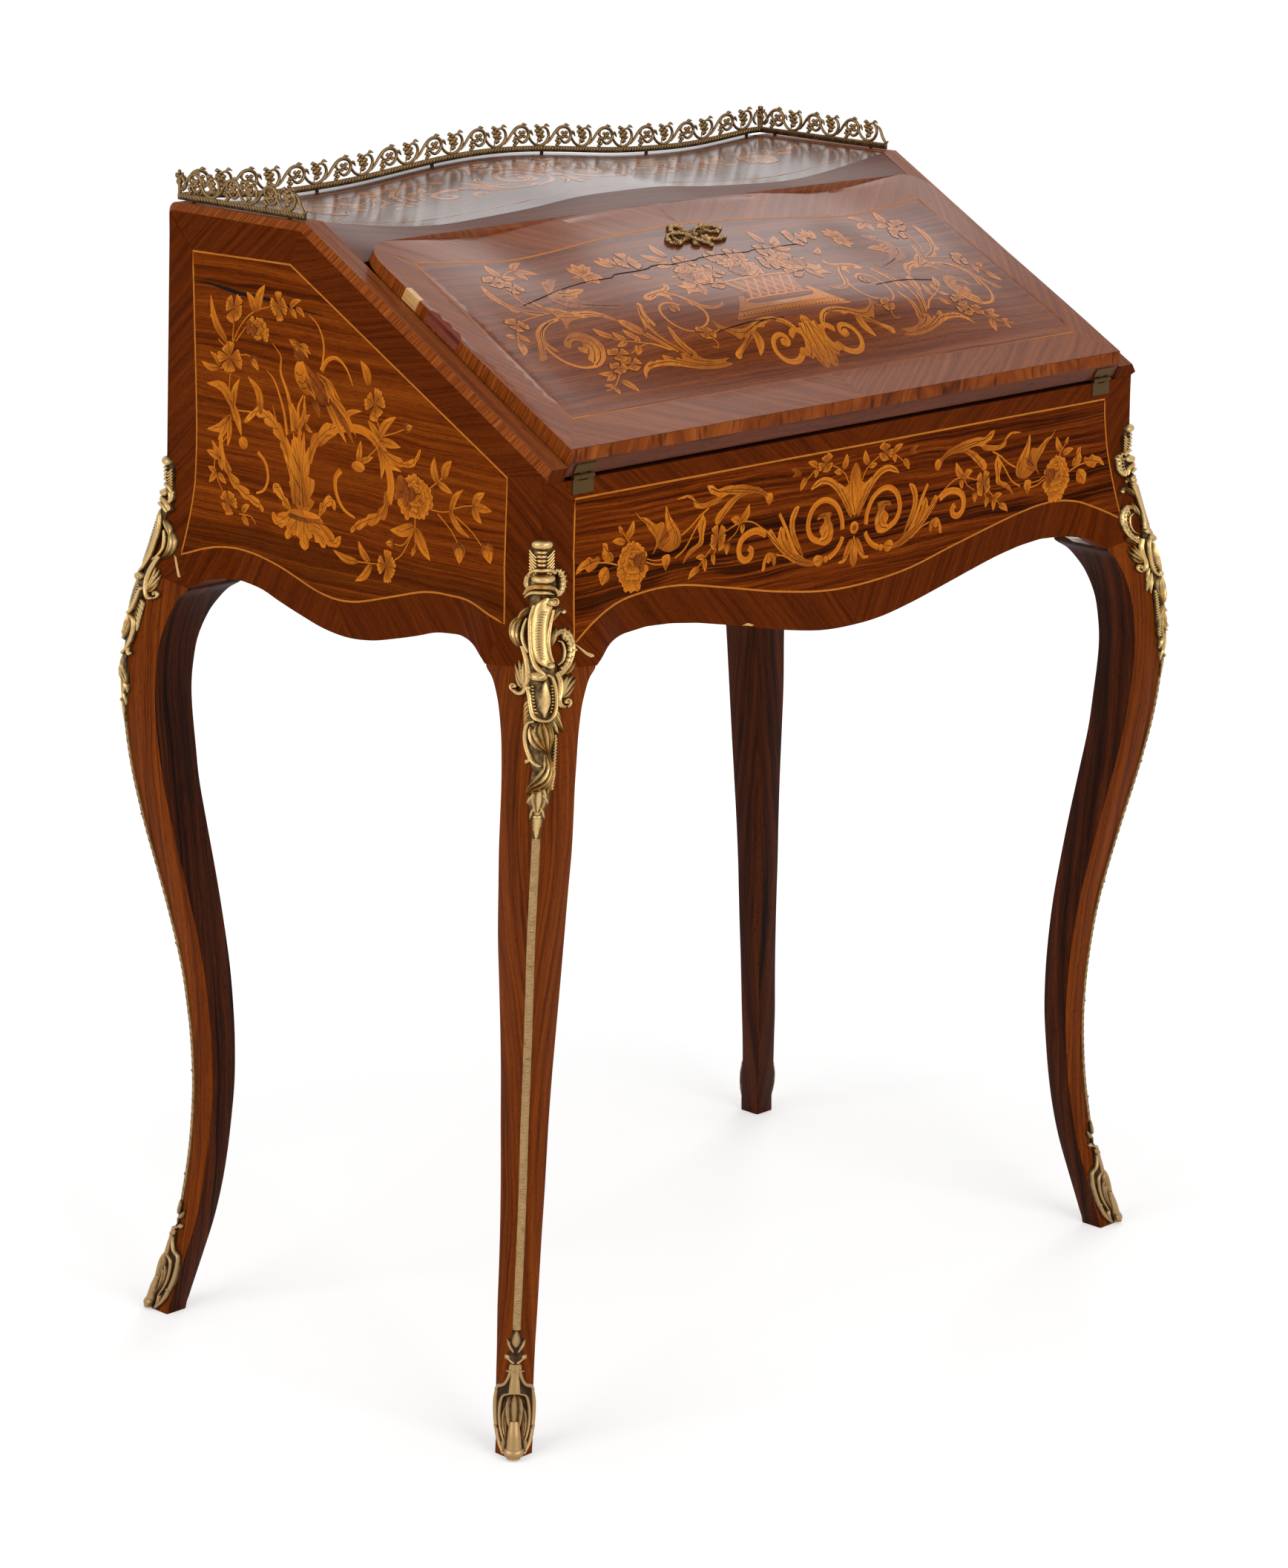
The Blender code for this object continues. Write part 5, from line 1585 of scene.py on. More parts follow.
    def tool(self, pile: Pile, run: Sequence[Point]) -> None:
        """Running scroll of tooled gold along one side of the leather.

        Args:
            pile: where it is added.
            run: its two ends.
        """
        (ax, ay), (bx, by) = run
        long = math.hypot(bx - ax, by - ay)
        dx, dy = (bx - ax) / long, (by - ay) / long
        count = round(long / self.scroll)
        steps = 8 * count
        line = []
        for k in range(steps + 1):
            s, w = long * k / steps, 2.4 * math.sin(2 * math.pi * k / 8)
            line.append((ax + dx * s - dy * w, ay + dy * s + dx * w))
        pile.band(line, 0.7, 2, False, 0.32)
        for k in range(count):
            for turn in (0.25, 0.75):
                s, w = long * (k + turn) / count, 0.9 if turn < 0.5 else -0.9
                x, y = ax + dx * s + dy * w, ay + dy * s - dx * w
                pile.slab(rounded((x, y), (1.3, 1.3), 8), 2, 0.0, 0.33)

    def build(self) -> None:
        """Makes the fall."""
        self.board()
        self.veneers()
        self.wear()
        self.writing_side()


# ---------------------------------------------------------------- marquetry


class Inlay(Pile):
    """Marquetry on a surface, in millimetres; way -1 turns the work about the upright."""

    LIGHT, DARK, CUT = 0, 1, 2
    sunk = -0.1
    lap = 0.006
    line = 0.34
    deep_line = 0.8
    step_up = 0.0008

    def __init__(self, surface: Surface, seed: int) -> None:
        """Starts empty on a surface."""
        super().__init__(surface, seed)
        self.way = 1
        self.level = 0.40

    def to(self, points: Rows) -> list[Point]:
        """Points as they lie on the surface."""
        return [(self.way * p[0], p[1]) for p in points]

    def inlay(self, outline: Sequence[Point], wood: int, turn: float, root: Point, tip: Point,
              deep: float = 0.15) -> None:
        """One sawn piece, shaded from its root to its tip.

        Args:
            outline: closed outline on the surface.
            wood: which wood.
            turn: degrees to the grain.
            root: darkest place.
            tip: lightest place.
            deep: tone at the root.
        """
        dx, dy = tip[0] - root[0], tip[1] - root[1]
        long = dx * dx + dy * dy or 1.0

        def shade(p: Sequence[float]) -> float:
            """Tone at a place."""
            along = ((p[0] - root[0]) * dx + (p[1] - root[1]) * dy) / long
            return deep + (0.95 - deep) * min(max(along, 0.0), 1.0) ** 0.8
        self.level += self.step_up
        self.slab(outline, wood, turn, self.level, -0.1, shade, shift=True)

    def cut(self, points: Rows, width: float = 0.5) -> None:
        """Engraved line."""
        path = spline(self.to(points), 4)
        n = len(path) - 1
        self.band(path, [width * (1 - 0.6 * k / n) for k in range(n + 1)], self.CUT, False,
                  self.level + 0.03, 0.0)

    def stem(self, points: Rows, first: float, last: float) -> None:
        """Tapering stem along a curve."""
        path = spline(self.to(points), 5)
        n = len(path) - 1
        self.level += self.step_up
        widths = [first + (last - first) * k / n for k in range(n + 1)]
        self.band(path, widths, self.LIGHT, False, self.level, self.sunk, 0.75)

    def leaf(self, root: Point, tip: Point, width: float, bend: float = 0.12, wood: int = 0) -> None:
        """Pointed leaf with a vein.

        Args:
            root: where it starts.
            tip: its point.
            width: greatest width.
            bend: sideways bend as a share of its length.
            wood: which wood.
        """
        (ax, ay), (bx, by) = root, tip
        mid = ((ax + bx) / 2 - (by - ay) * bend, (ay + by) / 2 + (bx - ax) * bend)
        path = spline(self.to((root, mid, tip)), 5)
        ways = headings(path)
        n = len(path) - 1
        left, right = [], []
        for k, ((x, y), (dx, dy)) in enumerate(zip(path, ways)):
            half = width / 2 * math.sin(math.pi * (0.04 + 0.96 * k / n) ** 0.75) ** 0.85 if k < n else 0.0
            left.append((x - dy * half, y + dx * half))
            right.append((x + dy * half, y - dx * half))
        turn = math.degrees(math.atan2(path[-1][1] - path[0][1], path[-1][0] - path[0][0]))
        self.inlay([*left, *right[-2::-1]], wood, turn, path[0], path[-1])
        self.cut((root, mid, (ax * 0.2 + bx * 0.8, ay * 0.2 + by * 0.8)), 0.45)

    def leaves(self, root: Point, tips: Rows, width: float, bend: float = 0.12) -> None:
        """Several leaves from one root."""
        for k, tip in enumerate(tips):
            self.leaf(root, tip, width, bend if k % 2 else -bend)

    def plume(self, points: Rows, width: float, lobes: int, outer: float = 1.0, inner: float = 0.7) -> None:
        """Acanthus scroll with scalloped edges along a curve.

        Args:
            points: spine from root to tip.
            width: greatest width.
            lobes: scallops on each edge.
            outer: share of the width on the left of the spine.
            inner: share of the width on the right of the spine.
        """
        path = spline(self.to(points), 8)
        ways = headings(path)
        n = len(path) - 1
        edges: list[list[Point]] = [[], []]
        notches: list[tuple[Point, Point]] = []
        for k, ((x, y), (dx, dy)) in enumerate(zip(path, ways)):
            t = k / n
            saw = (t * lobes) % 1.0
            lobe = 0.55 + 0.45 * math.sin(min(saw / 0.82, 1.0) * math.pi / 2) * (1.0 if saw < 0.86 else 0.35)
            swell = 0.3 + 0.7 * math.sin(math.pi * min(t * 1.05, 1.0) ** 0.8) if k < n else 0.0
            for hand, share in ((0, outer), (1, inner)):
                side = (1 - 2 * hand) * self.way
                half = width / 2 * swell * share * lobe * side
                edges[hand].append((x - dy * half, y + dx * half))
            if 0 < k < n and saw < lobes / n:
                notches.append(((x - dx * width * 0.45, y - dy * width * 0.45), edges[0][-1]))
        turn = math.degrees(math.atan2(path[n // 2][1] - path[0][1], path[n // 2][0] - path[0][0]))
        self.inlay([*edges[0], *edges[1][-2::-1]], self.LIGHT, turn, path[0], path[-1], 0.3)
        for a, b in notches:
            self.band([a, ((a[0] + b[0]) / 2, (a[1] + b[1]) / 2), b], [0.3, 0.45, 0.5], self.CUT, False,
                      self.level + 0.03, 0.0)
        self.band(path[2:-3], 0.4, self.CUT, False, self.level + 0.03, 0.0)

    def petal(self, centre: Point, angle: float, near: float, far: float, wide: float, wood: int = 0) -> None:
        """Petal with a frilled edge and an engraved outline.

        Args:
            centre: middle of its flower.
            angle: degrees of its direction.
            near: distance at which it starts.
            far: distance at which it ends.
            wide: its width.
            wood: which wood.
        """
        middle = near * 0.5 + far * 0.5
        local = ((near, 0.10), (middle, 0.40), (far * 0.84, 0.52), (far * 0.97, 0.38), (far * 0.93, 0.20),
                 (far * 1.03, 0.05), (far * 0.95, -0.14), (far, -0.34), (far * 0.85, -0.52),
                 (middle, -0.42), (near, -0.10))
        points = [turned((centre[0] + r, centre[1] + w * wide), angle, centre) for r, w in local]
        root = turned((centre[0] + near * 0.7 + far * 0.3, centre[1]), angle, centre)
        tip = turned((centre[0] + far, centre[1]), angle, centre)
        outline = spline(self.to(points), 3, True)
        self.level += self.lap
        self.inlay(outline, wood, angle, self.to((root,))[0], self.to((tip,))[0], 0.0)
        self.band(outline, self.line, self.CUT, True, self.level + 0.3 * self.lap, 0.0)
        for lean in (-13, 11):
            vein = (turned((centre[0] + middle, centre[1]), angle + 0.6 * lean, centre),
                    turned((centre[0] + far * 0.86, centre[1]), angle + lean, centre))
            self.band(self.to(vein), [self.line, 0.5 * self.line], self.CUT, False,
                      self.level + 0.3 * self.lap, 0.0)

    def flower(self, centre: Point, radius: float, petals: int = 5, turn: float = 90.0) -> None:
        """Open flower of separate petals round a dark eye."""
        ground = self.level
        for k in range(petals):
            angle = turn + 360 * k / petals + 9 * math.sin(2.7 * k + radius)
            far = radius * (1.0 + 0.16 * math.sin(2.1 * k + 0.7 * radius))
            self.petal(centre, angle, radius * 0.14, far, radius * 4.6 / petals)
        self.level += self.lap
        self.disc(centre, (radius * 0.19, radius * 0.17), self.DARK)
        self.level = ground + self.step_up

    def disc(self, centre: Point, radius: Point, wood: int = 0) -> None:
        """Round or oval piece."""
        outline = self.to(rounded(centre, radius, 14))
        self.inlay(outline, wood, 20.0, outline[10], outline[3], 0.35)

    def bud(self, root: Point, tip: Point, width: float) -> None:
        """Closed bud between two sepals."""
        self.leaf(root, tip, width, 0.0)
        for hand in (-1, 1):
            x, y = root[0] + (tip[0] - root[0]) * 0.62, root[1] + (tip[1] - root[1]) * 0.62
            dx, dy = tip[0] - root[0], tip[1] - root[1]
            self.leaf(root, (x - dy * 0.3 * hand, y + dx * 0.3 * hand), width * 0.42, 0.2 * hand, self.DARK)

    def rose(self, centre: Point, rx: float, ry: float, turn: float = 0.0) -> None:
        """Full rose in four rows of petals.

        Args:
            centre: its middle.
            rx: half its length.
            ry: half its height.
            turn: degrees of its first petal.
        """
        ground = self.level
        for ring, (share, count, shift) in enumerate(((1.0, 7, 0.0), (0.74, 5, 0.06), (0.50, 4, 0.14),
                (0.28, 3, 0.2))):
            heart = turned((centre[0], centre[1] + shift * ry), turn * 0.3, centre)
            for k in range(count):
                angle = turn + 360 * (k + 0.5 * ring) / count + 10 * math.sin(3.1 * k + ring + rx)
                c, s = math.cos(math.radians(angle)), math.sin(math.radians(angle))
                wave = 1 + 0.13 * math.sin(5.3 * k + 2 * ring + ry)
                reach = share * rx * ry / math.hypot(ry * c, rx * s) * wave
                self.petal(heart, angle, reach * 0.15, reach, reach * 6.0 / count, self.DARK
                           if (k + ring) % 4 == 3 else self.LIGHT)
        self.level = ground + self.step_up

    def shape(self, points: Rows, wood: int, turn: float, lines: Sequence[Rows] = (),
              soft: bool = True) -> None:
        """Free piece with engraved lines.

        Args:
            points: closed outline.
            wood: which wood.
            turn: degrees to the grain.
            lines: engraved lines.
            soft: whether the outline is smooth.
        """
        placed = self.to(points)
        outline = spline(placed, 4, True) if soft else placed
        self.inlay(outline, wood, turn, placed[len(placed) // 2], placed[0], 0.15)
        for line in lines:
            self.cut(line, self.deep_line)

    def dress(self, name: str, body: str, light: Finish, dark: Finish) -> bpy.types.Object:
        """Makes the panel's marquetry as one piece."""
        return self.piece(name, (light, dark, ENGRAVED), body, "rosewood")


@dataclass
class SideMarquetry:
    """Vase, bird and flowers on one side; places run backwards from the front as negative numbers."""

    sign: int

    def vase(self, work: Inlay) -> None:
        """Leafy vase with its flames and its two arms."""
        for points, first, last in (
                (((-283, 766), (-287, 785), (-297, 806), (-307, 814)), 3.4, 0.6), (((-276, 770),
                (-281, 796), (-290, 814), (-290, 827), (-300, 836)), 4.2, 0.6), (((-268, 768), (-270, 788),
                (-264, 800)), 4.6, 1.2), (((-290, 760), (-296, 776), (-300, 787)), 2.2, 0.5), (((-242, 824),
                (-240, 842), (-246, 856), (-257, 864)), 2.6, 0.6), (((-243, 822), (-236, 831), (-225, 834),
                (-214, 827), (-207, 815)), 4.6, 0.9), (((-221, 747), (-227, 740), (-226, 728), (-218, 717),
                (-205, 712)), 5.0, 2.0), (((-318, 747), (-309, 740), (-306, 728), (-311, 718), (-320, 714)),
                                          3.4, 2.0), (((-304, 776), (-325, 778), (-342, 777)), 2.2, 0.8)):
            work.stem(points, first, last)
        for root, tips, width in (((-272, 770), ((-284, 797), (-276, 792), (-262, 797)), 5.5),
                                  ((-262, 778), ((-253, 772), (-256, 786)), 4.0)):
            work.leaves(root, tips, width)
        work.plume(((-280, 745), (-290, 765), (-303, 776), (-318, 780), (-334, 769)), 15, 5)
        work.leaf((-314, 778), (-329, 806), 8, -0.18)
        work.stem(((-258, 748), (-250, 764), (-236, 775), (-216, 781), (-196, 782), (-180, 775),
                   (-169, 761), (-164, 744), (-167, 730)), 6.0, 8.0)
        work.plume(((-258, 746), (-252, 762), (-238, 775), (-220, 782), (-204, 784)), 13, 5, 1.0, 0.6)
        work.plume(((-170, 738), (-170, 727), (-178, 718), (-192, 712), (-205, 705), (-210, 700)), 12, 5)
        work.plume(((-188, 780), (-172, 769), (-157, 763), (-143, 763), (-135, 769), (-131, 777)), 9, 4)
        work.leaves((-178, 772), ((-152, 756), (-175, 747)), 6.5)
        work.leaf((-246, 763), (-225, 775), 7)
        work.leaf((-222, 784), (-196, 797), 5)
        work.stem(((-350, 768), (-361, 757), (-361, 740), (-354, 727)), 3.0, 7.0)
        work.plume(((-357, 736), (-352, 724), (-341, 715), (-328, 709), (-316, 704), (-312, 700)), 12, 5)
        work.plume(((-264, 706), (-265, 724), (-269, 746), (-274, 766)), 34, 4, 0.9, 0.9)
        for x, top, bend in ((-288, 752, -0.14), (-258, 760, 0.12), (-285, 766, -0.08), (-263, 772, 0.06),
                             (-276, 769, -0.04), (-269, 776, 0.02)):
            work.leaf((-265 + (x + 270) * 0.55, 712), (x, top), 9.5, bend)
        for points in (((-279, 707), (-288, 715), (-297, 724), (-299, 717)), ((-246, 707), (-239, 717),
                (-231, 721), (-228, 714))):
            work.plume(points, 11, 3)
        for points, width in ((((-268, 703), (-283, 701), (-295, 695), (-301, 702)), 13), (((-256, 703),
                (-242, 698), (-229, 688), (-221, 695)), 13), (((-270, 702), (-279, 692), (-285, 683)), 15),
                              (((-256, 702), (-246, 691), (-239, 683)), 15), (((-263, 703), (-264, 690),
                (-263, 677)), 22)):
            work.plume(points, width, 3, 1.0, 1.0)
        work.disc((-263, 702.5), (20, 3.2), Inlay.DARK)
        work.disc((-263, 706), (18.5, 3.0))
        work.cut(((-281, 704.4), (-263, 702.8), (-245, 704.4)))

    def bird(self, work: Inlay) -> None:
        """Crested bird on the vase."""
        work.leaf((-236, 802), (-205, 769), 7, 0.05, Inlay.DARK)
        work.leaf((-238, 800), (-214, 769), 7, 0.0)
        work.leaf((-234, 806), (-203, 776), 6, 0.06)
        work.shape(((-265, 826), (-256, 822), (-244, 812), (-232, 800), (-236, 795), (-250, 801),
                    (-258, 810)), Inlay.DARK, -50, (((-258, 818), (-246, 808), (-238, 799)), ((-261, 815),
                (-250, 804))))
        for k in range(4):
            work.leaf((-249 + 3 * k, 819 - k), (-221 - 4.5 * k, 801 - 1.2 * k), 4.5, 0.1)
        work.shape(((-266, 828), (-273, 822), (-273, 812), (-266, 804), (-257, 801), (-255, 810),
                    (-260, 820)), Inlay.LIGHT, 60, (((-272, 817), (-267, 815), (-263, 819)), ((-270, 810),
                (-264, 809), (-260, 813)), ((-265, 805), (-260, 806), (-257, 809))))
        for k in range(5):
            work.leaf((-262 + 1.2 * k, 812 - 1.5 * k), (-252 + 0.6 * k, 803 - 1.2 * k), 4.0, 0.1)
        work.shape(((-279, 842), (-272, 842), (-264, 838), (-261, 831), (-266, 826), (-273, 827),
                    (-275, 836)), Inlay.DARK, 10)
        work.leaf((-271, 840), (-280, 842), 3.4, 0.2)
        for tip in ((-255, 833), (-258, 829), (-257, 838)):
            work.leaf((-268, 838), tip, 3.6, 0.1)
        work.disc((-271, 835), (1.3, 1.3))
        work.stem(((-262, 800), (-264, 790)), 1.6, 1.2)
        work.leaf((-253, 797), (-245, 785), 7, 0.1, Inlay.DARK)

    def flowers(self, work: Inlay) -> None:
        """Bouquets round the vase."""
        for points in (((-347, 830), (-338, 844), (-325, 856), (-304, 864), (-284, 867)), ((-343, 832),
                (-330, 846)), ((-347, 832), (-345, 850)), ((-340, 821), (-330, 823), (-323, 821)),
                       ((-350, 806), (-352, 790)), ((-352, 757), (-366, 742), (-370, 725), (-358, 706)),
                       ((-341, 694), (-327, 694), (-321, 689)), ((-182, 796), (-176, 782), (-184, 772)),
                       ((-176, 780), (-160, 785), (-146, 791)), ((-190, 762), (-178, 772)), ((-121, 748),
                (-110, 756), (-101, 763)), ((-114, 755), (-100, 750)), ((-120, 732), (-108, 732),
                (-97, 734)), ((-96, 736), (-84, 740), (-74, 742)), ((-112, 730), (-98, 720), (-90, 711)),
                       ((-92, 731), (-75, 722), (-64, 713)), ((-137, 722), (-137, 700)), ((-137, 716),
                (-150, 700), (-163, 699)), ((-202, 678), (-178, 680)), ((-137, 716), (-150, 694),
                (-160, 686)), ((-362, 808), (-352, 812)), ((-374, 849), (-360, 841)), ((-364, 831),
                (-356, 826))):
            work.stem(points, 1.1, 0.8)
        for root, tip, width, bend in (
                ((-354, 830), (-373, 866), 7.5, 0.12), ((-317, 859), (-308, 881), 9, 0.1), ((-320, 858),
                (-330, 873), 8, -0.1), ((-279, 867), (-266, 874), 5, 0.1), ((-278, 866), (-271, 859), 5, 0),
                ((-272, 867), (-262, 861), 5, 0.1), ((-364, 808), (-385, 811), 6, 0.1), ((-362, 810),
                (-374, 820), 5, -0.1), ((-346, 778), (-379, 794), 9, -0.22), ((-347, 778), (-339, 803), 7,
                0.1), ((-349, 772), (-379, 757), 8, 0.12), ((-352, 772), (-354, 746), 6, 0.05),
                ((-353, 771), (-366, 750), 6, 0.1), ((-362, 736), (-380, 740), 7, 0), ((-363, 735),
                (-373, 749), 6, 0), ((-364, 736), (-360, 726), 6, 0), ((-368, 724), (-377, 714), 6, 0),
                ((-368, 724), (-378, 727), 5, 0), ((-366, 723), (-356, 716), 6, 0), ((-337, 696),
                (-328, 703), 6, 0.1), ((-337, 693), (-329, 686), 6, 0), ((-189, 818), (-198, 836), 9, -0.1),
                ((-178, 778), (-158, 798), 7.5, 0.1), ((-177, 777), (-153, 775), 7.5, 0), ((-178, 780),
                (-190, 791), 6, 0), ((-201, 755), (-198, 774), 6.5, 0), ((-198, 757), (-184, 763), 5, 0),
                ((-113, 754), (-116, 773), 8, 0.1), ((-106, 758), (-97, 773), 8.5, 0.1), ((-112, 754),
                (-96, 748), 6, 0), ((-98, 733), (-84, 753), 6, 0.12), ((-99, 735), (-77, 717), 6, -0.12),
                ((-73, 742), (-61, 754), 7.5, 0.1), ((-73, 742), (-53, 741), 7, 0), ((-73, 741), (-64, 730),
                7, -0.1), ((-138, 716), (-165, 709), 10, 0.08), ((-136, 715), (-120, 692), 10, -0.05),
                ((-202, 678), (-230, 683), 6.5, 0.08), ((-188, 680), (-201, 695), 7, 0.1), ((-186, 679),
                (-205, 662), 7, 0.1), ((-350, 784), (-337, 757), 8, 0.04), ((-137, 700), (-141, 692), 4,
                0)):
            work.leaf(root, tip, width, bend)
        for x, z, r, count, turn in ((-350, 818, 13.5, 7, 80), (-345, 858, 11, 6, 60),
                                     (-292, 866, 10.5, 6, 100), (-353, 701, 9.5, 5, 70),
                                     (-182, 804, 12, 6, 75), (-169, 680, 11.5, 6, 90)):
            work.flower((x, z), r, count, turn)
        work.rose((-317, 844), 14, 9, 30)
        work.rose((-136, 738), 22, 17, 10)
        for root, tip, width in (((-325, 822), (-316, 812), 6), ((-149, 790), (-140, 793), 6), ((-88, 711),
                (-88, 695), 11), ((-60, 715), (-53, 701), 11), ((-160, 699), (-170, 698), 6)):
            work.bud(root, tip, width)
        work.disc((-335, 752), (5.4, 5.2))
        work.disc((-201, 753), (7.5, 4.2))

    def build(self) -> None:
        """Makes the side's marquetry."""
        work = Inlay(SideFace(self.sign), 11)
        work.way = -1
        self.vase(work)
        self.flowers(work)
        self.bird(work)
        work.dress(f"{hand(self.sign)}_side_marquetry", "case", INLAY, INLAY_DARK)


@dataclass
class FrontMarquetry:
    """Scrolls and flowers on the apron, alike to both sides of the middle."""

    def scrolls(self, work: Inlay) -> None:
        """Acanthus scrolls of one half."""
        for points, first, last in (
                (((14, 688), (15.5, 698), (21.5, 708), (31, 713.8), (41, 714.5), (50, 709.5), (54.5, 701),
                  (54.5, 693), (50, 686), (43, 682.5)), 4.6, 5.2), (((30, 667), (22, 671), (16, 677),
                (13.5, 682)), 4.6, 4.2), (((104, 697), (114, 701), (124, 700.5), (132, 696.5), (135, 690),
                                           (133.5, 683), (128, 679.5), (122, 681), (120.5, 686),
                                           (124, 689)), 6.0, 5.0), (((58, 668), (68, 675), (75, 686),
                (81, 698), (89, 711)), 4.6, 3.0)):
            work.stem(points, first, last)
        for outline, lines in (
                (((45, 681.5), (36, 678), (28, 680), (25, 687), (26, 693), (29, 698.5), (27.5, 703.5),
                  (33, 704.5), (40, 704), (43.5, 702), (44, 699.5), (38, 700.5), (36, 697), (40, 694),
                  (41.5, 690), (39, 686), (42, 684)), (((40, 681.5), (32, 684), (30, 692), (34, 700)),
                ((37, 685), (33, 691)), ((42, 702), (35, 702), (31, 699)))), (((53, 725), (47, 731),
                (38, 733.5), (29, 731.5), (21, 726.5), (14.5, 719), (8.5, 709), (3, 698), (6, 697.5),
                (12, 706), (18, 714.5), (24, 721), (31, 726), (39, 728), (46, 726.5)), (((50, 727),
                (40, 730.5), (28, 727), (18, 718), (8, 704)),)), (((20, 726), (17, 718.5), (11, 709),
                (4, 699), (1.5, 700), (3, 708), (6, 715), (10, 721), (14, 723)), (((17, 722), (10, 712),
                (4, 703)),)), (((108, 700.5), (103, 696.5), (97, 690), (91, 684), (84, 678), (76, 672),
                                (66, 667), (56, 664), (47, 663.5), (44, 666.5), (52, 668.5), (60, 671.5),
                                (66, 675), (72, 677.5), (76, 682), (78, 687), (81.5, 691), (83, 697.5),
                                (87, 700.5), (89.5, 696.5), (91, 691.5), (94, 695), (98.5, 700.5),
                                (102, 699)), (((104, 698), (95, 690), (84, 681), (70, 671.5), (52, 666)),
                                              ((87, 697), (85, 689), (78, 680), (68, 673)), ((98, 697),
                (92, 690), (86, 683)))), (((66, 714), (71, 713.5), (75.5, 708), (77, 700), (75, 692),
                                           (71, 684), (64, 676.5), (60, 671.5), (63, 680), (68, 689),
                                           (71, 697), (70.5, 704), (67.5, 710)), (((69, 712), (73.5, 704),
                (73.5, 696), (68, 683)),)), (((48, 668), (45, 663), (40, 662), (36, 665.5), (36, 668.5),
                                              (41, 671), (45.5, 671)), (((46, 666), (40, 667)),)),
                (((108, 668), (107, 675), (103, 681), (98, 681.5), (93, 679), (92, 672), (95, 670.5),
                  (97, 675), (100.5, 673), (103, 674), (105, 669)), (((104, 672), (102, 678)), ((96, 675),
                (99, 679)))), (((206, 738.5), (196, 740.5), (189, 739), (184, 734), (177, 731.5),
                                (166, 733), (155, 735), (158, 730), (168, 728), (178, 727.5), (186, 730),
                                (188, 735), (194, 738)), (((196, 739), (186, 734), (176, 729.5)),)),
                (((172, 744.5), (166, 744), (160, 740.5), (150, 741.5), (140, 741), (130, 740),
                  (121, 737.5), (113, 735.5), (106, 731), (100, 729), (97.5, 726), (98, 722), (102, 720),
                  (105, 724), (108, 728.5), (115, 731), (124, 731.5), (133, 731), (140, 727.5), (147, 722),
                  (152, 718.5), (160, 712), (163, 716), (160, 721), (154, 725), (148, 729.5), (140, 733),
                  (148, 734.5), (156, 733), (160, 734.5), (164, 736.5), (168, 738)), (((168, 742),
                (158, 738), (145, 738), (128, 736), (112, 732), (103, 727)), ((158, 715), (150, 723),
                (140, 730), (130, 733)), ((152, 737), (140, 735.5), (126, 733.5)))), (((176, 722),
                (173, 716), (175, 707), (176, 700), (184, 696), (192, 692), (198, 687), (196, 692),
                (190, 698), (182, 701), (180, 706), (182, 713), (180, 718)), (((176, 718), (178, 708),
                (179, 700), (190, 694)),)), (((18.5, 661), (13, 664.5), (10, 671), (6, 677.5), (2, 678),
                                              (3, 671), (7, 664.5), (12, 660.5)), (((15, 662.5), (9, 667),
                (4, 675)),))):
            work.shape(outline, Inlay.LIGHT, 30, lines)
        work.disc((33, 666.5), (2.8, 2.8))
        work.disc((101, 725.5), (4.2, 4.2))

    def tulip(self, work: Inlay) -> None:
        """Tulip with its curled petals."""
        for outline, wood, lines in (
                (((228, 706), (222, 714), (218, 721), (212, 722), (207, 716), (206, 709), (211, 703),
                  (218, 700.5)), Inlay.DARK, (((224, 708), (216, 714), (210, 717)), ((221, 704),
                (213, 709)))), (((251.5, 735.5), (246, 730.5), (239, 729), (233, 725), (228, 722.5),
                                 (222, 723.5), (219, 720.5), (222, 713), (226, 706), (228, 703),
                                 (232, 699.5), (228, 707), (230, 713), (236, 719), (240, 725), (246, 729)),
                                Inlay.LIGHT, (((244, 729), (234, 722), (227, 713)),)), (((217.5, 735.5),
                (214, 728), (209, 722), (204, 716), (200.5, 709), (202, 702.5), (208, 699.5), (215, 699),
                (222, 702), (219, 707), (214, 712), (217, 718), (218.5, 727)), Inlay.LIGHT, (((216.5, 731),
                (213, 722), (207, 712), (209, 703)), ((206, 714), (204, 707), (208, 701)))), (((221, 696),
                (214, 697), (212, 692), (216, 686), (217, 684.5), (220.5, 690)), Inlay.LIGHT, (((217, 687),
                (216, 694)),))):
            work.shape(outline, wood, 60, lines)

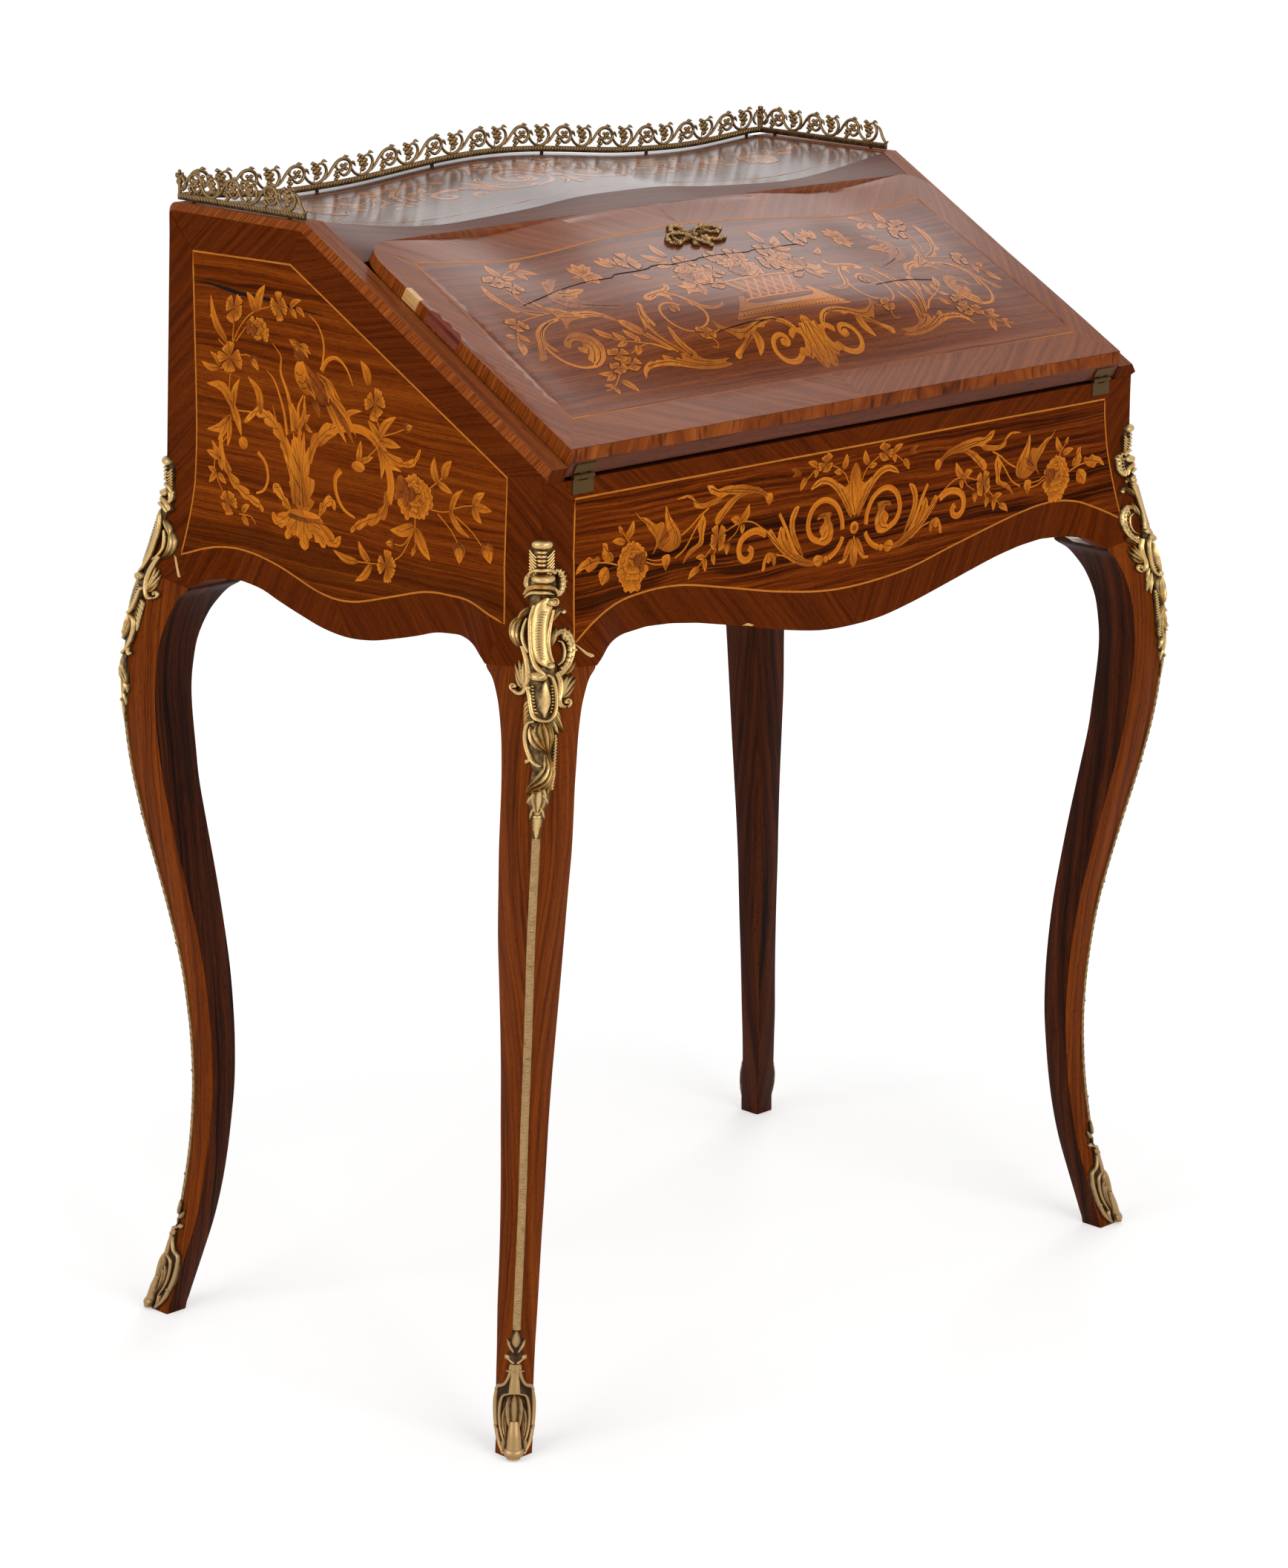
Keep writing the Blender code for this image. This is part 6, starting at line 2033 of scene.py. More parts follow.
    def sprigs(self, work: Inlay) -> None:
        """Thin stems, leaves and flowers of one half."""
        for points, first, last in (
                (((8, 725), (13, 733), (22, 739), (30, 742)), 1.1, 0.8), (((44, 743), (52, 738), (60, 732),
                (64, 728)), 1.0, 0.7), (((92, 679), (82, 676), (70, 669)), 1.2, 1.0), (((200, 710),
                (190, 715), (180, 722), (170, 727)), 1.6, 1.4), (((207, 693), (196, 699), (186, 711),
                (176, 723)), 1.5, 1.3), (((215, 690), (228, 691), (240, 695)), 1.4, 1.0), (((213, 694),
                (230, 694.5), (240, 698)), 1.1, 0.8), (((100, 697), (108, 702), (122, 709.5), (136, 710),
                (150, 706)), 1.3, 0.9), (((165, 696), (173, 689), (182, 681), (192, 674)), 1.1, 0.8),
                (((134, 710), (139, 703), (148, 698)), 0.9, 0.7), (((161, 694), (164, 688)), 0.9, 0.8),
                (((316, 697), (300, 702), (284, 701), (270, 697)), 0.9, 1.2), (((254, 709), (261, 717),
                (266, 723)), 1.1, 0.8)):
            work.stem(points, first, last)
        for outline, lines in (
                (((316, 697.5), (311, 704), (305, 706), (301, 707.8), (296, 705.5), (291, 707), (290, 703),
                  (294, 699), (298, 697.5), (303, 696.5), (307, 699.5)), (((314, 699), (303, 702),
                (292, 704)), ((301, 706), (299, 702)))), (((286, 716), (281, 714.5), (280, 709), (276, 707),
                (274.5, 701.5), (280, 700.5), (284, 701.5), (287, 707), (285.5, 711)), (((285, 714),
                (280, 708), (276, 702)), ((286, 706), (280, 707)))), (((292, 693), (288, 697), (283, 697.5),
                (280, 694), (280, 688), (285, 685.5), (289, 684.5), (291, 688)), (((289, 687), (285, 692),
                (281, 696)),))):
            work.shape(outline, Inlay.LIGHT, 20, lines)
        work.shape(((76, 744), (72, 745.5), (68, 743.5), (64, 740.5), (66, 738), (70, 738), (75, 738.5),
                    (72, 741)), Inlay.DARK, 20)
        for root, tip, width, bend in (
                ((262, 713), (276, 716), 6, 0.05), ((260, 716), (253, 729), 7, 0.1), ((265, 721),
                (269, 727), 4, 0.0), ((15, 737), (11, 749), 7, 0.1), ((16, 735), (26, 736), 5, 0.0),
                ((45, 743), (57, 748), 5.5, 0.05), ((46, 741.5), (48, 734), 5, 0.0), ((58, 735), (65, 726),
                6, 0.1), ((133, 711), (124, 724), 7.5, 0.12), ((134, 710), (145, 714.5), 7, 0.1),
                ((131, 709), (132, 701), 5.5, 0.0), ((173, 688), (184, 690), 5, 0.05), ((174, 688),
                (173, 677), 5.5, 0.0), ((180, 681), (192, 674), 6, 0.1), ((165, 690), (163, 681), 5, 0.0)):
            work.leaf(root, tip, width, bend)
        work.flower((35.5, 744), 8.0, 5, 60)
        work.flower((159, 702), 10.0, 6, 70)
        work.rose((253, 695), 16, 19.5, 15)
        work.bud((149, 697), (149, 687), 5.5)

    def middle(self, work: Inlay) -> None:
        """Palmette and pendant on the middle line."""
        for outline, lines in (
                (((0, 697), (5, 707), (7, 716), (11, 722), (7.5, 725), (6, 732), (3.5, 737), (0, 740.5)),
                 (((0, 700), (3, 712), (4, 724), (2, 733)),)), (((0, 681), (2, 675), (4.5, 668), (4, 660),
                (0, 655)), (((0, 678), (1.5, 668), (0.8, 660)),))):
            work.shape(mirrored(outline, False), Inlay.LIGHT, 90, lines)
        work.disc((0, 687.5), (5.2, 5.2))
        work.disc((0, 687.5), (2.6, 2.6), Inlay.DARK)

    def build(self) -> None:
        """Makes the apron's marquetry."""
        work = Inlay(FrontFace(), 23)
        for work.way in (1, -1):
            self.scrolls(work)
            self.tulip(work)
            self.sprigs(work)
        self.middle(work)
        work.dress("apron_marquetry", "case", INLAY, INLAY_DARK)


@dataclass
class FallMarquetry:
    """Flower basket between scrolls and birds on the fall; the halves match."""

    def scrolls(self, work: Inlay) -> None:
        """Acanthus scrolls of the left half."""
        for points, first, last in (
                (((-256, 119), (-256, 110), (-254, 102), (-249, 94), (-241, 88.5), (-230, 87)), 2.2, 3.2),
                (((-105, 130), (-108, 134), (-114, 136.5), (-121, 135), (-127, 129), (-129.5, 120),
                  (-128.5, 110), (-124, 102), (-117, 97.5)), 2.4, 1.8), (((-90, 128), (-88.5, 118),
                (-92, 109), (-99, 103), (-106, 100)), 2.6, 1.6), (((-160, 108), (-155, 96), (-147, 82)),
                1.8, 1.4), (((-164, 108), (-157, 95), (-150, 84)), 1.3, 1.1), (((-37, 69.5), (-32.5, 70),
                (-31, 74.5), (-35, 78.5), (-41.5, 78), (-47.5, 73.5), (-50, 66), (-47, 58.5), (-40, 54.5),
                (-31, 55), (-24, 59)), 3.6, 5.2)):
            work.stem(points, first, last)
        for outline, lines in (
                (((-254, 202), (-257.5, 194), (-258.5, 187), (-256, 178), (-252, 169), (-253, 166),
                  (-248, 162.5), (-244, 163), (-240, 157), (-230, 154), (-222, 156), (-232, 160.5),
                  (-241, 166), (-247, 172.5), (-251, 181), (-252.5, 190)), (((-226, 156), (-238, 161),
                (-248, 170), (-254, 182), (-255.5, 194)),)), (((-221, 148), (-232, 146.5), (-243, 143),
                (-253, 135.5), (-259, 125.5), (-263, 120), (-267, 114.5), (-273, 106.5), (-271, 104.5),
                (-265, 106), (-262, 112), (-258, 117), (-254, 119), (-252, 112), (-249, 110.5), (-250, 118),
                (-250, 126), (-246, 133), (-239, 138.5), (-231, 142.5), (-221, 144.5)), (((-225, 146),
                (-238, 142), (-249, 134), (-256, 123), (-265, 110)), ((-232, 144), (-243, 138), (-250, 129),
                (-251, 117)))), (((-225, 177), (-223, 170), (-219, 163), (-214, 159.5), (-208, 156),
                                  (-203, 151), (-199, 147), (-200, 141), (-209, 140.5), (-216, 138),
                                  (-222, 132), (-221, 138), (-218, 144), (-220, 148), (-219, 152),
                                  (-220, 157), (-223, 163), (-225, 170)), (((-222, 165), (-217, 155),
                (-210, 148)), ((-215, 157), (-209, 151), (-204, 146)), ((-217, 147), (-210, 145),
                (-203, 143)))), (((-202, 151), (-195, 149.5), (-187, 148), (-180, 143), (-175, 136),
                                  (-172.5, 129), (-176, 130), (-182, 136.5), (-190, 140), (-201, 141.5)),
                                 (((-197, 147), (-188, 144), (-180, 137)), ((-195, 143), (-187, 140)))),
                (((-173, 128.5), (-167, 128), (-162, 120), (-160, 113), (-164, 107), (-169, 111),
                  (-172, 119)), (((-170, 125), (-166, 116), (-164, 110)), ((-167, 126), (-163.5, 118)))),
                (((-236, 86), (-226, 86.5), (-217, 91.5), (-210.5, 99), (-207, 107), (-207, 115),
                  (-210, 121.5), (-216, 126.5), (-223, 127.5), (-231, 124), (-237, 119.5), (-239, 114.5),
                  (-236, 112), (-231, 117), (-226, 118.5), (-222, 115), (-225, 110), (-230, 111),
                  (-230.5, 105.5), (-227, 101), (-231, 96), (-230, 90)), (((-229, 88), (-219, 95),
                (-213, 105), (-213, 115), (-220, 122)), ((-228, 92), (-221, 100), (-217, 110), (-222, 115)),
                ((-227, 100), (-222, 107), (-224, 110)), ((-233, 120), (-228, 122), (-221, 121)))),
                (((-195, 64.5), (-193, 71.5), (-187, 76.5), (-179, 79.5), (-175.5, 78), (-173, 79),
                  (-166, 78), (-164.5, 82.5), (-158.5, 79.5), (-155, 76), (-152, 77.5), (-148.5, 74.5),
                  (-146, 80), (-141, 78.5), (-138, 75), (-133, 76.5), (-128, 71.5), (-121, 69), (-112, 68),
                  (-102, 67.5), (-108, 65), (-102, 62), (-112, 60.3), (-122, 60.5), (-134, 62),
                  (-146, 65.5), (-156, 69), (-166, 71.8), (-176, 73), (-184, 72.3), (-190, 69.5)),
                 (((-185, 75), (-172, 76), (-158, 74), (-145, 68), (-125, 64), (-106, 63)), ((-160, 78),
                (-150, 73), (-135, 67), (-118, 65)), ((-143, 77), (-135, 71), (-122, 67)))),
                (((-135.5, 110), (-138.5, 104), (-141, 96), (-141.5, 89), (-139, 81), (-134, 75),
                  (-131, 77), (-134, 84), (-136, 91), (-136.5, 98), (-135, 104)), (((-135, 77),
                (-138.5, 87), (-138.5, 98), (-136.5, 106)),)), (((-138, 144.5), (-143, 138.5), (-149, 130),
                (-153, 121), (-157, 112.5), (-154, 113), (-153.5, 104), (-151, 95), (-146, 85), (-141, 77),
                (-139, 78.5), (-144, 87), (-148.5, 96), (-150.5, 105), (-150, 114.5), (-147.5, 119),
                (-147, 113), (-144, 115.5), (-143.5, 124), (-141, 133), (-136.5, 140)), (((-140, 141),
                (-146, 131), (-150, 119), (-151.5, 106), (-147.5, 92), (-142, 80)), ((-147, 131),
                (-146.5, 121)))), (((-128, 146.5), (-124, 151.5), (-114, 154), (-104, 154.5),
                                    (-97.5, 156.5), (-95, 161), (-92, 158), (-94.5, 152.5), (-101, 149.5),
                                    (-96, 144.5), (-92, 139), (-88, 131.5), (-83, 125), (-76, 121.5),
                                    (-68, 121.5), (-62, 125), (-64.5, 120), (-72, 117.5), (-80, 118),
                                    (-87, 122), (-91, 127.5), (-93.5, 125.5), (-94.5, 133), (-97.5, 140),
                                    (-102, 144), (-105.5, 137), (-107, 143), (-112, 147), (-119, 144.5),
                                    (-125, 143.5)), (((-122, 149), (-110, 151), (-100, 152), (-95, 156)),
                ((-105, 150), (-98, 142), (-92, 132), (-85, 122.5), (-74, 119.5)), ((-120, 147),
                (-112, 149)))), (((-14, 79), (-17, 87), (-24, 93.5), (-34, 97), (-46, 97), (-57, 94),
                                  (-66, 90.5), (-76, 91), (-84, 94.5), (-89, 99), (-91, 105), (-92, 98),
                                  (-88, 91), (-84, 87), (-79.5, 81), (-75, 82.5), (-70, 80), (-66, 84),
                                  (-60, 85.5), (-54, 88.5), (-48, 87.5), (-44, 90.5), (-36, 92), (-28, 90),
                                  (-21, 84.5), (-17, 78)), (((-18, 83), (-26, 91), (-38, 94.5), (-52, 92.5),
                (-64, 87.5), (-76, 87), (-86, 93)), ((-58, 90), (-66, 87), (-74, 84)), ((-30, 92),
                (-44, 93.5), (-54, 91)))), (((-93, 70.5), (-93.5, 65.5), (-90, 65), (-86, 69), (-74, 76),
                                             (-64, 81), (-62, 85), (-66, 86), (-80, 77)), (((-66, 83),
                (-78, 75), (-90, 67.5)),))):
            work.shape(outline, Inlay.LIGHT, 40, lines)
        work.disc((-36.5, 71.5), (3.6, 3.6))

    def bird(self, work: Inlay) -> None:
        """Perched bird with a long tail."""
        work.shape(((-199, 188), (-195, 193.5), (-190, 195.5), (-186, 197), (-180, 194), (-184, 191),
                    (-187, 187), (-192, 184), (-194, 179), (-190, 176), (-184, 170), (-182, 163),
                    (-176, 157), (-168, 153), (-160, 150), (-149, 149.5), (-153, 142), (-162, 141.5),
                    (-172, 147), (-182, 151), (-192, 153), (-200, 158), (-205, 166), (-206, 172),
                    (-204, 178), (-201, 183)), Inlay.DARK, 40, (((-196, 187), (-193, 191)), ((-203, 172),
                (-198, 165), (-190, 160)), ((-185, 157), (-172, 151), (-156, 146)), ((-182, 155),
                (-168, 149), (-155, 144))))
        work.shape(((-168, 175), (-174, 171), (-179, 170), (-181, 167), (-186, 167), (-190, 164.5),
                    (-194, 168), (-197, 173), (-196, 179), (-190, 181), (-186, 177), (-182, 179),
                    (-176, 178)), Inlay.LIGHT, 20, (((-193, 177), (-184, 174), (-172, 174.5)), ((-193, 172),
                (-186, 170))))
        work.leaf((-197, 189), (-189, 194), 5, 0.1)

    def sprigs(self, work: Inlay) -> None:
        """Thin stems, leaves and flowers of the left half."""
        for points, first, last in (
                (((-225, 209), (-217, 213), (-208, 216), (-200, 218)), 1.1, 0.8), (((-232, 187),
                (-234, 175), (-228, 163)), 1.3, 1.1), (((-236, 195), (-235.5, 177)), 1.0, 0.9),
                (((-253, 152), (-240, 154), (-221, 155)), 1.0, 1.0), (((-264, 143), (-271, 136),
                (-276, 128)), 1.0, 0.8), (((-193, 111), (-184, 105), (-174, 100), (-163, 94), (-153, 85)),
                                          1.0, 1.2), (((-190, 91), (-178, 95.5), (-165, 96), (-152, 85)),
                0.9, 1.1), (((-209, 78), (-216, 74), (-222, 69), (-232, 62), (-242, 60)), 1.1, 0.7),
                (((-100, 93), (-95, 93), (-92, 96), (-94, 98)), 0.9, 0.6), (((-106, 88), (-104, 82),
                (-107, 78), (-111, 80)), 0.9, 0.6)):
            work.stem(points, first, last)
        for root, tip, width, bend in (
                ((-226, 210), (-229, 227), 9, 0.05), ((-208, 216), (-192, 224), 6.5, 0.1), ((-205, 214),
                (-189, 205), 7, 0.05), ((-208, 214), (-204, 200), 7, 0.05), ((-226, 207), (-213, 205), 7,
                0.05), ((-273, 137), (-281, 139), 6, 0.0), ((-270, 138), (-265, 127), 6, 0.05),
                ((-275, 129), (-283, 114), 7.5, 0.08), ((-192, 112), (-201, 127), 7.5, 0.08),
                ((-183.5, 105.5), (-188, 118), 6.5, 0.05), ((-172.5, 104), (-177, 118), 6.5, 0.05),
                ((-184, 105), (-196.5, 101), 5.5, 0.05), ((-178, 98), (-186, 88), 6.5, 0.08), ((-176, 99),
                (-170, 107), 5, 0.05), ((-221, 76), (-235, 79), 5.5, 0.05), ((-221, 75), (-233, 70), 5.5,
                0.05), ((-220, 67), (-212, 53), 7.5, 0.08), ((-230, 63), (-239, 66), 4.5, 0.0), ((-231, 62),
                (-232, 54), 4.5, 0.0), ((-60, 86), (-69, 64), 8.5, 0.1), ((-36, 176), (-80, 167), 8, 0.08),
                ((-150, 194), (-159, 206), 9, 0.1), ((-150, 194), (-150, 210), 9, 0.05), ((-149, 194),
                (-140, 206), 8.5, 0.1), ((-148, 194), (-137, 201), 7, 0.1), ((-166, 190), (-140, 193), 4.5,
                0.05), ((-150, 191), (-158, 182), 9, 0.1), ((-149, 191), (-148, 177), 9.5, 0.0),
                ((-147, 191), (-140, 182), 8, 0.1), ((-115, 196), (-128, 208), 9, 0.1), ((-115, 196),
                (-120, 211), 8.5, 0.05), ((-114, 196), (-113, 208), 7, 0.05), ((-96, 172), (-110, 181), 6.5,
                0.1), ((-57, 196), (-57, 217), 9, 0.08), ((-64, 192), (-79, 205), 9, 0.1), ((-62, 188),
                (-79, 184), 9, 0.1)):
            work.leaf(root, tip, width, bend)
        work.shape(((-85, 156), (-79, 154), (-74, 159), (-70, 160), (-66, 155), (-54, 160.5), (-60, 152),
                    (-61, 144), (-70, 135), (-72, 141), (-79, 142), (-85, 141), (-81, 147)), Inlay.LIGHT,
                   20, (((-56, 159), (-65, 151), (-72, 147), (-82, 149)), ((-66, 151), (-69, 139))))
        for x, t, r, count in ((-238, 204, 8.8, 5), (-226.5, 194, 9.2, 6), (-261, 149, 9, 6),
                               (-202, 93, 8.4, 5), (-212, 80, 7.2, 5), (-198, 81, 8.2, 5),
                               (-107.6, 94, 8.2, 6), (-112, 128, 5.4, 5), (-48, 184, 10.5, 6),
                               (-33, 166, 10, 6), (-47, 149, 9, 5), (-100, 199, 11.5, 5),
                               (-12, 184, 10.5, 6)):
            work.flower((x, t), r, count, 80)
        work.rose((-57, 164), 17, 15, 20)

    def basket(self, work: Inlay) -> None:
        """Lattice basket on its plinth over the palmette, in the middle."""
        rim = ((67, 99.5), (63, 104), (58, 108), (53, 113), (46, 121), (42, 126.5), (35, 126.5), (37, 124),
               (40, 120), (38, 117), (33, 115), (18, 114.2))
        work.shape(mirrored(rim), Inlay.LIGHT, 0, (), False)
        for t, half in ((108, 57.5), (102, 64)):
            work.cut(((-half, t), (0, t + 0.2), (half, t)), 0.7)
        for k in range(-14, 15):
            work.cut(((4.0 * k - 1.0, 102.5), (4.0 * k + 0.8, 105), (4.0 * k + 0.4, 107.5)), 0.6)
        body = ((33, 121.5), (35, 136), (42, 148))
        work.shape(mirrored(body), Inlay.DARK, 0, (), False)
        for k in range(-4, 5):
            for lean in (-1, 1):
                low, high = 10.0 * k, 10.0 * k + 17.0 * lean
                if abs(low) < 34 and abs(high) < 43:
                    work.stem(((low, 122), ((low + high) / 2, 135), (high, 147.5)), 2.0, 2.0)
        work.stem(((-39, 119), (-34, 121), (0, 121.4), (34, 121), (39, 119)), 1.8, 1.8)
        work.stem(((-43, 148.5), (0, 150), (43, 148.5)), 2.6, 2.6)
        half = ((0, 93), (4, 90), (5, 85.5), (9.5, 86), (11, 81.5), (16, 82.5), (22, 82), (26.5, 78),
                (25.5, 73.5), (22, 75), (18, 78), (14, 75.5), (14, 70), (17, 64.5), (22, 65), (26, 61),
                (24, 57.5), (18.5, 57), (15, 53.5), (12, 55.5), (10.5, 50), (6.5, 44), (2.5, 44.5), (0, 48))
        veins = (((2, 89), (5, 80), (9, 72)), ((2, 84), (3, 72), (4, 60)), ((9, 84), (10, 75), (8, 66)),
                 ((1, 50), (4, 56), (5, 64)), ((7, 47), (9, 56), (8, 63)), ((16, 56), (12, 61), (10, 67)))
        work.shape(mirrored(half, False), Inlay.LIGHT, 90,
                   [[(way * x, t) for x, t in vein] for vein in veins for way in (1, -1)])
        work.rose((0, 164), 18, 15, 40)

    def build(self) -> None:
        """Makes the fall's marquetry."""
        work = Inlay(FallFace(), 37)
        for work.way in (1, -1):
            self.scrolls(work)
            self.bird(work)
        work.way = 1
        self.basket(work)
        for work.way in (1, -1):
            self.sprigs(work)
        work.dress("fall_marquetry", "fall", INLAY_FALL, INLAY_FALL_DARK)


@dataclass
class Losses:
    """Places where veneer has come away: a corner and an edge of the apron, and the back of the left side."""

    def build(self) -> None:
        """Makes the pale ground that shows there."""
        pile = Pile(FrontFace())
        for outline in (((-327.4, 647.6), (-325.6, 646.6), (-315, 639), (-309, 636.4), (-308.4, 635),
                         (-312, 634.6), (-317, 637.6)), ((-129.5, 627.8), (-123, 628.8), (-116, 626.2),
                (-118, 625.4), (-124, 627))):
            pile.slab(outline, 0, 40.0, 0.5)
        pile.piece("apron_losses", (PATCH,), "case", "rosewood")
        pile = Pile(SideFace(-1))
        pile.slab(((408, 651), (405.4, 650), (400, 641), (396, 635.2), (399.6, 635.4), (404.6, 644)), 0,
                  60.0, 0.5)
        pile.slab(((396, 874.4), (372, 874.8), (340, 872.2), (300, 871.0), (262, 866.4), (226, 864.2),
                   (262, 865.2), (302, 868.2), (342, 869.0), (372, 873.0)), 1, 0.0, 0.45)
        pile.piece("side_losses", (PATCH, GAP_DARK), "case", "rosewood")


@dataclass
class TopMarquetry:
    """Scrolls and a line on the top board, like those of the apron."""

    shift: float = 348.0

    def build(self) -> None:
        """Makes the top's marquetry."""
        work = Inlay(TopFace(self.shift), 41)
        drawing = FrontMarquetry()
        for work.way in (1, -1):
            drawing.scrolls(work)
            drawing.tulip(work)
            drawing.sprigs(work)
        drawing.middle(work)
        line = [(-314, 634), (314, 634), (314, 757), (-314, 757)]
        path = [(a[0] + (b[0] - a[0]) * k / 24, a[1] + (b[1] - a[1]) * k / 24)
                for a, b in zip(line, [*line[1:], line[0]]) for k in range(24)]
        work.band(path, 1.4, Inlay.LIGHT, True, 0.3)
        work.dress("top_marquetry", "case", INLAY_TOP, INLAY_TOP_DARK)


# ---------------------------------------------------------------- gilt mounts


@dataclass
class CornerMounts:
    """Corner mounts, edge strips and sabots of the four legs, in millimetres."""

    strip_low: float = 97.7
    strip_high: float = 508.0
    strip_half: float = 2.0
    strip_pitch: float = 3.2

    def chute(self, pile: Relief) -> None:
        """Rococo corner mount from its finial to its tail."""
        right = [(5.0, 725), (6.2, 720), (6.5, 708), (8, 700), (9, 690), (8, 682), (5.5, 676), (4, 664),
                 (3.5, 652), (6, 642), (8, 634), (9.5, 622), (9, 610), (8.5, 600), (8, 590), (9, 580),
                 (8.5, 566), (8, 552), (7, 541), (6.2, 535), (3.8, 531), (3.0, 524), (1.7, 514), (1.6, 506)]
        left = [(-1.6, 506), (-1.7, 514), (-2.9, 524), (-3.5, 530), (-5.4, 535), (-5.5, 541), (-5, 548),
                (-3, 560), (-5, 568), (-7, 580), (-8, 592), (-7.5, 604), (-7, 616), (-7, 628), (-7.5, 640),
                (-6, 650), (-6, 662), (-5.5, 674), (-7, 684), (-8, 694), (-7, 702), (-6.6, 708),
                (-6.4, 720), (-5, 725)]
        pile.plate([(0, 728), *right, *left], 2.8, 0.25)
        self.finial(pile)
        self.collar(pile)
        self.main_scroll(pile)
        self.left_scrolls(pile)
        self.right_scrolls(pile)
        self.cartouche(pile)
        self.tail(pile)

    def finial(self, pile: Relief) -> None:
        """Ball over a beaded stem between ribbed wings."""
        pile.bead((0.2, 724), (5.7, 4.0), 5.4, 2.4)
        for k in range(4):
            pile.bead((0, 718.6 - 3.2 * k), (2.1 - 0.12 * k, 1.7), 3.6, 2.8)
        for k in range(7):
            z = 717.5 - 2.4 * k
            for side in (-1, 1):
                pile.tube([(side * 1.9, z - 3.4), (side * 4.2, z - 1.4), (side * 6.6, z + 1.4)],
                          (1.5, 1.9, 1.5), 2.0, 2.6, 3)

    def collar(self, pile: Relief) -> None:
        """Swirled wrap under the finial with a ribbed crescent."""
        pile.tube([(-6.6, 700.5), (-3, 704.2), (3, 704.8), (6.6, 702)], (2.4, 3.8, 3.4), 3.8, 2.8)
        pile.bead((1.2, 698.4), (6.6, 3.6), 4.8, 3.0)
        pile.tube([(-3, 703), (-7.2, 699.5), (-8.4, 694), (-6.2, 689.6)], (2.0, 3.4, 3.6, 2.0), 4.2, 2.4,
                  ribs=0.3)
        pile.tube([(-9.6, 685.8), (-6, 690.6), (-0.5, 693.4), (6, 690.8), (8.6, 686)],
                  (2, 3.8, 4.4, 3.8, 2.4), 4.6, 2.8, ribs=0.3)
        pile.tube([(-8.5, 684.2), (-4.5, 688), (0.5, 689.2), (5, 687)], (1.8, 3.2, 3.4, 2.0), 4.2, 3.2)
        pile.leaf([(-5, 689), (-9, 686.4), (-12.4, 686.4)], 4.2, 3.2, 2.2, 2)
        pile.tube([(7, 703.8), (11, 701.8), (13.3, 696), (13.0, 690), (10.6, 686.4), (8, 686)],
                  (3.0, 4.4, 5.0, 4.8, 3.4), 3.8, 1.8)
        for k in range(7):
            a = math.radians(72 - 24 * k)
            c, s = math.cos(a), math.sin(a)
            pile.tube([(8.6 + 1.8 * c, 694.8 + 5.4 * s), (8.6 + 4.2 * c, 694.8 + 7.8 * s),
                       (8.6 + 6.4 * c, 694.8 + 9.8 * s)], (1.2, 1.6, 1.2), 1.2, 4.8, 3)

    def main_scroll(self, pile: Relief) -> None:
        """Long S scroll with a milled groove between two volutes."""
        pile.tube([(4.6, 683.5), (1.0, 677), (-1.0, 668), (-1.2, 658), (-0.6, 649), (1.4, 641), (4.4, 636.2)],
                  (8.0, 9.5, 9.5, 9.3, 8.8, 7.0, 5.5), 3.4, 2.6, 6, 0.4)
        pile.tube([(-2.5, 680), (-5.0, 669), (-5.0, 657), (-4.2, 646), (-2.0, 637.5), (1, 631)],
                  (1.8, 2.6, 2.8, 2.6, 2.2), 3.4, 3.2)
        pile.tube([(5.8, 676), (3.8, 665), (2.9, 655), (3.7, 646), (5.8, 639)], (1.6, 2.2, 2.2, 1.8), 3.4,
                  3.0)
        for k in range(18):
            z = 675.0 - 1.95 * k
            pile.bead((table(((640, 0.2), (650, -0.6), (660, -0.8), (670, 0.0), (678, 1.6)), z), z),
                      (1.3, 0.72), 1.5, 4.4)
        pile.bead((4.9, 681.4), (3.7, 3.5), 4.8, 3.4)
        pile.curl((4.9, 681.4), 3.4, 120, -1.1, 1.3, 2.0, 6.4)
        pile.leaf([(7, 681), (9.2, 680.4), (10.0, 678.8)], 2.4, 2.4, 2.2, 1)
        pile.bead((4.5, 636.4), (2.8, 2.7), 4.4, 3.4)

    def left_scrolls(self, pile: Relief) -> None:
        """Pierced leaf, shell and volute at the left."""
        pile.leaf([(-5.5, 677), (-9.2, 674), (-13, 669.5), (-15.6, 663.5)], 5.2, 3.8, 1.4, 2)
        pile.leaf([(-12.5, 670), (-17.4, 663), (-18.6, 655.5), (-15.8, 649), (-11.4, 646.6)], 7.4, 4.0, 1.2,
                  3)
        pile.tube([(-8.4, 669), (-11, 662), (-12, 655), (-10, 649), (-7, 645)], (1.8, 2.8, 2.8, 2.4), 3.4,
                  1.2)
        pile.tube([(-11.5, 648.5), (-8.8, 641), (-7.4, 633), (-7.6, 626), (-9.5, 620)],
                  (3.8, 4.4, 4.2, 3.6), 4.0, 1.4, ribs=0.3)
        for tip, wide in (((-17.6, 634), 4.2), ((-14.8, 637.6), 4.0), ((-11.2, 638.4), 3.4),
                          ((-17.4, 628.6), 3.6)):
            pile.leaf([(-9.6, 618.5), ((tip[0] - 11) / 2, tip[1] - 8), tip], wide, 3.0, 1.2, 1)
        pile.bead((-12.4, 631), (1.3, 1.3), 2.4, 2.4)
        pile.tube([(-7, 628), (-8.2, 621.5), (-10.8, 616), (-14.2, 614.2), (-17.6, 615.4)],
                  (2.4, 3.2, 3.6, 3.0), 3.8, 1.4)
        pile.curl((-17.7, 618.2), 3.1, -90, -0.9, 2.4, 3.4, 1.2)
        for k in range(6):
            pile.leaf([(-5.6, 612 - 3.4 * k), (-8.8, 608.4 - 3.4 * k), (-11.0 + 0.2 * k, 603 - 3.5 * k)],
                      3.4, 2.6, 1.2, 1)

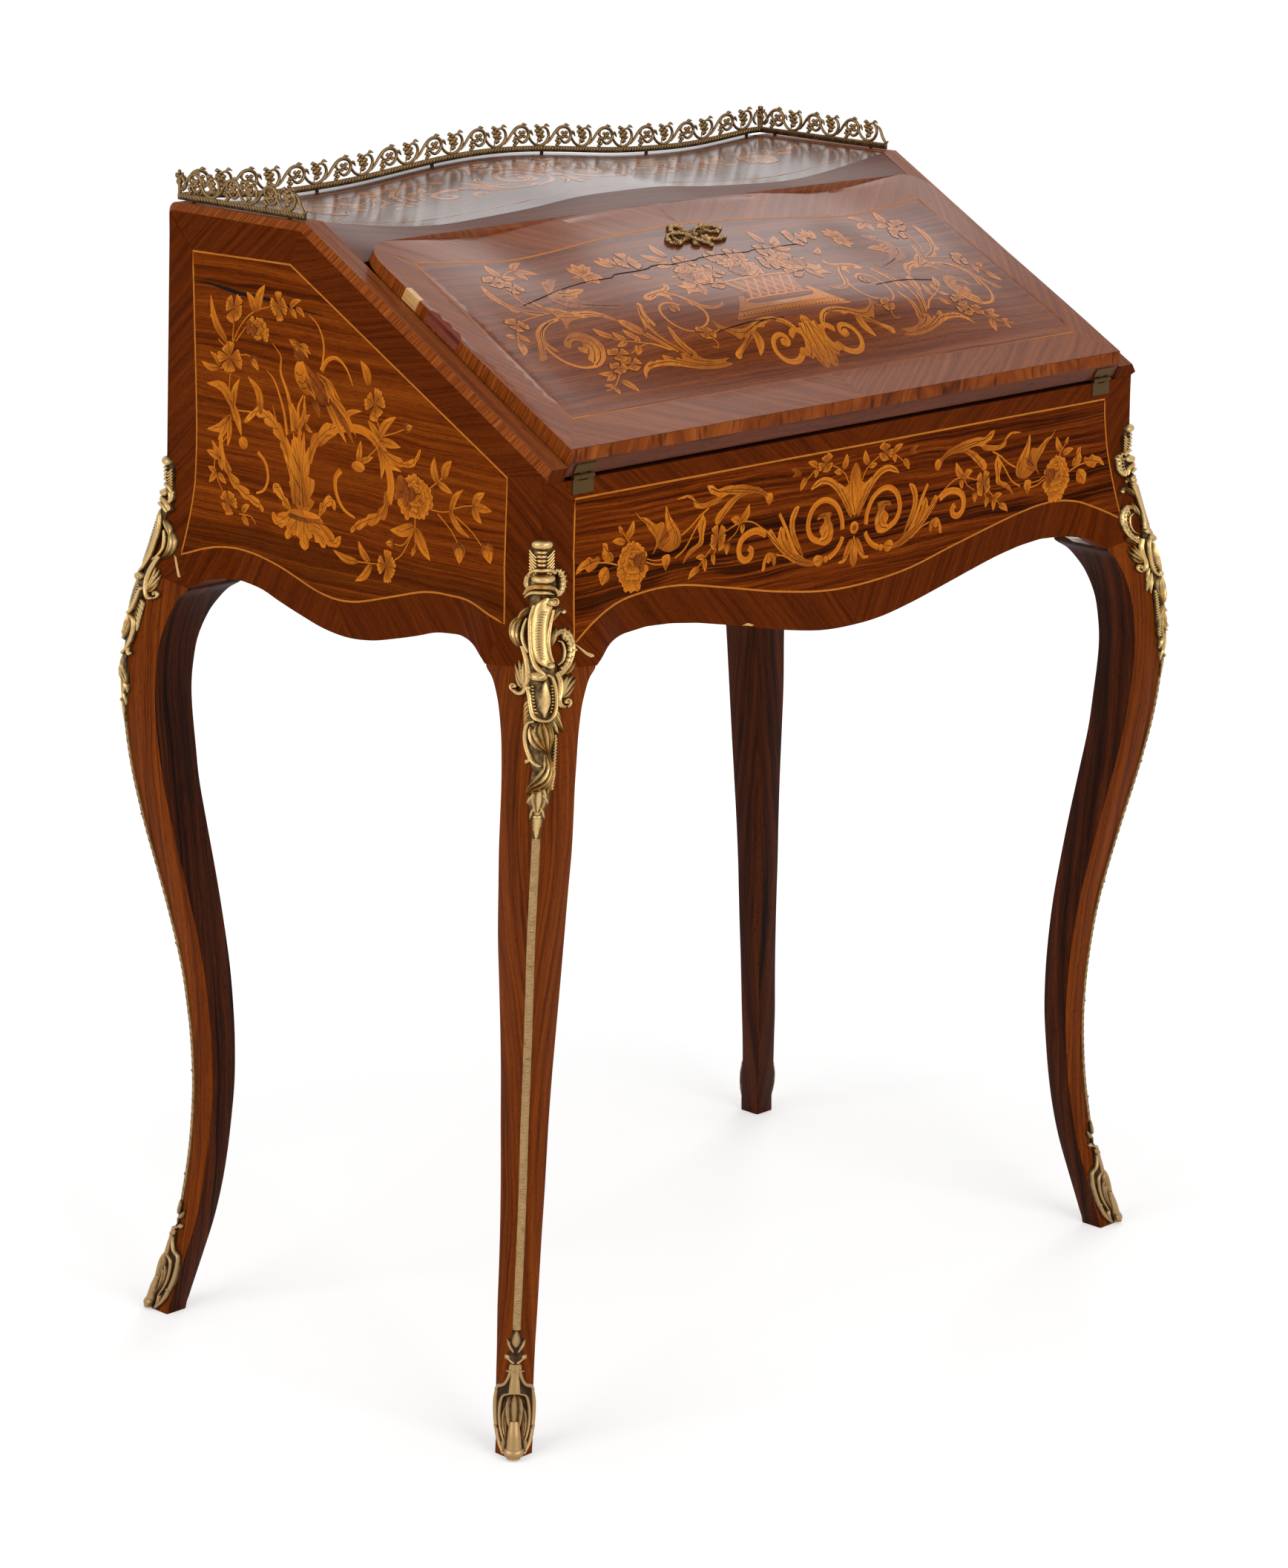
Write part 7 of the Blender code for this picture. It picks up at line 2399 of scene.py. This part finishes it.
    def right_scrolls(self, pile: Relief) -> None:
        """Tendril, pierced leafy loop, shell and volute at the right."""
        pile.leaf([(4.6, 666), (8, 671.5), (12, 674.4), (15.8, 673)], 5.0, 3.4, 1.6, 2)
        pile.bead((14.8, 672.4), (2.0, 1.9), 2.8, 1.6)
        pile.leaf([(5.6, 650), (7.6, 656.5), (9.4, 662)], 5.0, 3.4, 1.4, 2)
        pile.tube([(8.2, 656), (13, 658.6), (18, 655.4), (21, 649), (21.2, 642), (18.8, 635), (14, 629.6),
                   (9.5, 628)], (3.0, 4.8, 5.8, 6.0, 5.8, 5.2, 4.2), 3.8, 1.0, ribs=0.4)
        pile.tube([(10.4, 652.6), (14.2, 650.4), (16.2, 644), (15.0, 638), (11.2, 635)],
                  (1.4, 2.0, 2.2, 2.0, 1.4), 2.8, 0.8)
        for k in range(9):
            a = math.radians(78 - 21 * k)
            c, s = math.cos(a), math.sin(a)
            pile.leaf([(13.4 + 4.8 * c, 643.4 + 9.4 * s), (13.6 + 7.4 * c, 644.4 + 12.4 * s),
                       (13.2 + 10.4 * c, 646.6 + 14.6 * s)], 3.4, 2.0, 2.8, 1)
        pile.bead((23.4, 643.6), (1.4, 1.4), 2.6, 2.2)
        pile.leaf([(15, 628), (20, 630.6), (24.4, 635)], 4.6, 3.2, 1.2, 2)
        pile.tube([(9.4, 630.5), (12.4, 624), (12.7, 617), (11.8, 610.5), (13.2, 606.2), (16.6, 604.2)],
                  (3.6, 4.6, 4.6, 4.2, 3.6, 2.8), 4.0, 1.2, ribs=0.3)
        pile.curl((17.8, 607.3), 3.4, -90, 0.9, 2.5, 3.6, 1.0)
        for tip, wide in (((25.2, 622.8), 4.4), ((22.6, 626), 4.2), ((19, 626.6), 3.6), ((24.2, 618.4), 3.6)):
            pile.leaf([(13.4, 611.5), ((tip[0] + 12.6) / 2, tip[1] - 6.2), tip], wide, 3.0, 1.2, 1)
        pile.leaf([(8.4, 602), (11.6, 595), (15.9, 586.4)], 4.8, 3.2, 1.2, 2)
        pile.leaf([(8.0, 597), (10.4, 590.6), (12.4, 583.6)], 3.8, 2.8, 1.2, 1)
        pile.leaf([(9.0, 606), (11.6, 600.6), (14.2, 595)], 3.6, 2.8, 1.2, 1)

    def cartouche(self, pile: Relief) -> None:
        """Small volute head over a framed drop with beaded sides."""
        pile.bead((-1.1, 629.4), (3.9, 3.7), 5.0, 3.4)
        for x in (-2.3, 0.4):
            pile.curl((x, 629.2), 1.5, 90, 1.0, 0.8, 1.6, 6.8)
        pile.tube([(1.6, 631), (5.0, 628), (7.4, 621), (8.2, 613), (8.0, 604.5), (5.8, 599.6), (1.6, 597.6),
                   (-2.2, 600.8), (-3.9, 608), (-5.0, 616), (-6.6, 621.4)], (2.4, 2.8, 2.8, 2.6, 2.8, 2.8,
                2.8, 2.6, 2.6, 2.4), 4.2, 3.0)
        pile.bead((-6.1, 620.6), (2.1, 2.0), 4.0, 3.0)
        pile.leaf([(1.4, 626), (2.4, 612.5), (1.2, 600.6)], 6.4, 5.8, 3.0, 1, 0.5)
        for k in range(9):
            z = 622.0 - 2.3 * k
            pile.bead((table(((600, -0.9), (610, -2.4), (624, -3.2)), z), z), (0.85, 0.85), 1.7, 4.0)
            pile.bead((table(((600, 4.6), (610, 6.0), (624, 5.2)), z), z), (0.85, 0.85), 1.7, 4.0)

    def tail(self, pile: Relief) -> None:
        """Acanthus leaves that twist down into the strip."""
        pile.tube([(-1.6, 597.4), (-6.0, 594.4), (-7.8, 587), (-7.0, 578), (-4.0, 570), (0, 564.5)],
                  (2.4, 3.0, 3.4, 3.2, 2.8, 2.4), 4.0, 2.4)
        pile.tube([(-4.8, 572), (-5.2, 567.4), (-7.4, 565.2)], (2.6, 2.4, 1.8), 3.4, 1.8)
        pile.bead((-6.8, 566.6), (1.8, 1.7), 2.8, 2.0)
        pile.leaf([(0.8, 598), (2.6, 586), (3.4, 572)], 11.0, 4.8, 2.4, 5, 0.45)
        pile.leaf([(-3.8, 593), (-1.8, 583), (2.6, 573.5)], 5.2, 4.4, 3.4, 2)
        pile.tube([(9.0, 586), (8.7, 572), (8.2, 560), (7.4, 545)], (1.6, 2.0, 2.0, 1.6), 2.8, 2.2)
        for k in range(17):
            z = 583.0 - 2.3 * k
            pile.bead((table(((540, 7.1), (560, 8.2), (586, 9.0)), z), z), (1.1, 0.85), 1.4, 4.4)
        pile.leaf([(2.6, 573), (4.8, 563), (2.2, 553), (-3.0, 545.4), (-5.6, 541)], 9.4, 4.4, 2.6, 4, 0.45)
        pile.leaf([(5.4, 567), (6.8, 556), (4.6, 543)], 5.4, 3.8, 3.0, 2)
        pile.leaf([(0.4, 549), (0.6, 538), (0, 527)], 9.6, 3.0, 2.0, 3, 0.4)
        for side in (-1, 1):
            pile.leaf([(side * 1.6, 543), (side * 4.4, 538.4), (side * 6.2, 533.6)], 4.2, 2.8, 1.8, 1)
            pile.leaf([(side * 1.0, 533), (side * 2.8, 528), (side * 3.8, 522.6)], 3.2, 2.2, 1.8, 1)
        pile.leaf([(0, 530), (0, 518), (0, 506)], 5.0, 2.4, 2.0, 1, 0.35)
        pile.bead((0, 525.6), (1.5, 1.5), 2.0, 3.8)

    def strip(self, pile: Relief) -> None:
        """Narrow strip with a running scroll down the leg's edge."""
        half = self.strip_half
        zs = [self.strip_low + (self.strip_high - self.strip_low) * k / 90 for k in range(91)]
        rows = []
        for z in zs:
            rows.append([(u * half, z, h) for u, h in ((-1, -0.6), (1, -0.6), (1, 2.2), (0.5, 3.0),
                    (0, 3.15), (-0.5, 3.0), (-1, 2.2))])
        pile.rail([r[::-1] for r in rows][::-1], [0.62, 0.7, 0.7, 0.7, 0.62, 0.1, 0.1])
        count = int((self.strip_high - self.strip_low) / self.strip_pitch)
        for k in range(count):
            z = self.strip_low + self.strip_pitch * (k + 0.2)
            side = 1 if k % 2 else -1
            pile.tube([(-side * 1.2, z), (0, z + 0.9), (side * 1.2, z + 2.2), (side * 0.4, z + 3.0)],
                      (0.6, 0.8, 0.5), 0.6, 2.75, 2)
        for z in (self.strip_low + 22, 210, 320, 430):
            pile.bead((0, z), (1.0, 1.0), 1.0, 3.1)

    def sabot(self, pile: Relief) -> None:
        """Leaf and scroll shoe."""
        back = [(-2.4, 96), (2.4, 96), (3, 84), (2.8, 70), (5.5, 58), (10.8, 50), (12.6, 40), (12.4, 26),
                (11.0, 12), (7.5, 3), (0, 1.2), (-7.5, 3), (-11.0, 12), (-12.4, 26), (-12.6, 40),
                (-10.8, 50), (-5.5, 58), (-2.8, 70), (-3, 84)]
        pile.plate(back, 2.9, 0.15)
        pile.leaf([(0, 84), (0, 90), (0, 97)], 5.2, 2.4, 2.2, 1)
        for side in (-1, 1):
            pile.leaf([(side * 1.0, 80), (side * 3.6, 85), (side * 5.6, 89)], 4.4, 2.2, 1.6, 1)
            pile.bead((side * 5.0, 75.6), (2.4, 2.4), 2.8, 1.2)
            pile.tube([(side * 0.8, 72), (side * 3.0, 74), (side * 5.0, 75.4)], (2.2, 1.8), 2.0, 1.6)
            pile.tube([(side * 1.8, 71), (side * 2.4, 63), (side * 5.6, 55.5), (side * 10.6, 52),
                       (side * 12.0, 49)], (2.0, 2.4, 3.0, 2.4), 2.8, 2.2)
            pile.tube([(side * 11.6, 51), (side * 12.9, 40), (side * 12.4, 26), (side * 10.0, 12),
                       (side * 5.8, 4)], (2.2, 3.2, 3.4, 3.4, 2.8), 3.0, 1.8)
            pile.tube([(side * 1.0, 50), (side * 6.4, 46), (side * 8.6, 36), (side * 8.2, 24),
                       (side * 5.6, 14)], (1.8, 2.4, 2.4, 2.4, 1.6), 3.0, 2.6)
            pile.leaf([(side * 1.0, 44), (side * 4.4, 34), (side * 4.6, 22), (side * 2.4, 12)], 4.4, 3.2,
                      3.0, 2)
            pile.leaf([(side * 5.2, 16), (side * 6.6, 9), (side * 5.0, 2.4)], 4.6, 3.0, 2.4, 1)
            pile.bead((side * 11.6, 22), (1.4, 1.4), 1.4, 4.2)
        pile.tube([(0, 72), (0, 62), (0, 50)], (4.6, 3.6, 5.5), 3.6, 2.6, ribs=0.2)
        pile.tube([(-3.4, 66.5), (0, 67.2), (3.4, 66.5)], (1.4, 1.8, 1.4), 2.0, 4.2)
        pile.leaf([(0, 50), (0, 34), (0, 16)], 8.0, 5.0, 3.2, 3, 0.35)
        pile.tube([(0, 30), (0, 18), (0, 8), (0, 2.2)], (3.5, 5.2, 6.4, 5.2), 6.2, 2.6)
        pile.bead((0, 6.8), (4.0, 4.6), 4.6, 5.4)

    def build(self) -> None:
        """Makes the mounts of every corner."""
        for tag, sx, sy in CORNERS:
            for name, make, node, metal in (("gilt_corner_mount", self.chute, "chute", GILT),
                                            ("gilt_edge_strip", self.strip, "leg_strip", GILT_FOOT),
                                            ("gilt_sabot", self.sabot, "sabot", GILT_FOOT)):
                pile = Relief(CornerFace(sx, sy))
                make(pile)
                pile.piece(f"{name}_{tag}", (metal,), "case", "brass", (f"{node}_{tag}",), 50.0)


class GallerySheet(Surface):
    """Standing sheet of the gallery along one run: distance along it, height over its foot, and thickness."""

    def __init__(self, start: Point, end: Point) -> None:
        """Run between two places, x and distance behind the apron face, in metres."""
        self.start = Vector(start)
        self.way = (Vector(end) - Vector(start)).normalized()

    def at(self, u: float, v: float, h: float) -> Spot:
        """Point in metres."""
        p = self.start + self.way * u * MM
        side = Vector((self.way.y, -self.way.x)) * h * MM
        foot = DESK.top(p.x, p.y) + 0.0030
        return (p.x + side.x, p.y + side.y - DESK.half_d, foot + v * MM)


@dataclass
class Gallery:
    """Pierced gallery of vine scrolls over a roped rail, in millimetres."""

    rail: float = 3.6
    front: float = 272.2

    def unit(self, pile: Relief, u0: float, span: float, way: int) -> None:
        """One arch and one bowl of the running vine.

        Args:
            pile: metal to add to.
            u0: where the unit starts.
            span: its length.
            way: 1, or -1 to run the other way.
        """
        k = span / 52.0

        def put(points: Rows) -> list[Point]:
            """Unit's points on the run."""
            return [(u0 + (span - u * k if way < 0 else u * k), self.rail + v) for u, v in points]
        stems = (
                (((-6, 2.5), (-1.5, 6), (3, 11), (8, 15), (14, 16.6), (20, 15), (23.2, 10.2), (21, 5),
                  (15.6, 3), (11, 5.6), (10.4, 9)), (1.6, 1.8, 2.2, 2.4, 2.4, 2.2, 1.8, 1.4)),
                (((21.5, 13.5), (24.4, 6.5), (30, 1.6), (37.5, 0.2), (44, 2.6), (47.8, 8.2), (46.2, 13.6),
                  (41.5, 15.8), (37.6, 14.2)), (1.4, 1.8, 2.0, 2.2, 2.2, 2.0, 1.6, 1.2)),)
        for points, width in stems:
            pile.tube(put(points), [1.3 * w for w in width], 1.25, 0.0, 4, 0.0, True)
        for u, v, r in ((15.4, 9.6, 2.2), (13.2, 11.4, 1.8), (17.4, 11.6, 1.8), (13.4, 7.6, 1.7),
                        (17.8, 8.0, 1.8), (36.0, 9.4, 2.9), (33.6, 12.6, 2.3), (39.0, 11.6, 2.6),
                        (36.6, 14.8, 2.0), (33.0, 16.6, 1.9), (36.8, 5.0, 2.4), (40.4, 8.0, 1.9),
                        (8.0, 7.0, 2.0), (6.4, 4.4, 1.9), (8.6, 2.8, 1.8), (6.6, 1.0, 1.6)):
            x, y = put(((u, v),))[0]
            pile.tube([(x - r, y - 0.2), (x, y), (x + r, y + 0.2)], (r * 0.9, r * 2, r * 0.9), 1.5, 0.0, 2,
                      0.0, True)
        for points, w in ((((34, 2), (36.5, 8), (34.5, 13)), 3.4), (((40, 4), (38, 9), (41.5, 13)), 3.0),
                          (((22, 13), (26, 12), (28.5, 8.6)), 3.2), (((14, 16), (17, 18.4), (21, 17.6)),
                2.8), (((9, 15), (6.5, 11), (9.5, 8.4)), 2.8), (((42, 16), (45, 17.8), (48.5, 16.4)), 2.8)):
            pile.tube(put(points), (0.8, w, 0.7), 1.2, 0.0, 3, 0.0, True)

    def rope(self, pile: Relief, length: float) -> None:
        """Rail with slanting beads, and its pegs."""
        rows = []
        n = max(int(length / 5), 4)
        for k in range(n + 1):
            u = length * k / n
            rows.append([(u, v, h) for v, h in ((-1.5, -1.0), (-1.5, 1.0), (1.0, 1.3), (2.6, 1.3),
                                                (self.rail, 0.8), (self.rail, -0.8), (2.6, -1.3),
                                                (1.0, -1.3))])
        pile.rail(rows, (0.2, 0.2, 0.4, 0.5, 0.6, 0.6, 0.5, 0.4))
        for k in range(int(length / 3.4)):
            u = 1.7 + 3.4 * k
            pile.tube([(u - 1.0, 0.5), (u, 1.8), (u + 1.0, 3.2)], (1.2, 1.9, 1.2), 1.95, 0.0, 2, 0.0, True)
        for k in range(max(int(length / 130), 1) + 1):
            u = 18 + (length - 36) * k / max(int(length / 130), 1)
            pile.rail([[(u + dx, v, h) for dx, h in ((-1.1, -1.1), (1.1, -1.1), (1.1, 1.1), (-1.1, 1.1))]
                       for v in (-3.0, 0.2)][::-1], (0.2,) * 4)

    def build(self) -> None:
        """Makes the three runs."""
        gx, gy = DESK.gallery_x, DESK.gallery_y
        front = self.front * MM
        runs = (("left", (-gx, front), (-gx, gy), 3, -1), ("back", (-gx, gy), (gx, gy), 13, 1),
                ("right", (gx, gy), (gx, front), 3, 1))
        for tag, start, end, units, way in runs:
            pile = Relief(GallerySheet(start, end))
            length = 1000 * math.hypot(end[0] - start[0], end[1] - start[1])
            self.rope(pile, length)
            inset = 8.0
            span = (length - 2 * inset) / units
            for k in range(units):
                self.unit(pile, inset + span * k, span, way)
            for at, hand in ((1.2, 1), (length - 1.2, -1)):
                self.end(pile, at, hand, tag != "back" and (hand > 0) == (tag == "left"))
            pile.piece(f"gilt_gallery_{tag}", (GILT_AGED,), "case", "brass", (f"gallery_{tag}",), 50.0)

    def end(self, pile: Relief, at: float, hand: int, scrolled: bool) -> None:
        """End of a run: a leafy corner post, or a scroll that runs out to the front.

        Args:
            pile: metal to add to.
            at: place along the run.
            hand: 1 where the run goes on to higher distances.
            scrolled: whether it is a front end.
        """
        r = self.rail
        if scrolled:
            pile.tube([(at + hand * 14, r + 15.5), (at + hand * 7, r + 12), (at + hand * 3.4, r + 5),
                       (at - hand * 0.4, r + 0.6), (at - hand * 3.0, r + 1.8)], (1.4, 2.2, 2.6, 2.4, 1.2),
                      1.3, 0.0, 4, 0.0, True)
            return
        pile.tube([(at, r - 1), (at + hand * 0.4, r + 7), (at, r + 14)], (2.8, 3.4, 2.4), 1.5, 0.0, 4, 0.0,
                  True)
        pile.tube([(at + hand * 1, r + 14), (at + hand * 5, r + 12), (at + hand * 7.5, r + 6),
                   (at + hand * 4, r + 2)], (1.4, 2.2, 2.2, 1.2), 1.3, 0.0, 4, 0.0, True)
        for lean, rise in ((-4.0, 15.0), (0.0, 18.5), (4.0, 15.5), (-2.4, 11.0), (2.6, 10.0)):
            pile.tube([(at, r + rise - 4), (at + 0.6 * lean, r + rise - 1.5), (at + lean, r + rise)],
                      (1.6, 3.4, 0.8), 1.6, 0.0, 3, 0.0, True)


@dataclass
class KeyPlate:
    """Rococo keyhole plate at the top of the fall, in millimetres."""

    def build(self) -> None:
        """Makes the plate."""
        mid = 1000 * (DESK.fall_high - 0.050)
        pile = Relief(FallFace())

        def put(points: Rows) -> list[Point]:
            """Plate's points on the fall."""
            return [(1.18 * x - 3.0, mid + 1.15 * y) for x, y in points]
        pile.plate(put(((-16, 4), (-8, 10), (2, 8), (12, 9), (18, 4), (10, -5), (2, -11), (-6, -8),
                        (-14, -4))), 1.2, 0.1)
        bars = (
            (((-3, 1), (-12, 5), (-21, 5), (-27, 1), (-28, -5), (-24, -7.5)), (2.6, 4.2, 4.0, 3.4, 2.6, 1.8)),
            (((-8, 2), (-4, -4), (0, -10), (3.5, -15)), (3.2, 4.6, 4.2, 1.6)),
            (((0, 2), (8, 8), (17, 9.5), (24, 8), (29, 5)), (3.0, 4.4, 4.2, 3.8, 2.2)),
            (((4, -2), (10, -7), (17, -8.6), (22, -7)), (3.0, 4.2, 3.6, 2.0)),
            (((-12, 4), (-15, 9), (-12, 13), (-7, 13), (-4, 9)), (2.2, 3.4, 3.8, 3.4, 2.2)),
            (((-20, 4), (-22, -2), (-18, -6), (-14, -3)), (1.8, 2.8, 2.8, 1.6)),
            (((12, 8), (15, 3), (20, 1), (24, 3)), (1.8, 3.0, 3.0, 1.8)),
        )
        for points, width in bars:
            line = put(points)
            pile.tube(line, [0.72 * w for w in width], 3.0, 0.8, 5, 0.2)
            for k, spot in enumerate(spline(line, 3)):
                big = width[min(k // 3, len(width) - 1)] * (0.44 if k % 2 else 0.30)
                pile.bead(spot, (big, 0.85 * big), 3.9 if k % 2 else 3.4, 0.8)
        for x, y, r, h in ((-12, 13.5, 3.0, 4.2), (-7, 14.5, 2.6, 4.0), (-3.5, 11.5, 2.4, 3.8),
                           (-15, 10, 2.4, 3.8), (-27.5, -1, 2.4, 3.6), (-22, -7, 2.6, 3.8),
                           (16.5, 11.5, 2.2, 3.8), (23, 1, 2.6, 3.6), (29, 5, 2.8, 3.8),
                           (22.5, -7, 2.6, 3.8), (8, -3, 2.2, 3.6), (3, -14.5, 2.0, 3.0)):
            pile.bead(put(((x, y),))[0], (r, r), h, 0.8)
        for points, w in ((((2, 0), (7, 3), (13, 2)), 4.4), (((-2, 3), (-6, 7), (-12, 8)), 4.6), (((-4, -2),
                (-11, -3), (-17, -1)), 4.0), (((1, -3), (5, -8), (4, -13)), 4.2), (((-6, -4), (-9, -9),
                (-7, -13)), 3.8), (((10, 6), (18, 6), (27, 8)), 3.6)):
            pile.leaf(put(points), w, 3.4, 1.0, 2)
        hole = rounded((0.0, 0.0), (1.5, 1.5), 12)
        pile.tube(put([*hole, hole[0]]), (1.0,), 3.2, 1.0, 2)
        pile.piece("gilt_key_plate", (GILT_FOOT,), "fall", "brass", ("escutcheon",), 50.0)


# ---------------------------------------------------------------- solids that stay, and the studio


@dataclass
class Solids:
    """Finishes of the solids that stay as they are."""

    finishes: dict[str, Finish] = field(default_factory=lambda: {
        "front_apron": BAND_SOLID, "back_panel": BACKWOOD, "case_bottom": CARCASE_X, "writing_bed": INSIDE,
        "well_lid": INSIDE, "lid_runner": CARCASE_Y, "drawer_deck": INSIDE, "drawer_divider": INSIDE,
        "pigeonhole": INSIDE, "drawer_front": INSIDE, "drawer_tray": CARCASE_Y, "drawer_knob": PLAIN_BRASS,
        "hinge_pin": IRON, "hinge": PLAIN_BRASS, "lock_bolt": PLAIN_BRASS, "lock": IRON,
    })

    def build(self) -> None:
        """Gives each solid its finish."""
        for name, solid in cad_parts.items():
            for start, finish in self.finishes.items():
                if name.startswith(start):
                    solid.data.materials.clear()
                    solid.data.materials.append(finish.material())
                    break


@dataclass
class Studio:
    """Floor, lights and the camera at the photograph's place."""

    place: Spot = (-2.6584, -2.5391, 1.4359)
    yaw: float = 46.1663
    pitch: float = 15.2717
    roll: float = 0.9305
    lens: float = 103.66
    soft: float = 0.42
    floor_half: float = 30.0
    fill_near: float = 0.15
    fill_far: float = 1.2
    fill_rise: float = 0.22
    fill_low: float = 0.42

    def camera(self) -> None:
        """Camera with the photograph's view."""
        yaw, pitch, roll = (math.radians(k) for k in (self.yaw, self.pitch, self.roll))
        ahead = Vector((math.sin(yaw) * math.cos(pitch), math.cos(yaw) * math.cos(pitch), -math.sin(pitch)))
        right = Vector((math.cos(yaw), -math.sin(yaw), 0.0))
        up = right.cross(ahead)
        right, up = right * math.cos(roll) + up * math.sin(roll), up * math.cos(roll) - right * math.sin(roll)
        data = bpy.data.cameras.new("camera")
        data.lens = self.lens
        data.sensor_width = 36.0
        data.clip_end = 60.0
        made = bpy.data.objects.new("camera", data)
        turn = Matrix((right, up, -ahead)).transposed().to_4x4()
        made.matrix_world = Matrix.Translation(self.place) @ turn
        bpy.context.scene.collection.objects.link(made)
        bpy.context.scene.camera = made

    def light(self, name: str, place: Spot, target: Spot, size: Point, power: float) -> None:
        """One soft light.

        Args:
            name: its name.
            place: where it stands.
            target: where it points.
            size: width and height.
            power: watts.
        """
        data = bpy.data.lights.new(name, "AREA")
        data.shape = "RECTANGLE"
        data.size, data.size_y = size
        data.energy = power
        made = bpy.data.objects.new(name, data)
        made.location = place
        made.rotation_mode = "QUATERNION"
        made.rotation_quaternion = (Vector(target) - Vector(place)).to_track_quat("-Z", "Y")
        bpy.context.scene.collection.objects.link(made)

    def world(self) -> None:
        """White surroundings for the camera and for gloss, soft light otherwise."""
        net = Net(bpy.data.worlds.new("studio"), "Background")
        bpy.context.scene.world = net.owner
        level = net.node("ShaderNodeMapRange", {}, {"Value": net.seen(), "To Min": self.soft, "To Max": 1.0})
        net.set(Color=(1.0, 1.0, 1.0), Strength=Value(net, level.outputs["Result"]))

    def floor(self) -> None:
        """Plain white floor that keeps the desk's shadow."""
        mesh = bpy.data.meshes.new("floor")
        wide = self.floor_half
        corners = [(-wide, -wide, 0), (wide, -wide, 0), (wide, wide, 0), (-wide, wide, 0)]
        mesh.from_pydata(corners, [], [(0, 1, 2, 3)])
        made = bpy.data.objects.new("floor", mesh)
        bpy.context.scene.collection.objects.link(made)
        net = Net(bpy.data.materials.new("floor_white"))
        net.set(Base_Color=(0.86, 0.86, 0.86), Roughness=0.9, Specular_IOR_Level=0.0)
        x, y, _ = net.parts(net.place())
        rise = net.ranged(x * x + y * y, self.fill_near, self.fill_far)
        fill = net.seen() * (rise * self.fill_rise + self.fill_low)
        white = net.mix(fill, (0.0, 0.0, 0.0), (1.0, 1.0, 1.0))
        glow = net.node("ShaderNodeEmission", {}, {"Color": white, "Strength": 1.0})
        shaders = {0: Value(net, net.shader.outputs[0]), 1: Value(net, glow.outputs[0])}
        total = net.node("ShaderNodeAddShader", {}, shaders)
        net.feed(net.tree.nodes["Material Output"].inputs["Surface"], Value(net, total.outputs[0]))
        mesh.materials.append(net.owner)

    def build(self) -> None:
        """Sets the studio up."""
        bpy.context.scene.view_settings.view_transform = "Standard"
        self.camera()
        self.world()
        self.floor()
        aim = (0.0, 0.0, 0.6)
        self.light("left_light", (-3.0, 0.2, 2.0), aim, (2.0, 2.0), 30.0)
        self.light("front_light", (-0.4, -3.2, 2.2), aim, (2.2, 2.0), 42.0)
        self.light("upper_light", (2.4, 1.2, 2.85), (0.05, -0.05, 0.9), (1.3, 1.0), 17.0)


def main() -> None:
    """Builds the desk piece by piece."""
    logging.basicConfig(level=logging.INFO, format="%(name)s: %(message)s")
    Studio().build()
    Solids().build()
    for assembly in (SidePanel(-1), SidePanel(1), Apron(), Legs(), TopBoard(), Fall(), CornerMounts(),
                     Gallery(), KeyPlate(), SideMarquetry(-1), SideMarquetry(1), FrontMarquetry(),
                     FallMarquetry(), TopMarquetry(), Losses()):
        assembly.build()


if __name__ == "__main__":
    main()
